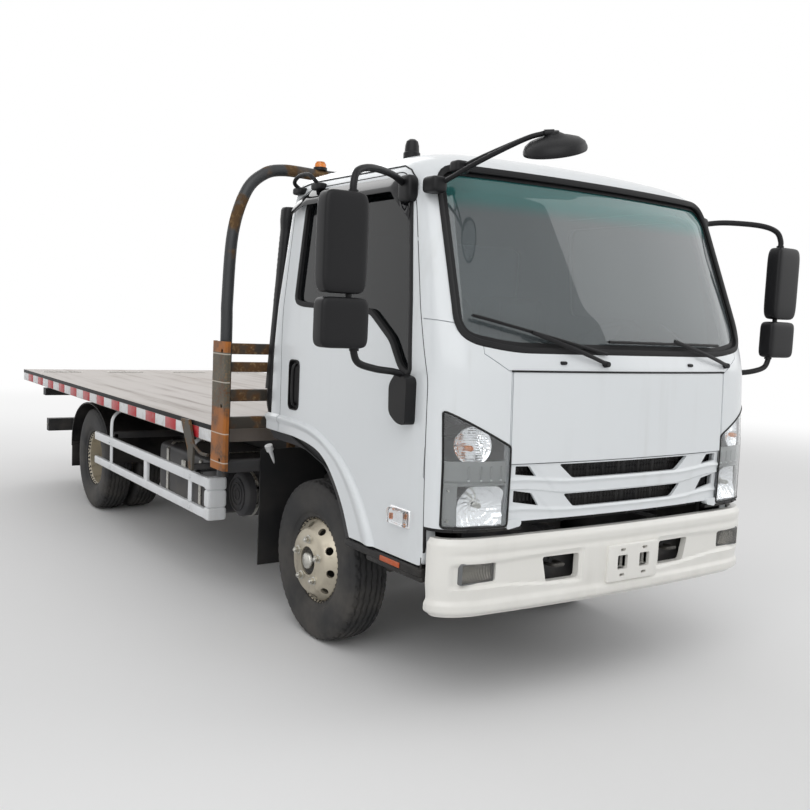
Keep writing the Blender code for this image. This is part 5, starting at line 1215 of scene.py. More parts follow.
# %% Headlamps
def lamp_parts():
    """All parts of the left lamp: plate, dish, band, bowl, bulbs, cover and rubber edge."""
    cover = carve(cab_solid(0.0005, 0.65), [prism(grown(LAMP_OUTLINE, -0.0015), "y", -1.3, -0.98)],
                  "INTERSECT")
    cover = carve(cover, [cab_solid(0.0035, 0.6)])
    edge_path = on_skin(LAMP_OUTLINE, "y", 0.0005, 160)
    edge = sweep(edge_path, lip_profile(0.0045, 0.0025), (0, -1, 0), True)

    def plate(x, z):
        return front_y(x, z) + 0.022

    def upper_front(x, z):
        away = np.hypot(x - 0.783, z - 1.090)
        return plate(x, z) - 0.004 * hump(away, 0.0775, 0.0030)

    upper = relief((0.640, 0.893), (1.022, 1.222), (92, 74), upper_front, lambda x, z: plate(x, z) + 0.045)
    upper = carve(upper, [prism(grown(LAMP_OUTLINE, -0.0095), "y", -1.4, -0.9)], "INTERSECT")
    frame_plate = carve(upper, [prism(circle(0.0735, 64) + [0.783, 1.090], "y", -1.4, -0.9)])
    r, a = np.linspace(0.0735, 0.0, 36)[:, None], np.linspace(0, 2 * math.pi, 72, endpoint=False)[None, :]
    x, z = 0.783 + r * np.cos(a), 1.090 + r * np.sin(a)
    depth = 0.030 * (1 - (r / 0.0735) ** 2) + 0.0022 * np.sin((z - 1.09) * 2 * math.pi / 0.0095) * (r < 0.070)
    dish = shell(np.stack([x, plate(x, z) + depth, z], -1)[:, np.r_[0:72, 0]], 0.003)

    def band_front(x, z):
        notches = sum(hump(x, at, 0.0035) for at in (0.668, 0.712, 0.756, 0.806))
        return (plate(x, z) - 0.009 + 0.006 * notches * (z > 0.962) * (z < 1.012)
                + 0.007 * hump(z, 0.947, 0.004))

    band = relief((0.646, 0.888), (0.936, 1.030), (100, 38), band_front, lambda x, z: plate(x, z) + 0.02)
    jewels = joined([soft_box((at - 0.0045, float(front_y(at, 0.955)) + 0.008, 0.9545),
                              (at + 0.0045, float(front_y(at, 0.955)) + 0.016, 0.9605), 0.002)
                     for at in (0.668, 0.712, 0.756, 0.806)])

    def bowl_front(x, z):
        u, v = (x - 0.752) / 0.088, (z - 0.855) / 0.078
        away = np.clip(np.hypot(u, v), 0, 1.35)
        turn = np.arctan2(v, u)
        bowl = 0.036 * (1 - np.minimum(away, 1.2) ** 2 / 1.44)
        facet = 0.0045 * np.abs(((turn * 2.6 + away * 1.7) % 1) - 0.5)
        step = 0.006 * np.floor(away * 3.2) / 3.2
        return plate(x, z) - 0.004 + bowl - facet - step

    bowl = relief((0.655, 0.845), (0.780, 0.934), (84, 68), bowl_front, lambda x, z: plate(x, z) + 0.05)
    corner_cut = rounded([(0.655, 0.780), (0.655, 0.915), (0.680, 0.934), (0.800, 0.934), (0.835, 0.880),
                          (0.845, 0.780)], 0.01)
    bowl = carve(bowl, [prism(corner_cut, "y", -1.4, -0.9)], "INTERSECT")
    side_plate = relief((0.842, 0.890), (0.780, 0.934), (20, 30), lambda x, z: plate(x, z) - 0.004,
                        lambda x, z: plate(x, z) + 0.02)
    screws = joined([spun([(-0.004, 0), (-0.004, 0.005), (0.004, 0.006), (0.004, 0)], "y",
                          (0.872, float(front_y(0.872, z)) + 0.016, z), 12) for z in (0.800, 0.918)])
    y = float(front_y(0.783, 1.09))
    bulb = spun([(y + 0.012, 0), (y + 0.014, 0.007), (y + 0.020, 0.011), (y + 0.034, 0.0115),
                 (y + 0.050, 0.009), (y + 0.050, 0)], "y", (0.798, 0, 1.080), 24)
    y = float(front_y(0.752, 0.86))
    main_bulb = spun([(y + 0.016, 0), (y + 0.018, 0.008), (y + 0.024, 0.011), (y + 0.050, 0.011),
                      (y + 0.050, 0)], "y",
                     (0.752, 0, 0.858), 24)
    return [("lamp_plate", joined([frame_plate, band, side_plate]), LAMP_GREY, "black_plastic"),
            ("lamp_dish", dish, LAMP_SILVER, "chrome"), ("lamp_bowl", bowl, LAMP_SILVER, "chrome"),
            ("lamp_jewels", jewels, TAPE_WHITE, "chrome"), ("lamp_screws", screws, ZINC, "chrome"),
            ("lamp_bulb", bulb, AMBER_LENS, "amber_lens"), ("lamp_main_bulb", main_bulb, ZINC, "chrome"),
            ("lamp_cover", cover, LAMP_LENS, "lamp_glass"), ("lamp_edge", edge, SEAL_RUBBER, "black_plastic")]


LAMP_GREY = grained("lamp_grey", (0.30, 0.31, 0.305), 0.25, 900.0, 0.03, 0.0)
LAMP_SILVER = bright_metal("lamp_silver", (0.88, 0.88, 0.89), 0.10, 40.0)
lamp_pieces = lamp_parts()
for part_name, mesh, finish, slot in lamp_pieces:
    new_pair(part_name, mesh, finish, "cab", "headlamp" if part_name == "lamp_cover" else "", "left",
             30)
print("lamps done", len(lamp_pieces))


def lower_strip():
    """The black strip below a lamp, with its bolt heads."""
    slab = carve(cab_solid(0.004, 0.60), [cab_solid(0.030, 0.55, 0.6)])
    window = prism([(0.560, 0.757), (0.945, 0.757), (0.945, 0.768), (0.560, 0.768)], "y", -1.4, -0.985)
    strip = carve(slab, [window], "INTERSECT")
    heads = [spun([(-0.003, 0), (-0.003, 0.0035), (0.003, 0.0045), (0.003, 0)], "y",
                  (x, float(front_y(x, 0.7625)) + 0.003, 0.7625), 10) for x in (0.64, 0.72, 0.80, 0.855)]
    return joined([strip] + heads)


new_pair("lamp_strip", lower_strip(), BLACK_PLASTIC, "cab", drawn="left")
panel_feet = []
for s in (-1, 1):
    foot_skin = carve(cab_solid(0.0, 0.60), [cab_solid(0.03, 0.55, 0.6)])
    window = rounded([(s * 0.5665, 0.772), (s * 0.633, 0.760), (s * 0.633, 0.80), (s * 0.5665, 0.80)], 0.012)
    panel_feet.append(carve(foot_skin, [prism(window, "y", -1.4, -0.985)], "INTERSECT"))
new_piece("panel_foot", joined(panel_feet), CAB_WHITE, "cab")


# %% [markdown]
# Rubber seals frame the glass. A seal is a flat oval carried round the window's outline, which is first laid
# on the skin. The doors get the same kind of seal round their edge, set a little deep, and it is this dark
# line that makes a door read as a door.

# %% Seals, wipers and washers
screen_seal = sweep(on_skin(grown(SCREEN_OUTLINE, 0.004), "y", 0.0, 240), lip_profile(0.0135, 0.0045),
                    (0, -1, 0), True)
new_piece("screen_seal", screen_seal, SEAL_RUBBER, "cab")
window_seal = sweep(on_skin(grown(WINDOW_OUTLINE, 0.004), "x", 0.0, 220), lip_profile(0.0125, 0.0045),
                    (-1, 0, 0), True)
door_line = resampled(DOOR_OUTLINE, 320)
door_line = door_line[door_line[:, 1] > 0.66]
start = int(np.argmax(np.linalg.norm(np.diff(door_line, axis=0), axis=1))) + 1
door_line = np.roll(door_line, -start, axis=0)
arch_limit = np.interp(door_line[:, 0], [-0.56, -0.50, 0.0, 0.3], [0.0, 0.8, 1.0, 1.0])
above_arch = door_line[arch_limit < door_line[:, 1]]
gap_seal = sweep(on_skin(grown(above_arch, 0.0025), "x", -0.007), lip_profile(0.0045, 0.0065), (-1, 0, 0))


def reveal(outline, axis, low, high):
    """A black band that lines an opening from the skin to behind its glass."""
    ring = carve(cab_solid(0.0012, 0.9, 0.8), [prism(grown(outline, 0.003), axis, low, high)], "INTERSECT")
    ring = carve(ring, [prism(grown(outline, -0.006), axis, low - 0.2, high + 0.2),
                        cab_solid(0.030, 0.8, 0.8)])
    border = carve(cab_solid(0.0125, 0.9, 0.8), [prism(grown(outline, 0.001), axis, low, high)], "INTERSECT")
    cuts = [prism(grown(outline, -0.026), axis, low - 0.2, high + 0.2), cab_solid(0.0152, 0.8, 0.8)]
    return joined([ring, carve(border, cuts)])


new_piece("screen_reveal", reveal(SCREEN_OUTLINE, "y", -1.5, -0.70), SEAL_RUBBER, "cab")
new_pair("window_reveal", reveal(WINDOW_OUTLINE, "x", -1.2, -0.60), SEAL_RUBBER, "door_{}")
for side, seal, gap in on_both(window_seal, gap_seal):
    new_piece("window_seal_" + side, seal, SEAL_RUBBER, "door_" + side)
    new_piece("door_gap_seal_" + side, gap, SEAL_RUBBER, "cab")


def wiper(pivot, knee, blade_from, blade_to):
    """A wiper: boss and cap on its pivot, a flat arm, and a blade with a rubber lip on the glass."""
    def lay(p, lift):
        return np.array([p[0], float(front_y(p[0], p[1])) - lift, p[1]])
    boss = spun([(-0.020, 0), (-0.020, 0.011), (0.006, 0.015), (0.010, 0.015), (0.010, 0)], "y",
                tuple(lay(pivot, 0.004)), 24)
    arm_points = np.array([lay(pivot, 0.018),
                           lay([pivot[0] * 0.75 + knee[0] * 0.25, pivot[1] * 0.75 + knee[1] * 0.25], 0.028),
                           lay([(pivot[0] + knee[0]) / 2, (pivot[1] + knee[1]) / 2], 0.030),
                           lay(knee, 0.022)])
    arm = sweep(smooth_path(arm_points, 6), lip_profile(0.0085, 0.004), (0, -1, 0))
    t = np.linspace(0, 1, 24)[:, None]
    line = np.asarray(blade_from)[None] * (1 - t) + np.asarray(blade_to)[None] * t
    along = np.stack([line[:, 0], front_y(line[:, 0], line[:, 1]) - 0.0145, line[:, 1]], -1)
    spine = sweep(along, lip_profile(0.0065, 0.0045), (0, -1, 0))
    rubber = sweep(along + [0, 0.008, 0], lip_profile(0.0022, 0.0055), (0, -1, 0))
    return [boss, arm, spine, rubber]


wipers = wiper((-0.168, 1.411), (-0.54, 1.530), (-0.16, 1.452), (-0.79, 1.585))
wipers += wiper((0.650, 1.410), (0.265, 1.515), (-0.139, 1.502), (0.600, 1.500))
for x, z in ((-0.388, 1.413), (0.376, 1.410)):
    y = float(front_y(x, z))
    wipers += [soft_box((x - 0.016, y - 0.010, z - 0.007), (x + 0.016, y + 0.010, z + 0.007), 0.006)]
new_piece("wipers", joined(wipers), BLACK_PLASTIC, "cab")
print("seals and wipers done")


SMOKED = clear_glass("smoked_lens", (0.42, 0.41, 0.38), 0.9)[0]
for side, housing, reflector, glass in on_both(*fog_lamp(), drawn="left"):
    fog = new_piece("fog_housing_" + side, housing, GREY_BEZEL, "chassis")
    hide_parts("fog_lamp_" + side)
    new_piece("fog_reflector_" + side, reflector, LAMP_SILVER, "chassis")
    new_piece("fog_glass_" + side, glass, SMOKED, "chassis")


# %% [markdown]
# The wheel arch has a raised white lip that starts on the door and ends on the cab's rear corner, so it is
# made in two parts: one swings with the door and one stays. It is a bent sheet between two measured lines,
# steps up from the skin and slopes towards its edge. A black liner closes the gap to the chassis.

# %% Wheel arch lips and liners
FLARE_TOP = np.array([(0.352, 1.068), (0.234, 1.069), (-0.031, 1.061), (-0.213, 1.021), (-0.404, 0.928),
                      (-0.539, 0.809), (-0.625, 0.687), (-0.665, 0.612)])
FLARE_EDGE = np.array([(0.352, 0.990), (0.229, 0.988), (0.059, 0.984), (-0.111, 0.964), (-0.22, 0.926),
                       (-0.311, 0.854), (-0.402, 0.741), (-0.470, 0.612)])


def flare(y_low, y_high):
    """The lip between two places along the truck, on the right side."""
    top, edge = smooth_path(FLARE_TOP, 12), smooth_path(FLARE_EDGE, 12)
    t = np.linspace(0, 1, 31)[None, :, None]
    across = top[:, None] * (1 - t) + edge[:, None] * t
    keep = (across[:, 0, 0] >= y_low - 0.02) & (across[:, 0, 0] <= y_high + 0.02)
    across = across[keep]
    y, z = np.clip(across[..., 0], y_low, y_high), across[..., 1]
    s = t[..., 0] + 0 * y
    rise = 0.0006 + 0.0190 * smooth_step(s, 0.0, 0.16) - 0.0110 * smooth_step(s, 0.20, 0.55)
    x = -(side_x(y, z) + rise)
    lip = np.stack([x[:, -1] + 0.030, y[:, -1], z[:, -1] + 0.004], -1)
    under = np.stack([x[:, -1] + 0.004, y[:, -1], z[:, -1] - 0.004], -1)
    sheet = np.concatenate([np.stack([x, y, z], -1), under[:, None], lip[:, None]], 1)
    return shell(sheet, 0.003)


def liner():
    """The black inner arch: a band 40 mm wide below the lip, then the roof of the wheel house."""
    edge = smooth_path(np.vstack([FLARE_EDGE, [(-0.478, 0.575)]]), 10)
    edge = edge[edge[:, 0] <= 0.352]
    shrink = np.array([0.10, 0.60])
    inner = shrink + (edge - shrink) * 0.87
    lines = ((-0.922, edge), (-0.918, (edge + inner) / 2), (-0.912, inner), (-0.904, inner + [0, 0.006]),
             (-0.60, inner + [0, 0.010]))
    rows = [np.column_stack([np.full(len(edge), x), line]) for x, line in lines]
    return shell(np.stack(rows, 1), 0.004)


new_pair("door_arch_lip", flare(-0.70, 0.2185), CAB_WHITE, "door_{}")
new_pair("cab_arch_lip", flare(0.2260, 0.352), CAB_WHITE, "cab")
new_pair("arch_liner", liner(), TRIM_DARK, "cab")


# %% [markdown]
# Door trim: a smoked rain visor over the window, the pull handle in its pocket, a clear side lamp with an
# orange bulb, and the black cap that holds the mirror's lower arm.

# %% Door trim
def visor():
    """A sheet that hangs from the door's top edge and stands out from the glass by a quarter circle."""
    y = np.concatenate([np.linspace(-0.752, -0.68, 10), np.linspace(-0.66, 0.215, 50)])
    top = np.interp(y, [-0.752, -0.700, -0.640, 0.10, 0.215], [1.985, 2.075, 2.133, 2.138, 2.100])
    drop = np.interp(y, [-0.752, -0.68, 0.215], [0.035, 0.062, 0.070])
    t = np.linspace(0, 1, 9)[None, :]
    z = top[:, None] - drop[:, None] * t
    out = 0.004 + 0.030 * np.sin(t * math.pi / 2) * smooth_step(y, -0.752, -0.70)[:, None]
    x = -(side_x(y[:, None] + 0 * z, z) + out)
    return shell(np.stack([x, y[:, None] + 0 * z, z], -1), 0.003)


def handle_parts():
    """A pocket with a rounded rim, and the grip that spans it."""
    x = -float(side_x(np.array(0.09), np.array(1.22)))
    plate = prism(HANDLE_OUTLINE, "x", x - 0.004, x + 0.020)
    pocket = prism(grown(HANDLE_OUTLINE, -0.006), "x", x - 0.02, x + 0.014)
    plate = carve(plate, [pocket])
    grip = tube([(x + 0.006, 0.086, 1.128), (x - 0.007, 0.086, 1.150), (x - 0.009, 0.088, 1.225),
                 (x - 0.007, 0.086, 1.302), (x + 0.006, 0.086, 1.325)], 0.0085, (0, 1, 0))
    key = spun([(-0.004, 0), (-0.004, 0.009), (0.008, 0.009), (0.008, 0)], "x", (x + 0.006, 0.108, 1.135), 20)
    return joined([plate, grip, key])


def side_lamp_parts():
    """Base, clear cover with a rounded front, and the orange bulb inside."""
    x = -float(side_x(np.array(-0.84), np.array(0.776)))
    base = soft_box((x - 0.007, -0.912, 0.738), (x + 0.004, -0.772, 0.814), 0.006)
    bulb = bar((x - 0.013, -0.805, 0.764), (x - 0.013, -0.805, 0.786), 0.008)
    cover = soft_box((x - 0.030, -0.906, 0.744), (x - 0.004, -0.778, 0.808), 0.012)
    return base, bulb, cover


def bracket_cap():
    """The lower mirror bracket: a wedge with a rounded foot and a lid line."""
    low = side_x(np.array(-0.85), np.array(1.25))
    outline = rounded([(-0.915, 1.335), (-0.915, 1.150), (-0.855, 1.155), (-0.800, 1.190), (-0.795, 1.302),
                       (-0.840, 1.350)], 0.024)
    block = prism(outline, "x", -float(low) - 0.050, -float(low) + 0.03)
    return carve(block, [cab_solid(0.001, 0.60, 0.7)])


VISOR_SMOKE = clear_glass("visor_smoke", (0.012, 0.012, 0.014), 0.30, roughness=0.08, specular=0.3)[0]
side_base, side_bulb, side_cover = side_lamp_parts()
trim = [("rain_visor", visor(), VISOR_SMOKE, "black_plastic"),
        ("door_handle", handle_parts(), BLACK_PLASTIC, "black_plastic"),
        ("side_lamp_base", side_base, LAMP_SILVER, "chrome"),
        ("side_lamp_bulb", side_bulb, AMBER_LENS, "amber_lens"),
        ("side_lamp_cover", side_cover, LAMP_LENS, "lamp_glass"),
        ("mirror_bracket", bracket_cap(), BLACK_PLASTIC, "black_plastic")]
for name, mesh, finish, slot in trim:
    new_pair(name, mesh, finish, "door_{}")
print("door trim done")


# %% [markdown]
# A mirror housing is a box with softly domed faces: a superellipse in each direction, drawn from the same
# two angles as a sphere. Its back is hollowed for the glass. Two bent tubes carry it from the door.

# %% Mirrors
def pillow(low, high, power=0.35, steps=(48, 28)):
    """Superellipsoid: each coordinate is the sine or cosine of an angle raised to a small power."""
    low, high = np.asarray(low, float), np.asarray(high, float)
    a = np.linspace(-math.pi, math.pi, steps[0], endpoint=False)[None, :]
    b = np.linspace(-math.pi / 2, math.pi / 2, steps[1])[:, None]

    def bent(value):
        return np.sign(value) * np.abs(value) ** power
    points = np.stack([bent(np.cos(b)) * bent(np.cos(a)), bent(np.cos(b)) * bent(np.sin(a)),
                       bent(np.sin(b)) + 0 * a], -1)
    return capped((low + high) / 2 + points * (high - low) / 2, 0.0002)


def mirror_head(low, high):
    """Housing with a recessed back, and the glass that sits in it."""
    housing = pillow(low, high, 0.28)
    back = high[1]
    pocket = soft_box((low[0] + 0.010, back - 0.012, low[2] + 0.010),
                      (high[0] - 0.010, back + 0.05, high[2] - 0.010), 0.016)
    glass = soft_box((low[0] + 0.012, back - 0.016, low[2] + 0.012),
                     (high[0] - 0.012, back - 0.009, high[2] - 0.012), 0.003)
    return carve(housing, [pocket]), glass


big, big_glass = mirror_head((-1.398, -0.985, 1.640), (-1.215, -0.905, 2.002))
small, small_glass = mirror_head((-1.398, -0.985, 1.445), (-1.200, -0.905, 1.628))
top_arm = tube([(-1.268, -0.945, 1.985), (-1.268, -0.945, 2.035), (-1.243, -0.930, 2.082),
                (-1.16, -0.890, 2.106), (-1.02, -0.800, 2.112), (-0.93, -0.742, 2.100),
                (-0.885, -0.715, 2.085)], 0.0135, (0, 1, 0.2), 16)
low_arm = tube([(-1.240, -0.945, 1.455), (-1.240, -0.945, 1.430), (-1.215, -0.940, 1.392),
                (-1.13, -0.925, 1.370), (-1.02, -0.885, 1.357), (-0.965, -0.862, 1.340),
                (-0.955, -0.858, 1.300)], 0.0135, (0, 1, 0.2), 16)
link = bar((-1.272, -0.945, 1.60), (-1.272, -0.945, 1.67), 0.012)
foot = pillow((-0.918, -0.780, 2.020), (-0.862, -0.695, 2.128), 0.5)
collars = [spun([(-0.012, 0), (-0.012, 0.018), (0.012, 0.018), (0.012, 0)], "z", at, 20)
           for at in ((-1.268, -0.945, 1.998), (-1.240, -0.945, 1.448))]
mirror = joined([big, small, top_arm, low_arm, link, foot] + collars)
glasses = joined([big_glass, small_glass])
for side, form, glass in on_both(mirror, glasses):
    piece = new_piece("mirror_heads_" + side, form, BLACK_PLASTIC, "door_" + side)
    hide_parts("door_mirror_" + side)
    new_piece("mirror_glass_" + side, glass, MIRROR_GLASS, "door_" + side)

head_x, head_y, head_z = -0.64, -1.288, 2.184
dome = [(0.0, 0.0), (0.002, 0.026), (0.010, 0.040), (0.016, 0.061), (0.026, 0.091), (0.040, 0.109),
        (0.056, 0.116), (0.064, 0.117), (0.070, 0.115), (0.068, 0.109), (0.060, 0.106), (0.058, 0.0)]
bowl = spun([(head_z + 0.068 - a, r) for a, r in dome], "z", (head_x, head_y, 0), 64)
stem = spun([(head_z + 0.040, 0), (head_z + 0.040, 0.026), (head_z + 0.060, 0.024), (head_z + 0.074, 0.018),
             (head_z + 0.077, 0.0)], "z", (head_x, head_y, 0), 32)
knee = (-0.67, -1.268, 2.249)
struts = [tube([(-0.842, -0.870, 2.080), (-0.785, -1.03, 2.155), (-0.710, -1.20, 2.228), knee], 0.0095,
               (0, 0, 1), 12),
          tube([(-0.765, -0.905, 2.155), (-0.735, -1.05, 2.196), (-0.695, -1.21, 2.238), knee], 0.0085,
               (0, 0, 1), 12),
          bar(knee, (head_x, head_y, 2.252), 0.013),
          bar((-0.775, -1.060, 2.166), (-0.733, -1.058, 2.196), 0.007)]
feet = [pillow((-0.885, -0.905, 2.050), (-0.815, -0.815, 2.115), 0.45),
        pillow((-0.800, -0.935, 2.130), (-0.735, -0.875, 2.180), 0.45)]
front_glass = spun([(head_z + 0.0085, 0), (head_z + 0.0085, 0.105), (head_z + 0.003, 0.105),
                    (head_z + 0.000, 0.06), (head_z - 0.001, 0)], "z", (head_x, head_y, 0), 64)
lean = Matrix.Translation((head_x, head_y, 2.252)) @ Matrix.Rotation(math.radians(22), 4, (0.49, -0.87, 0.0))
for part in (bowl, stem, front_glass):
    part.transform(lean @ Matrix.Translation((-head_x, -head_y, -2.252)))
piece = new_piece("down_mirror", joined([bowl, stem] + struts + feet), BLACK_PLASTIC, "cab")
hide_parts("front_mirror")
new_piece("down_mirror_glass", front_glass, MIRROR_GLASS, "cab")
print("mirrors done")


# %% [markdown]
# On the roof sit a small dark dome and, over each door, a gutter line. Behind the cab's right corner stands
# the engine's air intake, a flat black duct that leans with the cab and is ribbed at its mouth.

# %% Roof, grab loops and air intake
dome_z = 2.292
roof_dome = spun([(dome_z - 0.02, 0), (dome_z - 0.02, 0.038), (dome_z + 0.006, 0.038),
                  (dome_z + 0.012, 0.033), (dome_z + 0.040, 0.031), (dome_z + 0.058, 0.026),
                  (dome_z + 0.067, 0.014), (dome_z + 0.069, 0)], "z",
                 (-0.60, -0.33, 0), 32)
new_piece("roof_lamp", roof_dome, BLACK_PLASTIC, "cab")
gutter_y = np.concatenate([np.linspace(-0.765, -0.66, 14), np.linspace(-0.64, 0.25, 40)])
gutter_z = np.interp(gutter_y, [-0.765, -0.74, -0.70, -0.64, 0.12, 0.25],
                     [2.085, 2.125, 2.158, 2.180, 2.186, 2.165])
gutter = np.stack([-side_x(gutter_y, gutter_z) - 0.0015, gutter_y, gutter_z], -1)
new_pair("roof_gutter", sweep(gutter, lip_profile(0.0028, 0.0035), (-1, 0, 0)), SEAL_RUBBER, "cab")
loop = [tube([(-0.868, 0.02, 2.155), (-0.905, 0.015, 2.185), (-0.912, 0.06, 2.208), (-0.912, 0.15, 2.206),
              (-0.905, 0.20, 2.180), (-0.862, 0.205, 2.150)], 0.0095, (1, 0, 0), 14),
        pillow((-0.90, -0.02, 2.135), (-0.845, 0.06, 2.170), 0.5),
        pillow((-0.895, 0.17, 2.130), (-0.84, 0.25, 2.165), 0.5)]
new_pair("grab_loop", joined(loop), BLACK_PLASTIC, "cab")


def intake():
    """A duct whose section is a superellipse; its centre leans inwards as it rises."""
    z = np.concatenate([np.linspace(1.18, 1.98, 60), np.linspace(1.985, 2.09, 12)])
    a = np.linspace(0, 2 * math.pi, 40, endpoint=False)[None, :]
    lean = np.interp(z, [1.18, 2.09], [-0.865, -0.800])[:, None]
    rib = 1 + 0.02 * (np.sin(z * 2 * math.pi / 0.028) > 0.3)[:, None] * ((z > 1.62) & (z < 1.95))[:, None]
    mouth = np.interp(z, [1.98, 2.03, 2.08, 2.09], [1.0, 1.12, 1.12, 1.0])[:, None]
    x = lean + 0.048 * rib * mouth * np.sign(np.cos(a)) * np.abs(np.cos(a)) ** 0.55
    y = 0.415 + 0.036 * rib * mouth * np.sign(np.sin(a)) * np.abs(np.sin(a)) ** 0.55
    return capped(np.stack([x, y, z[:, None] + 0 * a], -1))


intake_elbow = tube([(-0.865, 0.415, 1.20), (-0.865, 0.415, 1.10), (-0.83, 0.415, 1.02), (-0.74, 0.40, 0.985),
                     (-0.60, 0.38, 0.98)],
                    0.040, (0, 1, 0), 24)
clips = [soft_box((-0.83, 0.35, z), (-0.77, 0.40, z + 0.03), 0.006) for z in (1.35, 1.85)]
new_piece("air_intake", joined([intake(), intake_elbow] + clips), BLACK_PLASTIC, "cab")
print("roof and intake done")


# %% [markdown]
# The headboard is a bent round tube with four slats welded across it. On each post a folded guard plate
# turns a car's rope away from the corner. It is a sheet whose rows tilt in and out by a few millimetres, with
# its two edges turned in, and its paint differs from fold to fold.

# %% Headboard
POST_X, POST_Y, ARCH_TOP = 1.085, 0.54, 2.29
arch_side = [(POST_X, POST_Y, 0.72), (POST_X, POST_Y, 1.45), (POST_X, POST_Y, 1.62), (1.065, POST_Y, 1.95),
             (1.0, POST_Y, 2.16), (0.91, POST_Y, 2.255), (0.80, POST_Y, ARCH_TOP), (0.60, POST_Y, ARCH_TOP)]
half_arch = smooth_path(arch_side, 8)
arch = sweep(np.vstack([half_arch, (half_arch * [-1, 1, 1])[::-1]]), circle(0.030, 24), (0, 1, 0))
slats = [soft_box((-1.095, POST_Y - 0.020, low), (1.095, POST_Y + 0.020, high), 0.006)
         for low, high in ((0.965, 1.025), (1.105, 1.165), (1.255, 1.305), (1.345, 1.400))]
studs = [soft_box((x - 0.020, POST_Y - 0.015, 0.76), (x + 0.020, POST_Y + 0.015, 1.39), 0.005)
         for x in (-0.70, -0.33, 0.33, 0.70)]
foot_beam = soft_box((-1.095, POST_Y - 0.035, 0.740), (1.095, POST_Y + 0.035, 0.800), 0.006)
feet = [soft_box((s * 0.315 - 0.030, POST_Y - 0.035, 0.7205), (s * 0.315 + 0.030, POST_Y + 0.035, 0.78),
                 0.004) for s in (-1, 1)]
board = new_piece("headboard_slats", joined(slats + studs), SLAT_RUST, "chassis")
new_piece("headboard_feet", joined(feet + [foot_beam]), FRAME_BLACK, "chassis")
new_piece("headboard_arch", arch, TUBE_STEEL, "chassis")
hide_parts("headboard")


FOLDS = (0.800, 0.947, 1.206, 1.347)


def guard_finish():
    """Worn paint in bands of height: orange above and below, grey-brown between, all with rust.
    A painted highlight runs along each fold.
    """
    mat, tree, shader, where = finish_base("guard_bands", (0.4, 0.18, 0.04), 0.55, 0.1)
    z = height_of(tree, where)["Z"]
    big, fine = noise(tree, where, 10, 8), noise(tree, where, 80, 6)
    orange = mix_colour(tree, ramp(tree, big, 0.40, 0.62), (0.36, 0.115, 0.012), (0.22, 0.080, 0.018))
    grey = mix_colour(tree, ramp(tree, fine, 0.45, 0.70), (0.085, 0.075, 0.054), (0.16, 0.105, 0.055))
    upper = ramp(tree, z, 1.352, 1.358, 0.0, 1.0)
    lower = ramp(tree, z, 1.07, 1.085, 1.0, 0.0)
    share = tree.nodes.new("ShaderNodeMath")
    tree.links.new(upper, share.inputs[0])
    tree.links.new(lower, share.inputs[1])
    banded = mix_colour(tree, share.outputs[0], grey, orange)
    rust = multiply(tree, ramp(tree, big, 0.54, 0.66), ramp(tree, fine, 0.38, 0.60))
    worn = mix_colour(tree, rust, banded, (0.10, 0.045, 0.018))
    # Painted highlight: a pale line along each fold stands in for the light that the fold catches.
    for at in FOLDS:
        crease = multiply(tree, ramp(tree, z, at - 0.004, at - 0.001),
                          ramp(tree, z, at + 0.001, at + 0.004, 0.75, 0.0))
        worn = mix_colour(tree, crease, worn, (0.62, 0.58, 0.50))
    tree.links.new(worn, shader.inputs["Base Color"])
    add_bump(tree, shader, multiply(tree, rust, fine), 0.5, 0.0012)
    return mat


def guard_plate():
    """Columns go round the post's outside, rows up it; each fold tilts the row of the sheet a little."""
    z = np.sort(np.concatenate([np.linspace(0.76, 1.41, 90), FOLDS]))
    tilt = np.interp(z, (0.76, 0.80, 0.87, 0.947, 1.07, 1.206, 1.27, 1.347, 1.41),
                     [0.0, 0.0035, 0, 0.0035, -0.003, 0.0035, -0.001, 0.0035, 0])
    line = np.array([(-1.098, POST_Y - 0.088), (-1.116, POST_Y - 0.087), (-1.1205, POST_Y - 0.081),
                     (-1.1215, POST_Y - 0.07), (-1.1222, POST_Y - 0.01), (-1.1215, POST_Y + 0.06),
                     (-1.1205, POST_Y + 0.071), (-1.116, POST_Y + 0.077), (-1.098, POST_Y + 0.078)])
    line = resampled(line, 40, False)
    middle = np.clip(1 - np.abs(line[:, 1] - POST_Y + 0.015) / 0.10, 0, 1)
    x = line[None, :, 0] - tilt[:, None] * middle[None, :]
    points = np.stack([x, line[None, :, 1] + 0 * x, z[:, None] + 0 * x], -1)
    plate = shell(points, 0.003)
    holes = [bar((-1.2, POST_Y - 0.045, z), (-1.08, POST_Y - 0.045, z), 0.011, 20)
             for z in (1.362, 1.085, 0.812)]
    return carve(plate, [joined(holes)])


GUARD_BANDS = guard_finish()
new_pair("corner_guard", guard_plate(), GUARD_BANDS, "chassis", "post_guard", sharp=25)
lamp_z = ARCH_TOP + 0.030
lamp_base = spun([(lamp_z - 0.004, 0), (lamp_z - 0.004, 0.036), (lamp_z + 0.010, 0.036),
                  (lamp_z + 0.012, 0.030), (lamp_z + 0.012, 0)], "z", (-0.58, POST_Y, 0), 32)
lamp_glass = spun([(lamp_z + 0.011, 0), (lamp_z + 0.011, 0.031), (lamp_z + 0.028, 0.030),
                   (lamp_z + 0.040, 0.022), (lamp_z + 0.0445, 0.0)], "z", (-0.58, POST_Y, 0), 32)
new_piece("arch_lamp_base", lamp_base, BLACK_PLASTIC, "chassis")
piece = new_piece("arch_lamp", lamp_glass, AMBER_LENS, "chassis")
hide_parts("marker_lamp")
print("headboard done")
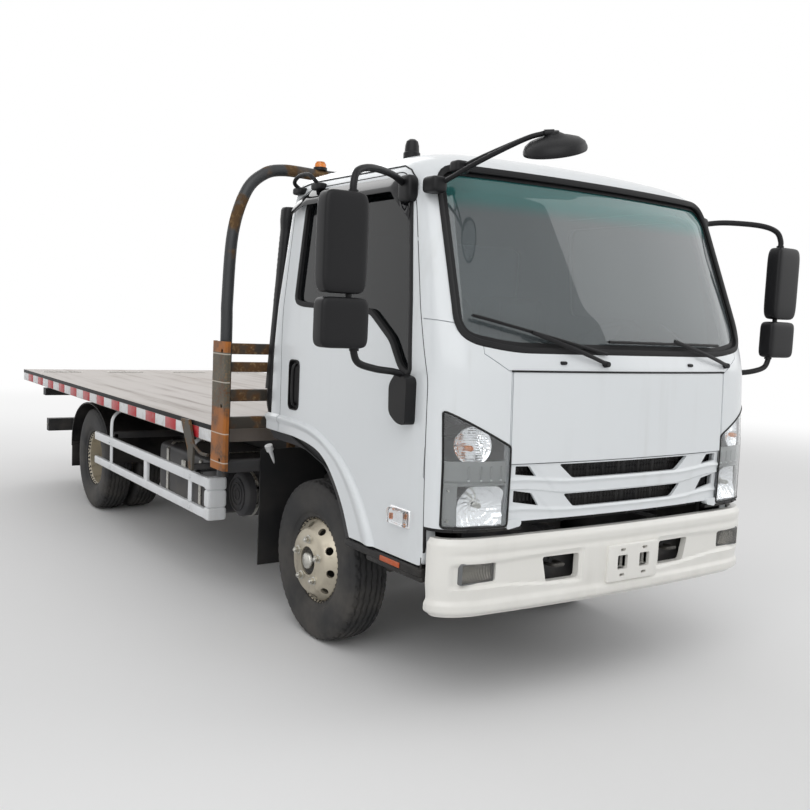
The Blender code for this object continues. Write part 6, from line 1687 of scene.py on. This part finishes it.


# %% [markdown]
# The bed's edge carries a band of red and white reflective tape, cut in blocks and pressed on. Each block
# is a film that stands a millimetre proud, with rounded corners. A black line runs along the rail above it,
# and the deck has slots near its end where a wheel strap is hooked in. The slots aren't cut: a black patch
# in each rim is their painted shade.

# %% Bed tape, rail line and slots
BED_X, BED_FRONT, BED_END = 1.105, 0.64, 4.85
TAPE_LOW, TAPE_HIGH, BLOCKS = 0.882, 0.943, 25


def every_second(cuts, first):
    """Every second stretch between neighbouring cuts, from the first or the second on."""
    return list(zip(cuts[:-1], cuts[1:]))[first::2]


def tape_blocks(first):
    """Every second block on the side, and four on the rear edge; first is 0 for white and 1 for red."""
    ends = np.linspace(BED_END - 0.006, BED_FRONT + 0.01, BLOCKS + 1)
    side = [soft_box((BED_X - 0.0005, low + 0.0015, TAPE_LOW), (BED_X + 0.0012, high - 0.0015, TAPE_HIGH),
                     0.0008, 2)
            for high, low in every_second(ends, first)]
    cuts_x = np.linspace(-1.06, 1.06, 13)
    rear = [soft_box((low + 0.0015, BED_END - 0.0005, TAPE_LOW), (high - 0.0015, BED_END + 0.0012, TAPE_HIGH),
                     0.0008, 2)
            for low, high in every_second(cuts_x, first)]
    one_side = joined(side)
    return joined([one_side, mirrored(one_side)] + rear)


new_piece("tape_white", tape_blocks(0), TAPE_WHITE, "bed_body")
new_piece("tape_red", tape_blocks(1), TAPE_RED, "bed_body")
rail_line = [soft_box((s * BED_X - 0.0015, BED_FRONT + 0.002, 0.9445),
                      (s * BED_X + 0.0015, BED_END + 0.001, 0.9695), 0.001)
             for s in (-1, 1)]
new_piece("rail_line", joined(rail_line), SEAL_RUBBER, "bed_body")
slot_ring = rounded([(-0.16, -0.024), (0.16, -0.024), (0.16, 0.024), (-0.16, 0.024)], 0.022)
SLOT_SPOTS = [(x, 4.50) for x in (-0.86, -0.30, 0.30, 0.86)]
slots = [carve(prism(grown(slot_ring, 0.008) + spot, "z", 0.9695, 0.9725),
               [prism(slot_ring + spot, "z", 0.96, 0.98)])
         for spot in SLOT_SPOTS]
new_piece("slot_rims", joined(slots), ZINC, "bed_body")
# Painted shade: the deck isn't cut, so a flat black patch in each rim stands for the slot's dark inside.
slot_painted_shade = joined([prism(slot_ring + spot, "z", 0.9695, 0.9708) for spot in SLOT_SPOTS])
new_piece("slot_painted_shade", slot_painted_shade, SEAL_RUBBER, "bed_body")
print("bed trim done")


# %% [markdown]
# Low bars along both sides keep cyclists from the rear wheels. They are folded steel with round edges:
# two rails, uprights between them and a front end that wraps inwards in three pieces.

# %% Side guards
def side_guard():
    out, inner = 1.055, 1.025
    parts = [soft_box((inner, 0.80, 0.605), (out, 2.87, 0.662), 0.007),
             soft_box((inner, 0.80, 0.435), (out, 2.87, 0.486), 0.007)]
    strip = lip_profile(0.024, 0.007, 16)
    parts += [sweep(smooth_path([(1.036, y, 0.440), (1.036, y, 0.60), (1.036, y, 0.74), (1.026, y, 0.795),
                                 (0.995, y, 0.832), (0.945, y, 0.846)], 10), strip, (-1, 0, 0))
              for y in (1.095, 2.535)]
    parts.append(soft_box((inner + 0.003, 1.78, 0.48), (out - 0.003, 1.83, 0.61), 0.006))
    parts += [pillow((0.945, 0.790, low), (out + 0.002, 0.852, high), 0.30, (44, 20))
              for low, high in ((0.430, 0.5005), (0.4985, 0.5975), (0.5955, 0.666))]
    parts += [spun([(-0.004, 0), (-0.004, 0.011), (0.004, 0.012), (0.008, 0.008), (0.009, 0)], "x",
                   (out, y, z), 16)
              for y in (1.055, 2.525) for z in (0.46, 0.634)]
    return joined(parts)


def guard_stays():
    """Black arms from the frame to the guard's uprights."""
    return joined([soft_box((0.43, y + 0.01, 0.655), (1.030, y + 0.04, 0.700), 0.005) for y in (1.03, 2.50)]
                  + [soft_box((0.994, y + 0.01, 0.60), (1.026, y + 0.04, 0.69), 0.005) for y in (1.03, 2.50)])


for side, form, stays in on_both(side_guard(), guard_stays(), drawn="left"):
    piece = new_piece("guard_rails_" + side, form, GUARD_WHITE, "chassis")
    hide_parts("side_guard_" + side)
    new_piece("guard_stays_" + side, stays, FRAME_BLACK, "chassis")


# %% [markdown]
# Tanks and boxes hang from the rails in steel straps. The mudguards are rubber-edged sheets: an arc in
# side view with a half-round bead rolled along both rims.

# %% Tank, battery box and mudguards
tank = [pillow((-0.858, 1.152, 0.362), (-0.352, 2.148, 0.698), 0.22, (64, 40))]
straps = [prism(np.array([(-0.863, 0.40), (-0.863, 0.66), (-0.82, 0.703), (-0.40, 0.703), (-0.347, 0.66),
                          (-0.347, 0.40), (-0.40, 0.357), (-0.82, 0.357)]), "y", y, y + 0.035)
          for y in (1.36, 1.90)]
hollow = [prism(np.array([(-0.859, 0.40), (-0.859, 0.66), (-0.818, 0.699), (-0.402, 0.699), (-0.351, 0.66),
                          (-0.351, 0.40), (-0.402, 0.361), (-0.818, 0.361)]), "y", y - 0.01, y + 0.05)
          for y in (1.36, 1.90)]
straps = [carve(a, [b]) for a, b in zip(straps, hollow)]
tank_piece = new_piece("diesel_tank", joined(tank), DARK_STEEL, "chassis")
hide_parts("fuel_tank")
new_piece("tank_straps", joined(straps + [soft_box((-0.872, 1.60, 0.57), (-0.857, 1.66, 0.63), 0.006)]), ZINC,
          "chassis")
box_parts = [soft_box((0.352, 1.202, 0.402), (0.838, 1.948, 0.640), 0.018),
             soft_box((0.350, 1.200, 0.632), (0.840, 1.950, 0.700), 0.022)]
box_parts += [soft_box((0.832, y, 0.60), (0.846, y + 0.05, 0.665), 0.004) for y in (1.35, 1.75)]
box_piece = new_piece("battery_cover", joined(box_parts), TRIM_DARK, "chassis")
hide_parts("battery_box")
MUD_Y, MUD_Z = 3.36, 0.42


def mudguard():
    """An arc of 180 degrees over the twin wheels; its two edges end in a bead."""
    a = np.linspace(0, math.pi, 72)
    arc = np.stack([MUD_Y + 0.497 * np.cos(a), MUD_Z + 0.392 * np.sin(a) ** 0.8], -1)
    x = np.linspace(0.472, 0.948, 8)
    sheet = shell(np.stack(np.broadcast_arrays(x[None], arc[:, :1], arc[:, 1:]), -1), 0.004)
    beads = [sweep(np.column_stack([np.full(72, at), arc]), circle(0.006, 10), (1, 0, 0))
             for at in (0.474, 0.946)]
    flap = soft_box((0.502, MUD_Y + 0.493, 0.25), (0.948, MUD_Y + 0.499, 0.45), 0.003)
    ribs = [soft_box((x_at - 0.006, MUD_Y + 0.4985, 0.27), (x_at + 0.006, MUD_Y + 0.502, 0.44), 0.002)
            for x_at in np.linspace(0.55, 0.90, 6)]
    clamp = soft_box((0.505, MUD_Y + 0.486, 0.432), (0.945, MUD_Y + 0.503, 0.452), 0.004)
    arm = soft_box((0.40, MUD_Y + 0.44, 0.56), (0.52, MUD_Y + 0.482, 0.59), 0.006)
    return joined([sheet] + beads + [flap, clamp, arm] + ribs)


new_pair("mudguard", mudguard(), BLACK_PLASTIC, "chassis", "rear_mudguard", "left")
print("tank, box and mudguards done")


# %% [markdown]
# Under the bed's rear edge the lamp bar holds three lenses each side: red for tail and brake, amber for the
# turn signal and clear for reversing. Each lens is a shallow domed box with fine ribs, set in a black rim.

# %% Tail lamps and rear crossbar
def lens(x_low, x_high, y, z_low, z_high):
    """A domed, ribbed lens on a rear face: its depth is a flattened dome plus a sine across it."""
    def back_of(x, z):
        u, v = (2 * x - x_low - x_high) / (x_high - x_low), (2 * z - z_low - z_high) / (z_high - z_low)
        dome = 0.012 * (1 - u ** 6) ** 0.5 * (1 - v ** 6) ** 0.5
        return y + dome + 0.0006 * np.sin(x * 2 * math.pi / 0.006)
    return relief((x_low, x_high), (z_low, z_high), (64, 16), lambda x, z: y + 0 * x, back_of)


LENS_SPANS = {"red": (0.76, 0.895, TAPE_RED, "guard_orange"),
              "amber": (0.665, 0.755, AMBER_LENS, "amber_lens"),
              "clear": (0.605, 0.660, LAMP_LENS, "lamp_glass")}
for name, (x_low, x_high, finish, slot) in LENS_SPANS.items():
    form = lens(x_low, x_high, 4.801, 0.756, 0.806)
    new_piece("tail_lens_" + name, joined([form, mirrored(form)]), finish, "tilt_body")
rims_form = carve(soft_box((0.598, 4.795, 0.749), (0.902, 4.808, 0.813), 0.006),
                  [soft_box((0.604, 4.790, 0.755), (0.896, 4.820, 0.807), 0.003)])
new_piece("tail_lamp_rims", joined([rims_form, mirrored(rims_form)]), BLACK_PLASTIC, "tilt_body")
plate_lamp = soft_box((-0.05, 4.797, 0.765), (0.05, 4.812, 0.795), 0.006)
new_piece("rear_plate_lamp", plate_lamp, BLACK_PLASTIC, "tilt_body")
cross_cuts = np.linspace(-0.90, 0.90, 11)
for name, first, finish in (("white", 0, TAPE_WHITE), ("red", 1, TAPE_RED)):
    forms = [soft_box((low + 0.002, 4.7895, 0.460), (high - 0.002, 4.7912, 0.510), 0.0008, 2)
             for low, high in every_second(cross_cuts, first)]
    new_piece("crossbar_tape_" + name, joined(forms), finish, "chassis")
bolt = spun([(-0.002, 0), (-0.002, 0.013), (0.008, 0.014), (0.010, 0.010), (0.011, 0)], "x",
            (0.9195, 4.755, 0.485), 6)
new_piece("crossbar_bolts", joined([bolt, mirrored(bolt)]), ZINC, "chassis")
print("rear done")


# %% [markdown]
# Below each door a black sill carries an orange side reflector. Behind the right guard plate stands a pale
# capped pipe. On each side an olive bracket on a black arm guides the bed and holds the load strap's hook.

# %% Sills and small brackets
sill = [soft_box((-0.936, -1.00, 0.566), (-0.880, -0.43, 0.602), 0.010),
        soft_box((-0.930, -1.00, 0.545), (-0.885, -0.60, 0.570), 0.008)]
reflector = soft_box((-0.9405, -0.86, 0.572), (-0.934, -0.72, 0.594), 0.003)
new_pair("sill", joined(sill), BLACK_PLASTIC, "cab")
new_pair("sill_reflector", reflector, ORANGE_REFLECTOR, "cab")
pipe = tube([(-0.815, 0.50, 0.72), (-0.822, 0.498, 0.78), (-0.838, 0.492, 0.83), (-0.856, 0.484, 0.868)],
            0.013, (0, 1, 0), 20)
lock = prism([(1.025, 0.966), (0.905, 0.970), (0.838, 0.845), (0.850, 0.70), (0.895, 0.70), (0.925, 0.815)],
             "x", -1.128, -1.115)
lock_arm = soft_box((-1.120, 0.854, 0.704), (-0.43, 0.890, 0.735), 0.006)
strap_hook = tube([(-1.122, 0.87, 0.850), (-1.124, 0.82, 0.838), (-1.124, 0.75, 0.814), (-1.124, 0.69, 0.812),
                   (-1.124, 0.645, 0.816)],
                  0.009, (1, 0, 0), 14)
for side, guide, arm, hook in on_both(lock, lock_arm, strap_hook):
    new_piece("bed_guide_" + side, guide, BRACKET_OLIVE, "chassis")
    new_piece("bed_guide_arm_" + side, arm, FRAME_BLACK, "chassis")
    new_piece("strap_hook_" + side, hook, SLAT_RUST, "chassis")
cap = tube([(-0.848, 0.487, 0.852), (-0.853, 0.485, 0.862), (-0.860, 0.482, 0.878)], 0.021, (0, 1, 0), 24)
new_piece("capped_pipe", joined([pipe, cap]), TAPE_WHITE, "chassis")
print("small brackets done")


# %% [markdown]
# The seats are padded, so their cloth is simulated: each cushion starts a little too small, is inflated
# by an inner pressure with the cloth solver and stops when the fabric is tight. The result is kept as a
# plain mesh. Channels are sewn in afterwards by pulling points in along a few lines.

# %% Seat padding
def inflated(mesh, voxel=0.008, pressure=4.0, cap=0.022):
    """The mesh remeshed evenly, blown up as cloth, with every point's travel limited to the cap."""
    obj = bpy.data.objects.new("pad", mesh)
    bpy.context.scene.collection.objects.link(obj)
    remesh = obj.modifiers.new("even", "REMESH")
    remesh.mode, remesh.voxel_size = "VOXEL", voxel
    even = bpy.data.meshes.new_from_object(obj.evaluated_get(bpy.context.evaluated_depsgraph_get()))
    obj.modifiers.clear()
    obj.data = even
    start = np.empty(len(even.vertices) * 3)
    even.vertices.foreach_get("co", start)
    cloth = obj.modifiers.new("cloth", "CLOTH")
    cloth.settings.use_pressure = True
    cloth.settings.uniform_pressure_force = pressure
    cloth.settings.effector_weights.gravity = 0
    cloth.settings.quality = 4
    cloth.collision_settings.use_collision = False
    for frame_number in range(1, 21):
        bpy.context.scene.frame_set(frame_number)
    soft = bpy.data.meshes.new_from_object(obj.evaluated_get(bpy.context.evaluated_depsgraph_get()))
    end = np.empty(len(soft.vertices) * 3)
    soft.vertices.foreach_get("co", end)
    move = (end - start).reshape(-1, 3)
    length = np.linalg.norm(move, axis=1)[:, None]
    move *= np.minimum(1, cap / np.maximum(length, 1e-9))
    start = (start.reshape(-1, 3) + move).ravel()
    bpy.context.scene.frame_set(1)
    even.vertices.foreach_set("co", start)
    bpy.data.objects.remove(obj)
    return even


def sewn(mesh, lines, depth=0.011, width=0.009):
    """Points near a line are drawn in along their normals; a line is an axis, its place and its side."""
    count = len(mesh.vertices)
    co, normal = np.empty(count * 3), np.empty(count * 3)
    mesh.vertices.foreach_get("co", co)
    mesh.vertices.foreach_get("normal", normal)
    co, normal = co.reshape(-1, 3), normal.reshape(-1, 3)
    pull = np.zeros(count)
    for axis, place, facing in lines:
        near = np.exp(-((co[:, axis] - place) / width) ** 2)
        face = np.clip(normal @ np.asarray(facing, float), 0, 1) ** 2
        pull = np.maximum(pull, near * face)
    co -= normal * (pull * depth)[:, None]
    mesh.vertices.foreach_set("co", co.ravel())
    return mesh


def leaned(mesh, y_foot, z_foot, lean):
    """A shear that tips a backrest: y grows with height."""
    mesh.transform(Matrix(((1, 0, 0, 0), (0, 1, lean, y_foot - lean * z_foot), (0, 0, 1, 0), (0, 0, 0, 1))))
    return mesh


SEATS = {"driver": ((0.232, 0.728), ()), "bench": ((-0.728, 0.188), (-0.27,))}
for name, ((x_low, x_high), splits) in SEATS.items():
    cushion = inflated(pillow((x_low, -0.405, 1.045), (x_high, 0.052, 1.160), 0.34, (56, 28)))
    up_lines = [(0, x_low + 0.11, (0, 0, 1)), (0, x_high - 0.11, (0, 0, 1)),
                (1, -0.13, (0, 0, 1))] + [(0, s, (0, 0, 1)) for s in splits]
    pad = new_piece("cushion_" + name, sewn(cushion, up_lines), SEAT_CLOTH, "cab", 60)
    back = leaned(pillow((x_low, 0.0, 1.170), (x_high, 0.098, 1.722), 0.34, (56, 28)), 0.062, 1.17, 0.15)
    back = inflated(back, cap=0.018)
    front_lines = [(0, x_low + 0.11, (0, -1, 0)), (0, x_high - 0.11, (0, -1, 0)),
                   (2, 1.40, (0, -1, 0))] + [(0, s, (0, -1, 0)) for s in splits]
    rest = new_piece("backrest_" + name, sewn(back, front_lines), SEAT_CLOTH, "cab", 60)
    if name == "driver":
        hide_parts("seats")
plinths = [soft_box((-0.70, -0.375, 1.0165), (0.18, 0.04, 1.050), 0.010),
           soft_box((0.24, -0.375, 1.0165), (0.70, 0.04, 1.050), 0.010)]
new_piece("seat_plinths", joined(plinths), TRIM_DARK, "cab")
print("seats done")


# %% [markdown]
# The steering wheel is a ring that ripples on its inner side, with three spokes and a padded hub. It is
# drawn flat and then tipped so that its axis lies on the steering column.

# %% Steering wheel and dashboard
def wheel_form():
    """A torus whose radius ripples on its inner side for the fingers, spokes and a domed hub."""
    a = np.linspace(0, 2 * math.pi, 120, endpoint=False)[:, None]
    b = np.linspace(0, 2 * math.pi, 18, endpoint=False)[None, :]
    tube_r = 0.0130 + 0.0009 * np.cos(a * 24) * (np.cos(b) < 0)
    ring = np.stack([(0.205 + tube_r * np.cos(b)) * np.cos(a), (0.205 + tube_r * np.cos(b)) * np.sin(a),
                     tube_r * np.sin(b) + 0 * a], -1)
    parts = [tidy_mesh(mesh_from(ring, grid_quads(120, 18, True, True)))]
    for angle in (math.radians(-90), math.radians(10), math.radians(170)):
        to = np.array([math.cos(angle), math.sin(angle), 0])
        parts.append(tube([to * 0.045 + [0, 0, -0.030], to * 0.11 + [0, 0, -0.022], to * 0.199], 0.0115,
                          (0, 0, 1), 12))
    parts.append(spun([(-0.050, 0), (-0.050, 0.035), (-0.040, 0.062), (-0.012, 0.066), (-0.004, 0.052),
                       (0.0, 0.03), (0.001, 0)], "z",
                      (0, 0, 0), 40))
    return joined(parts)


axis = Vector((0, 0.61566, 0.78801))
tipped = Vector((0, 0, 1)).rotation_difference(axis).to_matrix().to_4x4()
wheel_mesh = wheel_form()
wheel_mesh.transform(Matrix.Translation((0.46, -0.52, 1.46)) @ tipped)
piece = new_piece("helm", wheel_mesh, BLACK_PLASTIC, "steering")
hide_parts("steering_wheel")
dash_parts = [pillow((0.24, -0.86, 1.40), (0.68, -0.68, 1.475), 0.4),
              soft_box((-0.16, -0.675, 1.22), (0.12, -0.655, 1.40), 0.01)]
dash_parts += [soft_box((x - 0.06, -0.672, 1.335), (x + 0.06, -0.655, 1.385), 0.012)
               for x in (-0.70, -0.28, 0.74)]
new_piece("dash_trim", joined(dash_parts), BLACK_PLASTIC, "cab")
print("steering wheel and dashboard done")


# %% [markdown]
# Behind the cab the right side carries the air filter: a round can lying across the frame with a ribbed
# lid, a rubber hose to the engine and two strap clamps. The hose is a pleated tube.

# %% Air filter
can = spun([(-0.90, 0), (-0.90, 0.085), (-0.895, 0.105), (-0.885, 0.118), (-0.875, 0.122), (-0.62, 0.122),
            (-0.60, 0.118), (-0.595, 0.07), (-0.59, 0.0)], "x", (0, 0.76, 0.575), 64)
lid_rings = [spun([(-0.903, r - 0.004), (-0.907, r - 0.002), (-0.907, r + 0.002), (-0.903, r + 0.004),
                   (-0.895, r)], "x",
                  (0, 0.76, 0.575), 64) for r in (0.03, 0.06, 0.09)]
bands = [spun([(x, 0.121), (x, 0.1245), (x + 0.016, 0.1245), (x + 0.016, 0.121)], "x", (0, 0.76, 0.575), 64)
         for x in (-0.84, -0.68)]
new_piece("air_filter", joined([can] + lid_rings), TRIM_DARK, "chassis")
new_piece("air_filter_bands", joined(bands), ZINC, "chassis")
hose_line = smooth_path([(-0.62, 0.76, 0.60), (-0.52, 0.76, 0.64), (-0.44, 0.72, 0.70), (-0.42, 0.66, 0.705)],
                        24)
pleat = 0.036 + 0.004 * np.sin(np.arange(len(hose_line)) * 1.1)
side_v, lift_v = frames_along(hose_line, (0, 1, 0))
ring = circle(1.0, 24)
hose = hose_line[:, None] + pleat[:, None, None] * (ring[None, :, :1] * side_v[:, None]
                                                    + ring[None, :, 1:] * lift_v[:, None])
new_piece("air_hose", capped(hose), SEAL_RUBBER, "chassis")
print("air filter done")


# %% [markdown]
# The frame's other solids already have the right shape, so they keep their meshes and only get a finish.
# A finish goes into the object's material slots; the mesh itself is never touched.

# %% Finishes for the frame's own solids
CAD_FINISH = {
    "frame_rails": FRAME_BLACK, "front_axle": IRON, "rear_axle": IRON, "engine": IRON, "tie_rod": IRON,
    "steering_knuckle_right": IRON, "steering_knuckle_left": IRON, "front_mudflap_right": SEAL_RUBBER,
    "front_mudflap_left": SEAL_RUBBER, "step_right": BLACK_PLASTIC, "step_left": BLACK_PLASTIC,
    "dashboard": TRIM_DARK, "tilt_frame": FRAME_BLACK, "tail_lamp_bar": FRAME_BLACK, "bed": DECK_PLATE,
    "tilt_barrel_right": DARK_STEEL, "tilt_barrel_left": DARK_STEEL, "tilt_rod_right": CHROME,
    "tilt_rod_left": CHROME}
for name, finish in CAD_FINISH.items():
    for slot in NODES[name].material_slots:
        slot.link = "OBJECT"
        slot.material = finish
print("finished solids", len(CAD_FINISH))


# %% [markdown]
# The studio is a pale floor that runs into a white surrounding. Near the truck the floor is an ordinary
# matt surface and keeps the shadow. Far away it turns, for what the camera and the mirrors see, into the
# same white as the world, so that no horizon shows.

# %% Floor and world
def floor_material():
    mat = bpy.data.materials.new("studio_floor")
    mat.use_nodes = True
    tree = mat.node_tree
    tree.nodes.clear()
    coords = tree.nodes.new("ShaderNodeTexCoord")
    length = tree.nodes.new("ShaderNodeVectorMath")
    length.operation = "LENGTH"
    tree.links.new(coords.outputs["Object"], length.inputs[0])
    far = ramp(tree, length.outputs["Value"], FLOOR_FADE[0], FLOOR_FADE[1])
    seen = multiply(tree, far, ray_seen(tree))
    matt = tree.nodes.new("ShaderNodeBsdfDiffuse")
    matt.inputs["Color"].default_value = (0.86, 0.86, 0.86, 1)
    white = tree.nodes.new("ShaderNodeEmission")
    mixer = tree.nodes.new("ShaderNodeMixShader")
    out = tree.nodes.new("ShaderNodeOutputMaterial")
    tree.links.new(seen, mixer.inputs[0])
    tree.links.new(matt.outputs[0], mixer.inputs[1])
    tree.links.new(white.outputs[0], mixer.inputs[2])
    tree.links.new(mixer.outputs[0], out.inputs[0])
    return mat


def ray_seen(tree):
    """One for rays from the camera and for the mirror and glass rays that follow it."""
    path = tree.nodes.new("ShaderNodeLightPath")
    total = path.outputs["Is Camera Ray"]
    for key in ("Is Glossy Ray", "Is Transmission Ray"):
        node = tree.nodes.new("ShaderNodeMath")
        node.operation = "MAXIMUM"
        tree.links.new(total, node.inputs[0])
        tree.links.new(path.outputs[key], node.inputs[1])
        total = node.outputs[0]
    return total


FLOOR_HALF, FLOOR_FADE = 60.0, (5.0, 13.0)
floor_mesh = bpy.data.meshes.new("floor")
corners = [(-FLOOR_HALF, -FLOOR_HALF, 0), (FLOOR_HALF, -FLOOR_HALF, 0), (FLOOR_HALF, FLOOR_HALF, 0),
           (-FLOOR_HALF, FLOOR_HALF, 0)]
floor_mesh.from_pydata(corners, [], [(0, 1, 2, 3)])
floor_mesh.materials.append(floor_material())
floor = bpy.data.objects.new("floor", floor_mesh)
bpy.context.scene.collection.objects.link(floor)

world = bpy.data.worlds.new("studio")
bpy.context.scene.world = world
world.use_nodes = True
tree = world.node_tree
sky = tree.nodes["Background"]
seen = ray_seen(tree)
AMBIENT, SEEN_WHITE = 0.50, 1.0
tree.links.new(ramp(tree, seen, 0.0, 1.0, AMBIENT, SEEN_WHITE), sky.inputs["Strength"])
sky.inputs["Color"].default_value = (1, 1, 1, 1)


# %% [markdown]
# Three large soft lamps light the truck: one high at the front right, where the photograph's brightest
# sky is, a weaker one on the other side, and one from behind, so that the back and the far side aren't
# in the dark. The camera stands at the front right corner, a little above a person's eyes.

# %% Lamps and camera
def soft_lamp(name, place, aim, size, power):
    light = bpy.data.lights.new(name, "AREA")
    light.shape, light.size, light.energy = "SQUARE", size, power
    lamp = bpy.data.objects.new(name, light)
    lamp.location = place
    lamp.rotation_euler = (Vector(aim) - Vector(place)).to_track_quat("-Z", "Y").to_euler()
    bpy.context.scene.collection.objects.link(lamp)


soft_lamp("key", (-5.5, -7.5, 7.5), (0, -1.0, 1.0), 9.5, 445)
soft_lamp("fill", (7.0, -5.0, 5.0), (0, 0, 1.0), 6.0, 135)
soft_lamp("back", (1.0, 8.5, 6.5), (0, 1.0, 1.0), 8.0, 310)

CAMERA_AT = np.array([-3.0247, -5.5785, 1.5596])
YAW, PITCH, ROLL = (math.radians(a) for a in (33.995, -5.391, 2.503))
IMAGE, FOCAL_PX, CENTRE_PX = 810, 936.66, (392.04, 406.96)
look = np.array([math.sin(YAW) * math.cos(PITCH), math.cos(YAW) * math.cos(PITCH), math.sin(PITCH)])
level = np.array([math.cos(YAW), -math.sin(YAW), 0.0])
upright = np.cross(level, look)
right = math.cos(ROLL) * level + math.sin(ROLL) * upright
up = -math.sin(ROLL) * level + math.cos(ROLL) * upright
lens = bpy.data.cameras.new("photo_camera")
lens.sensor_width = 36.0
lens.lens = FOCAL_PX / IMAGE * lens.sensor_width
lens.shift_x = (IMAGE / 2 - CENTRE_PX[0]) / IMAGE
lens.shift_y = (CENTRE_PX[1] - IMAGE / 2) / IMAGE
camera = bpy.data.objects.new("photo_camera", lens)
turned_rows = np.stack([right, up, -look], -1).tolist()
camera.matrix_world = Matrix([(*row, at) for row, at in zip(turned_rows, CAMERA_AT)] + [(0, 0, 0, 1)])
bpy.context.scene.collection.objects.link(camera)
bpy.context.scene.camera = camera
bpy.context.scene.view_settings.view_transform = "Standard"
print("camera", [round(v, 3) for v in CAMERA_AT])
